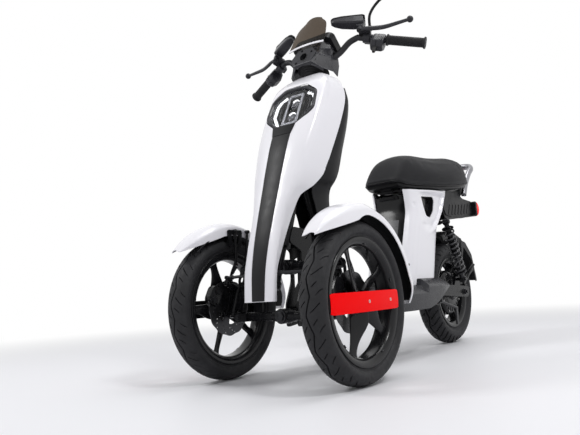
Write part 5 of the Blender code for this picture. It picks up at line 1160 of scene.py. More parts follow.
def build_linkage():
    """The arms, uprights and steering knuckles."""
    build_arm("arm_upper", "upper_arm", "upper_tilt_arm", *UPPER_ARM)
    build_arm("arm_lower", "lower_arm", "lower_tilt_arm", *LOWER_ARM)
    eye = ARM_DEPTH / 2 - 0.0086
    upper, lower = vec(ARM_REACH, *UPPER_ARM), vec(ARM_REACH, *LOWER_ARM)
    depth = vec(0, eye, 0)
    shapes = [bore_rod(at - depth, at + depth, 0.016, 0.0064) for at in (upper, lower)]
    rise = upper - lower
    slope = Matrix.Rotation(-math.atan2(rise.y, rise.z), 4, "X")
    middle = (upper + lower) / 2
    shapes.append(block((0.018, 0.020, rise.length - 0.030), middle, slope))
    shapes.append(block((0.020, 0.014, rise.length - 0.060), middle, slope))
    shapes.append(bore_rod(kingpin(-0.0205), kingpin(0.0605), 0.012, 0.0054))
    shapes += [bore_rod(kingpin(h), kingpin(h + 0.010), 0.0138, 0.0054) for h in (-0.0205, 0.0505)]
    shapes.append(block((0.031, 0.016, 0.062), kingpin(0.020, 0.0, -0.0175), RAKE_TURN))
    pair("upright_link", "upright", COAT, shapes, ["upright"], bevel=0.0012)

    across = KNUCKLE_X - KINGPIN_X
    shapes = [block((0.008, 0.036, 0.106), kingpin(0.020, 0.0, across), RAKE_TURN),
              block((0.0095, 0.020, 0.094), kingpin(0.020, 0.0, across), RAKE_TURN)]
    for low, high in ((0.0610, 0.0710), (-0.0310, -0.0210)):
        shapes.append(rod(kingpin(low), kingpin(high), 0.0135))
        middle = kingpin((low + high) / 2, 0.0, across / 2)
        shapes.append(block((across, 0.022, high - low - 0.001), middle, RAKE_TURN))
    end = kingpin(ARM_LEVEL, STEERING_ARM)
    path = [kingpin(ARM_LEVEL, 0.010), kingpin(ARM_LEVEL, 0.040), end]
    shapes.append(tube(path, [0.0085, 0.0068, 0.0065], 24))
    shapes.append(rod(end - UP_THE_RAKE * 0.007, end + UP_THE_RAKE * 0.004, 0.0095))
    shapes.append(rod((KNUCKLE_X - 0.0052, 0, FRONT_AXLE_Z), (KNUCKLE_X + 0.0048, 0, FRONT_AXLE_Z), 0.0165))
    shapes.append(block((0.0072, 0.060, 0.017), kingpin(0.0635, 0.0, across), RAKE_TURN))
    lug = vec(KNUCKLE_X, 0.0, FRONT_AXLE_Z) + spin(CALIPER_TURN) * 0.0368
    shapes.append(block((0.0070, 0.0537, 0.030), lug, Matrix.Rotation(CALIPER_TURN, 4, "X")))
    pair("steering_knuckle", "knuckle", COAT, shapes, ["knuckle"], bevel=0.0011)
    bright = hex_bolt(kingpin(0.071), UP_THE_RAKE, 0.0085, 0.005)
    bright += hex_bolt(kingpin(-0.031), -UP_THE_RAKE, 0.0085, 0.005)
    nut = WHEEL_X + 0.0230
    bright += hex_bolt((nut + 0.0004, 0, FRONT_AXLE_Z), X_AXIS, 0.0140, 0.0075)
    bright.append(rod((KNUCKLE_X, 0, FRONT_AXLE_Z), (nut + 0.010, 0, FRONT_AXLE_Z), 0.0095))
    bright += [rod(end, end + UP_THE_RAKE * STUD, 0.0035), ball(end + UP_THE_RAKE * STUD, 0.0068)]
    for ahead in (0.0225, -0.0225):
        bright += socket_screw(kingpin(0.0635, ahead, across - 0.0150), -X_AXIS, 0.0048)
    pair("knuckle_fixings", "knuckle", ALLOY_GREY, bright, bevel=0.0004)
    boot = [(0.0040, 0.002), (0.0088, 0.0035), (0.0080, 0.0065), (0.0092, 0.0085), (0.0066, 0.0120),
            (0.0040, 0.0120)]
    pair("rod_boots", "knuckle", GRIP, [turned(boot, end, UP_THE_RAKE, 32)])
    build_caliper()
    build_fender()


def build_caliper():
    """The brake caliper: a black body over the disc, with pistons, bolts and a bleed screw."""
    centre = vec(DISC_X, 0.0, FRONT_AXLE_Z)
    out = spin(CALIPER_TURN)
    around = vec(0.0, -out.z, out.y)
    section = [(-0.023, -0.031), (0.016, -0.031), (0.023, -0.018), (0.023, 0.018), (0.016, 0.031),
               (-0.023, 0.031)]
    section = rounded(section, 0.006)
    bridge = rounded([(0.012, -0.028), (0.022, -0.016), (0.022, 0.016), (0.012, 0.028)], 0.003, 3)
    stand = Matrix.Translation(centre + out * 0.087) @ Matrix.Rotation(CALIPER_TURN, 4, "X") @ side_plane(0.0)
    halves = []
    steps = ((section, 0.0130, -0.0104), (section, 0.0042, 0.0056), (bridge, 0.0230, -0.0046))
    for outline, thickness, depth in steps:
        halves.append(plate(outline, thickness, stand @ moved(0, 0, depth)))
    pair("caliper_body", "knuckle", ALLOY_BLACK, halves, ["caliper"], bevel=0.0014, segments=3)
    dark = []
    ring = [(0.0075, 0.0), (0.0098, 0.0), (0.0098, 0.0012), (0.0075, 0.0012)]
    for side in BOTH:
        foot = centre + out * 0.086 + around * side * 0.016
        dark.append(rod(foot - X_AXIS * 0.0160, foot - X_AXIS * 0.0205, 0.0115, 40))
        dark.append(turned(ring, foot - X_AXIS * 0.0203, -X_AXIS, 40))
        for r in (0.070, 0.103):
            at = centre + out * r + around * side * 0.027 * 0.93 - X_AXIS * 0.0168
            dark += socket_screw(at, -X_AXIS, 0.0036, 0.0035)
    bleed = centre + out * 0.100 - X_AXIS * 0.010
    dark += hex_bolt(bleed + around * 0.029, around, 0.0040, 0.006, False)
    dark.append(rod(bleed + around * 0.034, bleed + around * 0.043, 0.0026))
    pair("caliper_fixings", "knuckle", ALLOY_GREY, dark, bevel=0.0004)


# Shares of the fender's half width and height, from its inner edge over the crown to its outer edge
FENDER_FORM = ((-1.00, 0.0), (-0.985, 0.30), (-0.93, 0.62), (-0.62, 0.90), (-0.25, 0.985), (0.0, 1.0),
               (0.25, 0.985), (0.62, 0.90), (0.94, 0.60), (1.00, 0.28), (1.03, 0.0))
FENDER_FIRST = math.radians(-4)
FENDER_LAST = math.radians(139)
FENDER_FOLD = math.radians(100)
FENDER_STEPS = 72
FENDER_INNER_X = WHEEL_X - 0.053 - 0.0052


def on_crown(x, angle, below):
    """A point by its angle round the front axle and how far it lies below the fender's crown."""
    radius = FENDER_CROWN - below
    return vec(x, radius * math.cos(angle), FRONT_AXLE_Z + radius * math.sin(angle))


def fender_rows(inset, lift):
    """The fender's wall in rows round the wheel, drawn in by a gap and up from its edge."""
    crown = FENDER_CROWN
    span = FENDER_LAST - FENDER_FIRST
    rows = []
    for share in [i / FENDER_STEPS for i in range(FENDER_STEPS + 1)]:
        base = FENDER_FIRST + span * share
        if abs(base - FENDER_FOLD) < span / FENDER_STEPS / 2:
            base = FENDER_FOLD
        beak = max(0.0, 1 - (1 - share) / 0.24) ** 2
        narrow = 1.0 - 0.40 * max(0.0, 1 - share / 0.10) ** 2 - 0.60 * beak
        drop = 0.045 - 0.017 * max(0.0, 1 - share / 0.14)
        if base > FENDER_FOLD:
            first = Vector((math.cos(FENDER_FOLD), math.sin(FENDER_FOLD))) * (crown - 0.045)
            last = Vector((math.cos(FENDER_LAST), math.sin(FENDER_LAST))) * (crown - 0.004)
            level = Vector((last.y - first.y, first.x - last.x))
            drop = crown - level.dot(first) / level.dot(Vector((math.cos(base), math.sin(base))))
        drop = max(0.003, drop - lift)
        ahead = math.degrees(base - FENDER_FOLD)
        tooth = max(0.0, 1 - ahead / 34) if ahead >= 0 else max(0.0, 1 + ahead / 15) ** 1.7
        near = min(1.0, abs(ahead) / 30)
        fold = 0.0045 * (1 - near) - 0.0030 * math.sin(math.pi * near)
        row = []
        for w, h in FENDER_FORM:
            outer = ramp(w, 0.0, 1.0)
            low = drop + outer * (0.008 * tooth - 0.007 * (1 - tooth) * (ahead < 0))
            angle = base - math.radians(17) * h * math.exp(-(ahead / 26) ** 2) * ramp(w, -0.6, 0.3)
            bend = fold * (0.3 + 0.7 * ramp(w, -0.4, 0.6))
            below = low * (1 - h) - bend * min(1.0, h * 3) + 0.0034 + inset
            out = 0.053 * w * narrow + math.copysign(0.0012 * (1 - near), w) * outer
            out -= math.copysign(inset, w) * min(1.0, abs(w) * 2)
            row.append(on_crown(WHEEL_X + out, angle, below))
        rows.append(spline(row, 4))
    return rows


def build_fender():
    """The fender over a front wheel, with its notch, its liner and the two black stays."""
    outside = shell(fender_rows(0.0, 0.0), 0.0024, inwards=False)
    pair("fender_shell", "knuckle", WHITE, [outside], ["fender"], bevel=0.0009, sharp=9)
    liner = shell(fender_rows(0.0028, 0.0035)[1:-6], 0.0012, inwards=False)
    pair("fender_liner", "knuckle", DARK, [liner], bevel=0.0004, sharp=30)
    rib = [on_crown(WHEEL_X - 0.0465, math.radians(20 + 112 * i / 24), 0.0440) for i in range(25)]
    tab = math.radians(22)
    catch = block((0.020, 0.016, 0.006), on_crown(WHEEL_X + 0.040, tab, 0.020), Matrix.Rotation(tab, 4, "X"))
    pair("fender_frame", "knuckle", DARK, [tube(rib, 0.0026, 10), catch], bevel=0.0005)
    stays, ends = [], []
    for ahead in (0.0225, -0.0225):
        foot = kingpin(0.062, ahead, KNUCKLE_X - KINGPIN_X)
        inboard = foot - X_AXIS * 0.0081
        top = vec(FENDER_INNER_X, foot.y * 1.5, FRONT_AXLE_Z + FENDER_CROWN - 0.034)
        knee = vec(FENDER_INNER_X, foot.y * 1.2, FRONT_AXLE_Z + 0.165)
        bend = [inboard, inboard + vec(0, 0, 0.030), inboard + vec(0, 0, 0.042), knee - vec(0, 0, 0.006),
                knee, knee.lerp(top, 0.2), top]
        stays.append(tube(spline(bend, 3), 0.0050, 18))
        ends.append(rod(top - X_AXIS * 0.0050, top + X_AXIS * 0.0140, 0.0064))
        ends.append(rod(inboard - X_AXIS * 0.0036, inboard + X_AXIS * 0.0034, 0.0076))
        ends += socket_screw(top - X_AXIS * 0.0050, -X_AXIS, 0.0050, 0.003)
    bracket = rounded([(-0.036, 0.030), (0.036, 0.030), (0.030, -0.030), (-0.030, -0.030)], 0.008)
    window = rounded([(-0.018, 0.014), (0.018, 0.014), (0.013, -0.018), (-0.013, -0.018)], 0.005, 3)
    place = moved(FENDER_INNER_X, 0.0, FRONT_AXLE_Z + FENDER_CROWN - 0.060) @ side_plane(0.0)
    stays.append(plate(bracket, 0.0036, place, [window]))
    pair("fender_stays", "knuckle", COAT, stays, bevel=0.0006)
    pair("fender_mounts", "knuckle", ALLOY_GREY, ends, bevel=0.0005)


# Wheels

# Shares of the tyre's height and of its half width, from over the bead to the crown
TYRE_FORM = (
    (0.36, 0.945), (0.50, 1.0), (0.62, 0.985), (0.74, 0.90), (0.83, 0.775), (0.895, 0.64), (0.94, 0.49),
    (0.972, 0.33), (0.992, 0.165), (1.0, 0.0),
)
TREAD_START = 0.50
TREAD_SHARES = (0.0, 0.10, 0.135, 0.15, 0.175, 0.20, 0.27, 0.35, 0.43, TREAD_START, 0.54, 0.58, 0.62, 0.67,
                0.72, 0.77, 0.82, 0.86, 0.90, 0.94)


def tyre(centre, outer, half, bead, foot, pitches, groove, depth, slant, wave, cuts):
    """A tyre with cut treads. Rows run round it and lean with the tread; columns run across it."""
    tall = outer - bead
    section = [(bead - 0.001, foot), (bead + 0.0105, foot + 0.0008), (bead + 0.0120, foot + 0.0022),
               (bead + 0.0145, foot + 0.0024), (bead + 0.0160, foot + 0.0018)]
    section += [(bead + up * tall, half * wide) for up, wide in TYRE_FORM]
    fine = spline([(r, x, 0) for r, x in section], 6)
    lengths = [0.0]
    for a, b in zip(fine, fine[1:]):
        lengths.append(lengths[-1] + (b - a).length)

    def at(share):
        """A point of the half section by its share of the way from bead to crown."""
        wanted = share * lengths[-1]
        for i in range(1, len(fine)):
            if lengths[i] >= wanted:
                t = (wanted - lengths[i - 1]) / (lengths[i] - lengths[i - 1])
                return fine[i - 1].lerp(fine[i], t)
        return fine[-1]

    reach, swing, half_line = wave
    places = [1 - share for share in TREAD_SHARES] + [half_line, half_line * 0.6]
    places += [-place for place in reversed(places)]
    steps = [(0.0, 0), (0.22 * groove, 1), (0.78 * groove, 1), (groove, 0)]
    steps += [(groove + (1 - groove) * k / 4, 0) for k in (1, 2, 3)]
    inner = [(bead - 0.001, -foot + 0.006), (bead + 0.5 * tall, -half + 0.008), (outer - 0.010, 0.0),
             (bead + 0.5 * tall, half - 0.008), (bead - 0.001, foot - 0.006)]
    rows = []
    for pitch in range(pitches):
        for offset, down in steps:
            around = (pitch + offset) / pitches * math.tau
            row = []
            for place in places:
                share = 1 - abs(place)
                lean = ramp(share, TREAD_START, 1.0)
                angle = around + slant * math.copysign(lean, place) / outer
                sway = 2 / math.pi * math.asin(math.sin(angle * pitches / 3)) * swing
                shifted = place + sway * max(0.0, 1 - abs(place) / reach)
                point = at(1 - abs(shifted))
                sunk = abs(place) < half_line * 0.8 or down and any(
                    low < share < high and pitch % every == shift for low, high, every, shift in cuts)
                radius = point.x - depth * sunk
                row.append(X_AXIS * math.copysign(point.y, shifted) + spin(angle) * radius)
            row += [spin(around) * r + X_AXIS * x for r, x in inner]
            rows.append(row)
    mesh = looped(rows)
    mesh.transform(Matrix.Translation(centre))
    return mesh


def rim(bead, foot, centre):
    """A rim: two rolled flanges, the bead seats and the well."""
    edge = foot + 0.0010
    lip = edge + 0.0040
    seat = bead - 0.0006
    half = [(bead + 0.0085, edge + 0.0002), (bead + 0.0102, edge + 0.0010), (bead + 0.0106, edge + 0.0026),
            (bead + 0.0092, lip), (bead + 0.0050, lip + 0.0002), (seat - 0.002, lip - 0.0012),
            (seat - 0.0075, edge + 0.0004), (seat - 0.0150, edge * 0.78), (seat - 0.0165, edge * 0.45)]
    well = [(seat - 0.010, edge * 0.42), (seat - 0.001, edge * 0.80), (seat, edge)]
    profile = half + [(r, -x) for r, x in reversed(half)] + [(r, -x) for r, x in reversed(well)] + well
    return turned(profile, centre, X_AXIS, 96)


# Rows of (radius, leading edge, trailing edge, thickness, pitch in degrees)
BLADE = (
    (0.018, -0.028, 0.032, 0.0130, 30), (0.046, -0.025, 0.040, 0.0110, 29),
    (0.072, -0.021, 0.034, 0.0095, 27), (0.098, -0.018, 0.022, 0.0085, 23),
    (0.124, -0.016, 0.013, 0.0080, 18), (0.148, -0.016, 0.011, 0.0085, 13),
    (FRONT_BEAD - 0.0135, -0.020, 0.018, 0.0100, 10),
)


def spoke(centre, angle):
    """A blade from the hub to the rim, broad and pitched at its root, straight ahead and swept behind."""
    out = spin(angle)
    around = vec(0.0, -out.z, out.y)
    rings = []
    for radius, lead, trail, thick, pitch in BLADE:
        turn = math.radians(pitch)
        chord = around * math.cos(turn) + X_AXIS * math.sin(turn)
        normal = out.cross(chord)
        mid = centre + out * radius + chord * (lead + trail) / 2
        wide = (trail - lead) / 2
        deep = thick / 2
        rings.append([mid + chord * wide * power(math.cos(t), 0.8) + normal * deep * power(math.sin(t), 0.5)
                      for t in turns(24)])
    return lofted(refine(rings, 4, 1, closed=True))


def build_disc():
    """The brake disc with its slots, vent holes, waved edge and screws."""
    slot = ((0.030, -0.28), (0.056, -0.40), (0.058, 0.0), (0.056, 0.34), (0.030, 0.20))
    holes = [circle((0, 0), 0.0170, 40)]
    for at in turns(5):
        holes.append(rounded([(r * math.cos(at + t), r * math.sin(at + t)) for r, t in slot], 0.006, 3))
    for at in turns(12):
        for k, radius in enumerate((0.068, 0.077, 0.086)):
            angle = at + k * 0.14
            holes.append(circle((radius * math.cos(angle), radius * math.sin(angle)), 0.0026, 12))
    edge = [(0.0935 + 0.0015 * math.cos(12 * t), t) for t in turns(144)]
    outer = [(r * math.cos(t), r * math.sin(t)) for r, t in edge]
    disc = plate(outer, 0.0036, side_plane(0.0), holes)
    disc.transform(moved(DISC_X, 0.0, FRONT_AXLE_Z))
    pair("disc", "wheel", DISC_STEEL, [disc], ["brake_disc"], bevel=0.0003)
    heads = []
    for at in turns(5, 0.5):
        place = vec(DISC_X - 0.0018, 0.0, FRONT_AXLE_Z) + spin(at) * 0.0245
        heads += socket_screw(place, -X_AXIS, 0.0042, 0.003)
    pair("disc_screws", "wheel", ALLOY_GREY, heads, bevel=0.0003)


def build_front_wheels():
    """Tyres, wheels, discs and the red bars."""
    centre = vec(WHEEL_X, 0.0, FRONT_AXLE_Z)
    foot = FRONT_WIDTH * 0.35
    cuts = ((0.55, 0.76, 3, 0), (0.62, 0.87, 3, 1), (0.72, 0.90, 3, 2))
    wave = (0.34, 0.085, 0.026)
    shape = tyre(centre, FRONT_AXLE_Z, FRONT_WIDTH / 2, FRONT_BEAD, foot,
                 pitches=45, groove=0.145, depth=0.0048, slant=0.036, wave=wave, cuts=cuts)
    pair("tyre_front", "wheel", RUBBER, [shape], ["front_tyre"], sharp=40)

    hub = [(0.0104, -0.0120), (0.030, -0.0120), (0.0315, -0.008), (0.033, 0.0), (0.0310, 0.010),
           (0.0265, 0.018), (0.0240, 0.0230), (0.0200, 0.0230), (0.0190, 0.0215), (0.0104, 0.0215)]
    shapes = [rim(FRONT_BEAD, foot, centre), turned(hub, centre, X_AXIS, 64)]
    shapes += [spoke(centre + X_AXIS * 0.008, math.radians(36) + t) for t in turns(5)]
    pair("wheel_cast", "wheel", ALLOY_BLACK, shapes, ["front_wheel"], bevel=0.0006, sharp=40)
    valve = centre + X_AXIS * 0.006 + spin(1.1) * (FRONT_BEAD - 0.020)
    inwards = (X_AXIS * 0.35 - spin(1.1)).normalized()
    stem = [rod(valve, valve + inwards * 0.020, 0.0042, 20, 0.0030),
            rod(valve + inwards * 0.020, valve + inwards * 0.030, 0.0036, 16)]
    pair("valve", "wheel", GRIP, stem)
    clips = []
    for turn in (0.35, 1.45, 2.7, 3.9, 5.2):
        at = centre + X_AXIS * (foot - 0.004) + spin(turn) * (FRONT_BEAD - 0.0105)
        clips.append(block((0.014, 0.011, 0.0030), at, Matrix.Rotation(turn - math.pi / 2, 4, "X")))
    pair("rim_clips", "wheel", ALLOY_GREY, clips, bevel=0.0006)
    build_disc()

    def on_bar_front(share, out):
        """A point along the red bar's middle, which bows outwards over the rim."""
        bow = foot + 0.0053 + 0.0075 * (1 - share * share)
        return centre + vec(bow + out, (FRONT_BEAD + 0.0078) * share, 0)

    rows = []
    for share in [-1 + i / 20 for i in range(41)]:
        trim = 1 - 0.10 * ramp(abs(share), 0.93, 1.0)
        heights = [-0.029 + 0.058 * k / 10 for k in range(11)]
        rows.append([on_bar_front(share, 0.0016 * (1 - (h / 0.029) ** 2)) + vec(0, 0, h * trim)
                     for h in heights])
    pair("cross_bar", "wheel", RED, [shell(rows, 0.0016)], ["wheel_bar"], bevel=0.0007, sharp=45)
    inner = [[p - X_AXIS * 0.0018 for p in row] for row in rows]
    pair("cross_bar_back", "wheel", DARK, [shell(inner, 0.0012)], bevel=0.0005, sharp=45)
    screws = []
    for share in (0.0, 0.70):
        screws += socket_screw(on_bar_front(share, 0.0017), X_AXIS, 0.0048, 0.0022)
    pair("bar_screws", "wheel", STEEL, screws, bevel=0.0004)


def build_rear_wheel():
    """The motor wheel and its block tyre."""
    centre = vec(0.0, WHEELBASE, REAR_AXLE_Z)
    foot = REAR_WIDTH * 0.34
    wave = (0.30, 0.060, 0.030)
    cuts = ((0.51, 0.91, 1, 0), )
    shape = tyre(centre, REAR_AXLE_Z, REAR_WIDTH / 2, REAR_BEAD, foot,
                 pitches=38, groove=0.26, depth=0.0062, slant=0.036, wave=wave, cuts=cuts)
    piece("tyre_rear", "rear_wheel", RUBBER, [shape], ["rear_tyre"], sharp=40)
    half = 0.046
    hub = [(0.0084, 0.0), (0.028, 0.0), (0.031, 0.002), (0.036, 0.012), (0.060, 0.0135), (0.062, 0.0155),
           (0.088, 0.0175), (0.094, 0.020), (0.100, 0.025), (0.104, 0.032)]
    profile = [(r, in_by - half) for r, in_by in hub] + [(r, half - in_by) for r, in_by in reversed(hub)]
    shapes = [rim(REAR_BEAD, foot, centre), turned(profile, centre, X_AXIS, 84)]
    for t in turns(6):
        turn = Matrix.Rotation(t, 4, "X")
        shapes.append(block((0.022, 0.052, 0.024), centre + spin(t) * 0.118, turn))
        shapes.append(block((0.034, 0.050, 0.008), centre + spin(t) * 0.117, turn))
    for t in turns(24):
        for s in BOTH:
            at = centre + spin(t) * 0.075 + X_AXIS * s * (half - 0.0165)
            shapes.append(block((0.004, 0.026, 0.0022), at, Matrix.Rotation(t, 4, "X")))
    piece("wheel_motor", "rear_wheel", ALLOY_BLACK, shapes, ["rear_wheel"], bevel=0.0008)
    screws = []
    for t in turns(8, 0.5):
        for s in BOTH:
            at = centre + spin(t) * 0.092 + X_AXIS * s * (half - 0.019)
            screws += socket_screw(at, X_AXIS * s, 0.0036, 0.003)
    piece("motor_screws", "rear_wheel", STEEL, screws, bevel=0.0003)


# Steering and controls

BAR_BEND = Vector((0.165, 0.297, 1.166))
BAR_END = Vector((0.385, 0.372, 1.100))
BAR_LENGTH = (BAR_END - BAR_BEND).length
BAR_OUT = (BAR_END - BAR_BEND).normalized()
LEVER_AHEAD = Vector((0.0, -0.84, 0.545))
LEVER_AHEAD = (LEVER_AHEAD - BAR_OUT * LEVER_AHEAD.dot(BAR_OUT)).normalized()
LEVER_AXIS = LEVER_AHEAD.cross(BAR_OUT)
BAR_TURN = Matrix((BAR_OUT, -LEVER_AHEAD, LEVER_AXIS)).transposed().to_4x4()
GRIP_START = 0.108
BOX_AT = 0.062


def on_bar(distance, ahead=0.0, up=0.0):
    """A point by its distance out along the bar's straight end, ahead of it and above it."""
    return BAR_BEND + BAR_OUT * distance + LEVER_AHEAD * ahead + LEVER_AXIS * up


def build_steering():
    """The column, bars and everything on them."""
    foot = column_at(kingpin(ARM_LEVEL).z)
    arm_end = column(foot, STEERING_ARM)
    shapes = [rod(column(foot + 0.012), column(-0.012), COLUMN_RADIUS)]
    for height in (0.425, 0.985):
        low = column_at(height)
        shapes.append(rod(column(low), column(low - 0.015), 0.0161))
    shapes.append(rod(column(foot + 0.007), column(foot - 0.012), 0.0165))
    shapes.append(block((0.020, STEERING_ARM, 0.0125), column(foot, STEERING_ARM / 2), RAKE_TURN))
    shapes.append(rod(arm_end - UP_THE_RAKE * 0.00625, arm_end + UP_THE_RAKE * 0.00625, 0.010))
    shapes.append(rod(arm_end, arm_end + UP_THE_RAKE * 0.020, 0.0040))
    shapes.append(block((0.060, 0.046, 0.052), COLUMN_TOP, RAKE_TURN))
    piece("column", "steering", COAT, shapes, ["steering_stem"], bevel=0.0014)

    half = [(0.0, 0.2575, 1.10), (0.034, 0.2575, 1.10), (0.066, 0.264, 1.103), (0.100, 0.279, 1.125),
            (0.134, 0.291, 1.156), BAR_BEND]
    path = spline(half, 6) + [BAR_BEND + BAR_OUT * d for d in (0.02, 0.10, BAR_LENGTH)]
    path = [vec(-p.x, p.y, p.z) for p in reversed(path[1:])] + path
    piece("bars", "steering", ALLOY_GREY, [tube(path, 0.011, 28)], ["handlebar"])
    build_cowl()
    build_controls()

    link = column(foot, STEERING_ARM) + UP_THE_RAKE * STUD
    inner_x = KINGPIN_X - ARM_REACH
    shapes = [block((inner_x * 2 + 0.018, 0.016, 0.018), link + vec(0, 0.0068, 0.0005)),
              rod(arm_end + UP_THE_RAKE * 0.0068, link, 0.0085)]
    bolts = []
    for side in BOTH:
        stud = link + X_AXIS * side * inner_x
        bolts.append(rod(stud, stud + vec(0, -0.0155, 0), 0.0040))
        bolts += hex_bolt(stud + vec(0, -0.0150, 0), (0, -1, 0), 0.0062, 0.003)
    piece("link_bar", "link_block", COAT, shapes, ["link_block"], bevel=0.0012)
    piece("link_bolts", "link_block", ALLOY_GREY, bolts, bevel=0.0004)
    start = link + vec(inner_x, -0.0105, 0)
    socket = kingpin(ARM_LEVEL, STEERING_ARM) + UP_THE_RAKE * STUD
    reach = socket - start
    eye = bore_rod(start - vec(0, 0.0038, 0), start + vec(0, 0.0038, 0), 0.0095, 0.0044)
    cup = [(0.0078, -0.0042), (0.0115, -0.0042), (0.0125, -0.0025), (0.0125, 0.0025), (0.0115, 0.0042),
           (0.0078, 0.0042)]
    stem = [rod(start + reach * 0.035, socket - reach * 0.045, 0.0050),
            rod(start + reach * 0.10, start + reach * 0.16, 0.0078, 6),
            rod(socket - reach * 0.20, socket - reach * 0.12, 0.0078, 6)]
    shapes = [eye, turned(cup, socket, UP_THE_RAKE, 36), *stem]
    pair("steer_rod", "tie_rod", ALLOY_GREY, shapes, ["tie_rod"], bevel=0.0006)


# The cowl's corners as (across, down the column, ahead of it), its faces, and the edges with a ridge, drawn
# lighter as a painted highlight
COWL_TOP, COWL_MIDDLE, COWL_LOW = -0.022, 0.010, 0.042
COWL = {
    "a0": (0.0, COWL_TOP, 0.0665), "a": (0.030, COWL_TOP, 0.0650), "b": (0.055, COWL_MIDDLE, 0.0630),
    "c": (0.037, COWL_LOW, 0.0690), "c0": (0.0, COWL_LOW, 0.0700),
    "d0": (0.0, 0.050, 0.0660), "d": (0.036, 0.053, 0.0620),
    "e": (0.072, 0.060, 0.0330), "f": (0.070, 0.070, 0.0300),
    "g": (0.084, 0.006, 0.0180), "h": (0.089, 0.054, -0.0050), "i": (0.078, -0.034, 0.0200),
    "j": (0.050, -0.055, 0.0500), "j0": (0.0, -0.057, 0.0540), "k": (0.086, 0.053, -0.0360),
    "l": (0.086, 0.010, -0.0340), "m": (0.078, -0.034, -0.0280), "n": (0.074, -0.060, -0.0220),
    "o": (0.072, -0.060, 0.0220),
}
COWL_FACES = ("a0 a j j0", "a b g i", "a i o j", "b c e h g", "c0 c d d0", "c d f e",
              "g h k l", "i g l m", "o i m n")
COWL_HIGHLIGHT_RIDGES = ("a a0", "a b", "b c", "c c0", "b g", "c e", "e h", "d e", "a i")


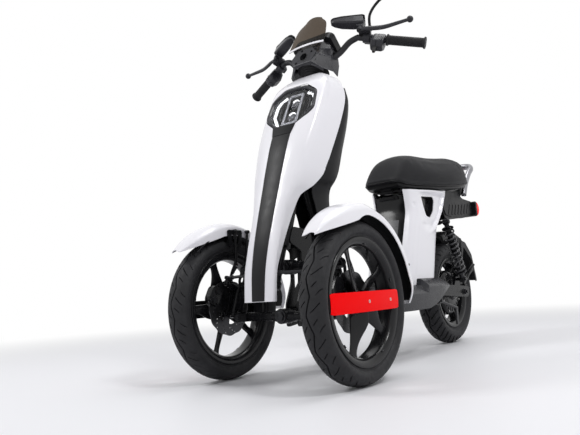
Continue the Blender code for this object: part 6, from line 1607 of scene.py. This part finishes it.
def build_cowl():
    """The faceted cover over the stem, with its round opening, the display and the screen."""
    builder = bmesh.new()
    ridge_highlights = []
    for s in BOTH:
        made = {key: builder.verts.new(column(down, ahead, s * x)) for key, (x, down, ahead) in COWL.items()}
        for face in COWL_FACES:
            builder.faces.new([made[key] for key in face.split()][::s])
    bmesh.ops.remove_doubles(builder, verts=builder.verts, dist=1e-5)
    bmesh.ops.recalc_face_normals(builder, faces=builder.faces)
    if sum((f.normal.dot(AHEAD) for f in builder.faces)) < 0:
        bmesh.ops.reverse_faces(builder, faces=builder.faces)
    body = thickened(finished(builder))
    openings = [rod((s * 0.050, 0.260, 1.094), (s * 0.118, 0.284, 1.142), 0.0150) for s in BOTH]
    # Thin ridges along the facet edges; their lighter grey is a painted highlight.
    for line in COWL_HIGHLIGHT_RIDGES:
        ends = [COWL[key] for key in line.split()]
        for s in BOTH:
            path = [column(down, ahead - 0.0004, s * x) for x, down, ahead in ends]
            ridge_highlights.append(tube(path, 0.0013, 10))
    piece("cowl_ridge_highlights", "steering", EDGE_HIGHLIGHT, ridge_highlights)
    body = cut(body, *openings)
    piece("cowl", "steering", GREY, [body], ["stem_cowl"], bevel=0.0022, sharp=14, segments=3)

    turn = Matrix((X_AXIS, UP_THE_RAKE, AHEAD)).transposed().to_4x4()
    face_place = Matrix.Translation(column(0.0, 0.0680)) @ turn
    outline = rounded(mirrored([(0.029, -COWL_TOP), (0.054, -COWL_MIDDLE), (0.036, -COWL_LOW)]), 0.003, 3)
    hole_at = (0.0, -0.0130)
    holes = [circle(hole_at, 0.0158, 48)]
    hole = ((-0.005, -0.004), (0.005, -0.004), (0.004, 0.004), (-0.003, 0.004))
    for x, y in ((0.033, 0.001), (-0.030, -0.032), (-0.012, 0.016)):
        holes.append(rounded([(x + a, y + b) for a, b in hole], 0.0015, 2))
    piece("cowl_face", "steering", GREY, [plate(outline, 0.0030, face_place, holes)], bevel=0.0007)
    ring = [(0.0, -0.010), (0.0060, -0.010), (0.0075, -0.0025), (0.0095, -0.0060), (0.0140, -0.0075),
            (0.0158, 0.0005), (0.0150, 0.0024), (0.0170, 0.0024), (0.0176, 0.0010),
            (0.0176, -0.012), (0.0, -0.012)]
    ring = turned(ring, face_place @ vec(*hole_at, 0.0), AHEAD, 56, loop=False)
    piece("cowl_ring", "steering", ALLOY_GREY, [ring])
    # A dark rubber boot round the column; it also fills the gap under the cowl with dark as painted shade.
    boot = [(0.020, -0.004), (0.031, 0.000)]
    for k in range(5):
        boot += [(0.033 + 0.005 * k, 0.006 * k + 0.003), (0.0385 + 0.005 * k, 0.006 * k + 0.006)]
    boot += [(0.054, 0.034), (0.020, 0.034)]
    piece("stem_boot_shade_fill", "steering", GRIP, [turned(boot, column(column_at(1.040)), UP_THE_RAKE, 56)])
    back = rounded(mirrored([(0.050, 0.020), (0.050, -0.038)]), 0.01, 3)
    piece("cowl_core", "steering", DARK, [plate(back, 0.002, face_place @ moved(0, 0, -0.010))])

    tilted = Matrix.Translation(column(-0.072, 0.004)) @ Matrix.Rotation(math.radians(-42), 4, "X")
    case = rounded(mirrored([(0.084, 0.040), (0.086, -0.030), (0.068, -0.042)]), 0.010, 5)
    piece("display_case", "steering", DARK, [plate(case, 0.034, tilted @ moved(0, 0, -0.004))], ["display"],
          bevel=0.0030, segments=3)
    glass = rounded(mirrored([(0.070, 0.033), (0.070, -0.030)]), 0.008, 5)
    glass = plate(glass, 0.0016, tilted @ moved(0, 0, 0.0134))
    piece("display_glass", "steering", GLOSS, [glass], bevel=0.0005)

    across = [w / 8 for w in range(-8, 9)]
    rows = []
    for rise in [i / 18 for i in range(19)]:
        wide = 0.078 * (1 - 0.30 * rise**1.7)
        wide *= math.sqrt(max(0.05, 1 - ramp(rise, 0.62, 1.0) ** 2 * 0.60))
        rows.append([column(-0.032 - 0.142 * rise - 0.004 * (1 - w * w) * rise,
                            0.0736 - 0.018 * rise - 0.008 * w * w, wide * w) for w in across])
    piece("fly_screen", "steering", SMOKE, [shell(rows, 0.0022)], ["screen"], bevel=0.0006, sharp=50)
    strip = [[column(down, 0.0765 - 0.0085 * w * w, 0.078 * w) for w in across]
             for down in (-0.030, -0.038)]
    piece("screen_strip", "steering", WHITE, [shell(strip, 0.0022)], bevel=0.0006)
    posts = [m for s in BOTH for m in socket_screw(column(-0.042, 0.0720, s * 0.030), AHEAD, 0.0046, 0.005)]
    piece("screen_screws", "steering", DARK, posts, bevel=0.0004)


# Rows of (place along the bar, half width, bottom, top) of the fluid's reservoir
TANK = (
    (-0.062, 0.0080, 0.001, 0.0100), (-0.050, 0.0135, -0.005, 0.0125), (-0.024, 0.0175, -0.013, 0.0125),
    (0.016, 0.0190, -0.019, 0.0125), (0.048, 0.0190, -0.021, 0.0125), (0.055, 0.0160, -0.016, 0.0110),
)
LID = ((-0.064, -0.0070), (-0.054, -0.0140), (-0.024, -0.0185), (0.052, -0.0198), (0.060, -0.0150),
       (0.060, 0.0150), (0.052, 0.0198), (-0.024, 0.0185), (-0.054, 0.0140), (-0.064, 0.0070))
SWITCH_BOX = ((0.0135, 0.011), (0.008, 0.017), (-0.016, 0.018), (-0.026, 0.004), (-0.026, -0.026),
              (-0.011, -0.047), (0.010, -0.047), (0.023, -0.032), (0.021, -0.019))


def build_perches():
    """Perches and reservoirs with their screws."""
    level = BAR_TURN @ Matrix.Rotation(-math.radians(14), 4, "Y")
    middle = on_bar(-0.040, 0.036, 0.030)
    tank = []
    for along, wide, low, high in TANK:
        ring = [(-wide, low + 0.004), (-wide * 0.75, low), (wide * 0.75, low), (wide, low + 0.004),
                (wide, high), (-wide, high)]
        tank.append([middle + level @ vec(along, a, b) for a, b in ring])
    pin = on_bar(0.012, 0.037, 0.008)
    shapes = [
        bore_rod(on_bar(0.022), on_bar(0.048), 0.0170, 0.01115), lofted(tank),
        block((0.044, 0.030, 0.012), on_bar(0.025, 0.020, 0.013), BAR_TURN),
        block((0.024, 0.026, 0.036), on_bar(0.008, 0.034, 0.026), BAR_TURN),
        rod(pin + LEVER_AXIS * 0.004, pin - LEVER_AXIS * 0.018, 0.0048),
        block((0.020, 0.012, 0.012), on_bar(0.035, -0.0165, 0.0), BAR_TURN),
    ]
    pair("perch", "steering", GREY, shapes, ["brake_perch"], bevel=0.0014)
    lid = rounded(LID, 0.004)
    top = Matrix.Translation(middle) @ level @ moved(0, 0, 0.0152)
    inner = [(x * 0.86, y * 0.80) for x, y in lid]
    pair("tank_lid", "steering", DARK, [plate(lid, 0.005, top), plate(inner, 0.0065, top)], bevel=0.0014)
    heads = []
    for x in (-0.046, 0.048):
        heads += socket_screw(top @ vec(x, 0.0, 0.0026), LEVER_AXIS, 0.0036, 0.0022)
    for d in (0.027, 0.043):
        heads += socket_screw(on_bar(d, -0.0165, 0.006), LEVER_AXIS, 0.0032)
    heads += hex_bolt(pin - LEVER_AXIS * 0.0155, -LEVER_AXIS, 0.0066, 0.0030)
    pair("perch_screws", "steering", ALLOY_GREY, heads, bevel=0.0003)


def build_levers():
    """The brake levers, each with a ball at its end."""
    low = -0.0003
    places = ((0.012, 0.037), (0.034, 0.044), (0.062, 0.046), (0.100, 0.050), (0.145, 0.064), (0.1860, 0.078))
    pivot = on_bar(*places[0], low)
    path = spline([on_bar(along, ahead, low) for along, ahead in places], 5)
    shares = [i / (len(path) - 1) for i in range(len(path))]
    path = [p + LEVER_AXIS * 0.024 * ramp(share, 0.25, 1.15) for p, share in zip(path, shares)]
    sizes = [0.0064 - 0.0010 * ramp(share, 0.0, 0.12) + 0.0010 * ramp(share, 0.14, 0.34)
             - 0.0016 * ramp(share, 0.45, 1.0) for share in shares]
    blade = tube(path, sizes, 20, flat=1.55, normal=LEVER_AXIS)
    boss = bore_rod(pivot + LEVER_AXIS * 0.0062, pivot - LEVER_AXIS * 0.0062, 0.0105, 0.0052)
    shapes = [blade, boss, ball(path[-1], 0.0116, 28)]
    for side, word in SIDES:
        piece("lever_blade_" + word, "lever_" + word, GREY, shapes, ["brake_lever_" + word],
              bevel=0.0008, side=side)


def build_switches():
    """The switch boxes with their seams and buttons, and the indicator's switch."""
    def box_ring(along, grow):
        """A ring round the box, at a place along the bar."""
        return [on_bar(BOX_AT + along, 0.002 + a * grow, (b + 0.015) * grow - 0.017) for a, b in SWITCH_BOX]

    steps = ((-0.004, 0.90), (0.001, 1.04), (0.036, 1.06), (0.041, 0.94))
    box = lofted([box_ring(along, grow) for along, grow in steps])
    collar = bore_rod(on_bar(0.048), on_bar(0.064), 0.0150, 0.01115)
    for side, word, nodes in ((1, "left", ["switch_housing_left"]), (-1, "right", [])):
        piece("switch_box_" + word, "steering", GREY, [box, collar], nodes,
              bevel=0.0020, segments=3, side=side)
    pair("switch_seam", "steering", DARK, [lofted([box_ring(0.0165, 1.07), box_ring(0.0182, 1.07)])])
    buttons = [rod(on_bar(0.0700, -0.0210, -0.010), on_bar(0.0700, -0.0255, -0.010), 0.0050),
               block((0.012, 0.004, 0.008), on_bar(0.088, -0.0230, -0.012), BAR_TURN),
               block((0.014, 0.004, 0.006), on_bar(0.080, -0.0200, 0.006), BAR_TURN)]
    pair("switch_buttons", "steering", GLOSS, buttons, bevel=0.0010)
    stem = [(-0.005, 0.002), (0.005, 0.002), (0.0075, -0.018), (0.0062, -0.036), (0.003, -0.040),
            (-0.004, -0.039), (-0.0072, -0.018)]
    upright = Matrix(((1, 0, 0, 0), (0, 0, 1, 0), (0, 1, 0, 0), (0, 0, 0, 1)))
    place = Matrix.Translation(on_bar(0.078, 0.008, -0.036)) @ BAR_TURN @ upright
    stem = plate(rounded(stem, 0.002, 3), 0.0085, place)
    piece("turn_switch", "indicator", GLOSS, [stem], ["indicator_switch"], bevel=0.0016, segments=3)


def build_grips():
    """The ribbed grips, with a flange at both ends, and the bar's plugs."""
    outer_end = BAR_LENGTH + 0.0015
    profile = [(0.01115, 0.0), (0.0200, 0.0), (0.0206, 0.002), (0.0200, 0.004), (0.0168, 0.007)]
    profile = [(r, GRIP_START + along) for r, along in profile]
    ribs = 26
    start, end = GRIP_START + 0.010, outer_end - 0.010
    step = (end - start) / ribs
    rib = ((0.0166, 0.0), (0.0166, 0.55), (0.0158, 0.65), (0.0158, 0.92))
    for i in range(ribs):
        profile += [(r, start + step * (i + along)) for r, along in rib]
    profile += [(0.0166, end), (0.0172, outer_end - 0.006), (0.0205, outer_end - 0.0045),
                (0.0208, outer_end - 0.001), (0.0200, outer_end), (0.01115, outer_end)]
    grip = turned(profile, BAR_BEND, BAR_OUT, 48)
    piece("hand_grip_left", "steering", GRIP, [grip], ["grip_left"], sharp=40)
    piece("hand_grip_right", "throttle", GRIP, [grip], ["throttle_grip"], sharp=40, side=-1)
    cap = [(0.0, 0.0), (0.0085, 0.0), (0.0090, 0.0012), (0.0085, 0.0030), (0.0, 0.0034)]
    cap = turned(cap, BAR_END + BAR_OUT * 0.0002, BAR_OUT, 40, loop=False)
    pair("bar_plug", "steering", ALLOY_GREY, [cap])


def build_mirror():
    """The mirror with its stalk, nut and glass."""
    foot = on_bar(0.040, 0.020, 0.0193)
    head = vec(0.300, 0.366, 1.385)
    turn = Matrix.Rotation(math.radians(-8), 4, "Z")

    def oval(scale, depth):
        """A ring round the mirror's head."""
        wide, tall = 0.070 * scale, 0.043 * scale
        return [head + turn @ vec(wide * power(math.cos(t), 0.7), depth, tall * power(math.sin(t), 0.7))
                for t in turns(48)]

    rings = ((-0.018, 0.20), (-0.0175, 0.50), (-0.015, 0.76), (-0.009, 0.93), (0.000, 0.995), (0.008, 1.0),
             (0.0112, 0.985), (0.0112, 0.95), (0.0095, 0.935), (0.0095, 0.3))
    path = [foot + LEVER_AXIS * 0.006, foot + vec(0.002, 0.008, 0.060), foot + vec(0.030, 0.030, 0.110),
            foot + vec(0.082, 0.040, 0.135), head + vec(-0.010, 0.0, -0.012)]
    shapes = [lofted([oval(scale, depth) for depth, scale in rings]), tube(spline(path, 6), 0.0050),
              rod(foot, foot + LEVER_AXIS * 0.012, 0.0085, 6),
              rod(foot + LEVER_AXIS * 0.011, foot + LEVER_AXIS * 0.020, 0.0070, 32, 0.0056)]
    piece("mirror_shell", "mirror_body", DARK, shapes, ["mirror"], bevel=0.0004, sharp=40)
    glass = lofted([oval(0.925 * k, 0.0100 + 0.0006 * (1 - k)) for k in (1.0, 0.6, 0.2)])
    piece("mirror_glass", "mirror_body", CHROME, [glass])


def build_controls():
    """Perches, reservoirs, levers, switches, grips and the mirror."""
    build_perches()
    build_levers()
    build_switches()
    build_grips()
    build_mirror()


# Frame and rear end

EAR_X = LEG_X + SWING_LEG[0] / 2 + 0.0043


def build_frame():
    """The welded frame."""
    top, bottom = column_at(1.000), column_at(0.425)
    upper_back, lower_back = UPPER_ARM[0] + ARM_DEPTH / 2, LOWER_ARM[0] + ARM_DEPTH / 2
    bore = COLUMN_RADIUS + 0.004
    shapes = [bore_rod(column(bottom), column(top), 0.022, bore, 40)]
    shapes += [bore_rod(column(h), column(h - 0.012), 0.0245, bore, 40) for h in (bottom, top + 0.012)]
    outline = [(lower_back + 0.012, 0.168), (lower_back + 0.080, 0.176), (upper_back + 0.064, 0.310),
               (upper_back + 0.070, 0.480), (0.030, 0.490), (0.008, 0.440),
               (upper_back + 0.010, 0.412), (upper_back + 0.007, 0.315), (lower_back + 0.012, 0.241)]
    window = ((0.022, 0.285), (0.046, 0.310), (0.050, 0.395), (0.024, 0.385))
    window = [(upper_back + y, z) for y, z in window]
    for s in BOTH:
        holes = [rounded(window, 0.007, 3)]
        shapes.append(plate(rounded(outline, 0.012), 0.006, side_plane(s * 0.0225), holes))
    for (y, z), back in ((UPPER_ARM, upper_back), (LOWER_ARM, lower_back)):
        shapes.append(rod((0, back + 0.0003, z), (0, back + 0.050, z), 0.021))
        shapes.append(rod((0, y + 0.040, z), (0, y - ARM_DEPTH / 2 - 0.0023, z), 0.010))
    shapes.append(tube([(0, 0.062, 0.450), (0, 0.222, 0.440)], 0.0205, 32))
    shapes.append(tube(spline([(0, 0.055, 0.205), (0, 0.200, 0.235), (0, 0.270, 0.270)], 6), 0.020, 32))
    down_z = DECK_TOP - 0.0245
    down = [(0, 0.118, 0.720), (0, 0.212, 0.460), (0, 0.236, 0.370), (0, 0.258, 0.295),
            (0, 0.296, down_z + 0.006), (0, 0.345, down_z), (0, 0.400, down_z)]
    shapes.append(tube(spline(down, 6), 0.0175, 32))
    rear = SWING_Y
    for y in (0.385, rear - 0.235, rear - 0.105, rear - 0.045):
        shapes.append(rod((-RAIL_X, y, RAIL_Z), (RAIL_X, y, RAIL_Z), 0.012))
    # As distances behind the swingarm's axle and heights
    seat_rail = ((-0.245, RAIL_Z), (-0.215, 0.440), (-0.168, 0.600), (-0.172, 0.655), (-0.120, 0.664),
                 (0.115, 0.682), (0.320, 0.693))
    brace = ((-0.105, RAIL_Z), (-0.075, 0.480), (0.015, 0.640), (0.060, 0.678))
    ear = ((-0.070, 0.268), (-0.075, 0.190), (-0.040, 0.185), (0.020, 0.228), (0.022, 0.268), (-0.005, 0.281))
    ear = rounded([(rear + y, z) for y, z in ear], 0.010)
    bright = []
    for s in BOTH:
        x = s * RAIL_X
        ear_x = s * EAR_X
        shapes.append(rod((x, 0.372, RAIL_Z), (x, rear - 0.030, RAIL_Z), 0.014))
        for line in (seat_rail, brace):
            shapes.append(tube(spline([(s * 0.060, rear + y, z) for y, z in line], 5), 0.0095))
        shapes.append(plate(ear, 0.008, side_plane(ear_x)))
        shapes.append(rod((x, rear - 0.050, RAIL_Z), (ear_x, rear - 0.050, RAIL_Z), 0.010))
        shapes.append(rod((ear_x, rear, SWING_Z), (s * (LEG_X - 0.010), rear, SWING_Z), 0.009))
        bright += hex_bolt((ear_x + s * 0.004, rear, SWING_Z), (s, 0, 0), 0.0120, 0.006)
        bright += hex_bolt((ear_x + s * 0.004, rear - 0.050, RAIL_Z - 0.018), (s, 0, 0), 0.0070, 0.004)
        shapes.append(rod((s * 0.060, *SEAT_HINGE), (s * 0.060, rear - 0.165, 0.655), 0.0055))
    shapes.append(rod((-0.062, *SEAT_HINGE), (0.062, *SEAT_HINGE), 0.004))
    shapes.append(rod((-0.060, rear - 0.024, 0.565), (0.060, rear - 0.024, 0.565), 0.009))
    arm = [(0.052, rear - 0.026, 0.562), (0.062, rear + 0.040, 0.555), (0.076, *SHOCK_TOP.yz),
           (0.094, *SHOCK_TOP.yz)]
    shapes.append(tube(spline(arm, 5), 0.010))
    shapes.append(rod((0.085, *SHOCK_TOP.yz), (SHOCK_X + 0.012, *SHOCK_TOP.yz), 0.007))
    bright += hex_bolt((SHOCK_X + 0.0120, *SHOCK_TOP.yz), X_AXIS, 0.0088, 0.005)
    shapes.append(rod((EAR_X, *STAND_PIN), (EAR_X + 0.020, *STAND_PIN), 0.005))
    bright += hex_bolt((EAR_X + 0.020, *STAND_PIN), X_AXIS, 0.0080, 0.004)
    for y, z in (UPPER_ARM, LOWER_ARM):
        bright += hex_bolt((0, y - ARM_DEPTH / 2 - 0.0015, z), (0, -1, 0), 0.0155, 0.0060)
    piece("chassis_frame", "chassis", COAT, shapes, ["frame"], bevel=0.0010)
    piece("frame_bolts", "chassis", ALLOY_GREY, bright, bevel=0.0005)


def build_swingarm():
    """The fork with its lug for the shock absorber, and the axle's nuts."""
    wide, tall = SWING_LEG
    end_y = WHEELBASE + 0.055
    outline = [(SWING_Y - 0.020, SWING_Z - tall / 2), (end_y - 0.020, REAR_AXLE_Z - tall / 2 - 0.004),
               (end_y, REAR_AXLE_Z - tall / 4), (end_y, REAR_AXLE_Z + tall / 2),
               (WHEELBASE - 0.050, REAR_AXLE_Z + tall / 2 + 0.008), (SWING_Y + 0.010, SWING_Z + tall / 2),
               (SWING_Y - 0.020, SWING_Z + tall / 4)]
    shapes = [rod((-LEG_X, SWING_Y, SWING_Z), (LEG_X, SWING_Y, SWING_Z), 0.017)]
    bright = []
    outer = LEG_X + wide / 2
    for s in BOTH:
        shapes.append(plate(rounded(outline, 0.010), wide, side_plane(s * LEG_X)))
        shapes.append(rod((s * 0.0463, WHEELBASE, REAR_AXLE_Z), (s * LEG_X, WHEELBASE, REAR_AXLE_Z), 0.016))
        axle = vec(s * outer, WHEELBASE, REAR_AXLE_Z)
        bright += hex_bolt(axle, (s, 0, 0), 0.0135, 0.009)
        bright.append(rod(axle, axle + X_AXIS * s * 0.016, 0.0070))
        bright += hex_bolt((s * LEG_X, end_y + 0.001, REAR_AXLE_Z + 0.002), (0, 1, 0), 0.0065, 0.006)
    foot = SHOCK_FOOT
    lug = [(foot.y - 0.040, REAR_AXLE_Z + 0.018), (foot.y + 0.035, REAR_AXLE_Z + 0.018),
           (foot.y + 0.014, foot.z + 0.012), (foot.y - 0.014, foot.z + 0.012)]
    shapes.append(plate(rounded(lug, 0.006), 0.012, side_plane(LEG_X + 0.004)))
    shapes.append(rod((LEG_X, *foot.yz), (SHOCK_X + 0.012, *foot.yz), 0.007))
    bright += hex_bolt((SHOCK_X + 0.012, *foot.yz), X_AXIS, 0.0088, 0.005)
    piece("swing_fork", "swingarm", COAT, shapes, ["swingarm"], bevel=0.0022, segments=3)
    piece("axle_nuts", "swingarm", ALLOY_GREY, bright, bevel=0.0005)


def build_hugger():
    """The rear mudguard with its stays and fins."""
    crown = REAR_RADIUS + 0.056
    half = REAR_WIDTH / 2 + 0.010
    section = ((-1.0, 0.034), (-0.99, 0.022), (-0.93, 0.011), (-0.55, 0.003), (0.0, 0.0), (0.55, 0.003),
               (0.93, 0.011), (0.99, 0.022), (1.0, 0.034))

    def round_axle(x, radius, degrees):
        return vec(x, WHEELBASE, REAR_AXLE_Z) + spin(math.radians(degrees)) * radius

    rows = []
    for degrees in [10 + 102 * i / 40 for i in range(41)]:
        rows.append(spline([round_axle(half * w, crown - drop, degrees) for w, drop in section], 2))
    shapes = [shell(rows, inwards=False)]
    leg_top = REAR_AXLE_Z + SWING_LEG[1] / 2 + 0.003
    fin = [(WHEELBASE + 0.014, leg_top + 0.002), (WHEELBASE + 0.046, leg_top + 0.002)]
    for reach, degrees in ((0.030, 24), (0.012, 40), (0.012, 58), (0.030, 76)):
        fin.append(tuple(round_axle(0.0, crown - reach, degrees).yz))
    opening = []
    for share, degrees in ((0.40, 38), (0.84, 34), (0.84, 66), (0.40, 62)):
        out = spin(math.radians(degrees)) * share
        opening.append((WHEELBASE + 0.022 + crown * out.y, REAR_AXLE_Z + 0.018 + (crown - 0.034) * out.z))
    fin, opening = rounded(fin, 0.008, 3), rounded(opening, 0.010, 3)
    for s in BOTH:
        x = s * (half + 0.002)
        base = vec(s * LEG_X, WHEELBASE + 0.030, leg_top + 0.0075)
        for degrees in (28, 70):
            shapes.append(tube([base, round_axle(x, crown - 0.020, degrees)], 0.0052, 16))
        shapes.append(block((0.024, 0.030, 0.008), base - vec(0, 0, 0.003)))
        shapes.append(plate(fin, 0.0036, side_plane(x + s * 0.0012), [opening]))
    piece("rear_hugger", "swingarm", DARK, shapes, ["rear_mudguard"], bevel=0.0009, sharp=45)


def build_shock():
    """The shock absorber and its spring."""
    top, foot = SHOCK_TOP, SHOCK_FOOT
    down = (foot - top).normalized()
    seat = (foot - top).length - 0.040
    across = X_AXIS * 0.010
    cup = [(0.0145, 0.030), (0.0255, 0.030), (0.0262, 0.032), (0.0262, 0.0335), (0.0255, 0.0355),
           (0.0145, 0.0355)]
    tube_wall = [(0.0066, 0.036), (0.0140, 0.036), (0.0140, 0.156), (0.0130, 0.160), (0.0066, 0.160)]
    body = [bore_rod(top - across, top + across, 0.0145, 0.0074),
            rod(top + down * 0.010, top + down * 0.040, 0.0110),
            turned(cup, top, down, 48), turned(tube_wall, top, down, 40)]
    piece("damper_body", "shock_body", COAT, body, ["shock_body"], bevel=0.0008)
    cup = ((0.0060, 0.0), (0.0255, 0.0), (0.0262, 0.002), (0.0255, 0.006), (0.0060, 0.006))
    cup = [(r, seat + along) for r, along in cup]
    slide = [bore_rod(foot - across, foot + across, 0.0145, 0.0078),
             rod(top + down * 0.112, foot - down * 0.010, 0.0060), turned(cup, top, down, 48),
             rod(top + down * (seat + 0.003), foot - down * 0.008, 0.0110)]
    piece("damper_rod", "shock_rod", ALLOY_GREY, slide, ["shock_rod"], bevel=0.0008)
    start, end = 0.0399, seat - 0.0039
    turn = aim(down)
    coils, steps = 9, 32
    coil = []
    for i in range(coils * steps + 1):
        angle = math.tau * i / steps
        out = turn @ vec(0.0215 * math.cos(angle), 0.0215 * math.sin(angle), 0.0)
        coil.append(top + out + down * (start + (end - start) * i / (coils * steps)))
    spring = piece("coil", "shock_body", COIL_SHEEN, [tube(coil, 0.0042, 14)], ["shock_spring"])
    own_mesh(spring)


def build_stand():
    """The side stand, folded up."""
    x = EAR_X + 0.0098
    y, z = STAND_PIN
    tang = [(y + 0.160, z - 0.040), (y + 0.180, z - 0.034), (y + 0.176, z - 0.110), (y + 0.160, z - 0.112)]
    shapes = [bore_rod((x - 0.0050, y, z), (x + 0.0050, y, z), 0.0125, 0.0054),
              rod((x, y, z), (x, y + 0.175, z - 0.040), 0.0060),
              plate(rounded(tang, 0.005, 3), 0.0080, side_plane(x))]
    piece("stand_leg", "side_stand", ALLOY_GREY, shapes, ["side_stand"], bevel=0.0012)


# The stage

FADE_START, FADE_END = 1.3, 4.5
STUDIO_STRENGTH = 0.44
# Each lamp's name, place, aim, width and watts
LAMPS = (
    ("key", (-2.2, -2.6, 3.0), (0, -0.1, 0.5), 1.1, 44.0),
    ("top", (0.6, 0.4, 3.6), (0, 0, 0.5), 1.8, 42.0),
    ("side", (2.5, -1.0, 3.3), (0, 0.2, 0.5), 0.7, 46.0),
)


def build_floor():
    """A plain pale floor that fades to white."""
    builder = bmesh.new()
    bmesh.ops.create_grid(builder, x_segments=1, y_segments=1, size=14.0)
    floor = placed("floor", finished(builder))
    made = bpy.data.materials.new("pale_floor")
    made.use_nodes = True
    tree = made.node_tree
    shader = tree.nodes["Principled BSDF"]
    shader.inputs["Base Color"].default_value = (0.83, 0.83, 0.855, 1.0)
    shader.inputs["Roughness"].default_value = 0.55
    place = add_node(tree, "ShaderNodeTexCoord").outputs["Object"]
    distance = add_node(tree, "ShaderNodeVectorMath", {0: place}, operation="LENGTH").outputs["Value"]
    values = {"Value": distance, "From Min": FADE_START, "From Max": FADE_END}
    fade = add_node(tree, "ShaderNodeMapRange", values, interpolation_type="SMOOTHSTEP").outputs["Result"]
    glow = add_node(tree, "ShaderNodeEmission", {"Color": (1.0, 1.0, 1.0, 1.0)}).outputs["Emission"]
    mix = add_node(tree, "ShaderNodeMixShader", {"Fac": fade, 1: shader.outputs["BSDF"], 2: glow})
    tree.links.new(mix.outputs["Shader"], tree.nodes["Material Output"].inputs["Surface"])
    floor.data.materials.append(made)


def build_studio():
    """A pale sky that the camera, glass and mirrors see as white, and three soft lamps."""
    world = bpy.data.worlds.new("studio")
    bpy.context.scene.world = world
    world.use_nodes = True
    tree = world.node_tree
    sky = tree.nodes["Background"]
    sky.inputs["Color"].default_value = (0.96, 0.97, 1.0, 1.0)
    sky.inputs["Strength"].default_value = STUDIO_STRENGTH
    seen = add_node(tree, "ShaderNodeBackground", {"Color": (1.0, 1.0, 1.0, 1.0)}).outputs["Background"]
    rays = add_node(tree, "ShaderNodeLightPath").outputs
    shown = rays["Is Camera Ray"]
    for kind in ("Is Transmission Ray", "Is Glossy Ray"):
        shown = add_node(tree, "ShaderNodeMath", {0: shown, 1: rays[kind]}, operation="MAXIMUM").outputs[0]
    mix = add_node(tree, "ShaderNodeMixShader", {"Fac": shown, 1: sky.outputs["Background"], 2: seen})
    tree.links.new(mix.outputs["Shader"], tree.nodes["World Output"].inputs["Surface"])
    for name, place, aim_at, size, watts in LAMPS:
        lamp = bpy.data.lights.new(name, "AREA")
        lamp.shape = "SQUARE"
        lamp.size = size
        lamp.energy = watts
        thing = placed(name, lamp)
        thing.location = place
        thing.rotation_mode = "QUATERNION"
        thing.rotation_quaternion = (Vector(aim_at) - Vector(place)).to_track_quat("-Z", "Y")


# The photograph's view of the body, as fitted: degrees, pixels and metres
AZIMUTH, PITCH, ROLL = (math.radians(angle) for angle in (37.651, -6.923, -3.557))
FOCAL_PIXELS = 609.02
PHOTO_PIXELS = 580
SENSOR = 36.0
EYE = vec(1.2164, -1.5259 + DATUM_Y, 0.2813)


def build_camera():
    """The photograph's view of the body."""
    level = vec(-math.sin(AZIMUTH), math.cos(AZIMUTH), 0.0)
    forward = level * math.cos(PITCH) - vec(0.0, 0.0, math.sin(PITCH))
    right = vec(math.cos(AZIMUTH), math.sin(AZIMUTH), 0.0)
    up = right.cross(forward)
    across = right * math.cos(ROLL) + up * math.sin(ROLL)
    upright = -right * math.sin(ROLL) + up * math.cos(ROLL)
    camera = bpy.data.cameras.new("camera")
    camera.sensor_width = SENSOR
    camera.lens = SENSOR * FOCAL_PIXELS / PHOTO_PIXELS
    thing = placed("camera", camera)
    turn = Matrix((across, upright, -forward)).transposed().to_4x4()
    thing.matrix_world = Matrix.Translation(EYE) @ turn
    bpy.context.scene.camera = thing


bpy.context.scene.view_settings.view_transform = "Standard"
build_camera()
build_floor()
build_studio()
build_front()
build_shield()
build_deck()
build_battery()
build_tail()
build_seat()
build_linkage()
build_front_wheels()
build_rear_wheel()
build_steering()
build_frame()
build_swingarm()
build_hugger()
build_shock()
build_stand()
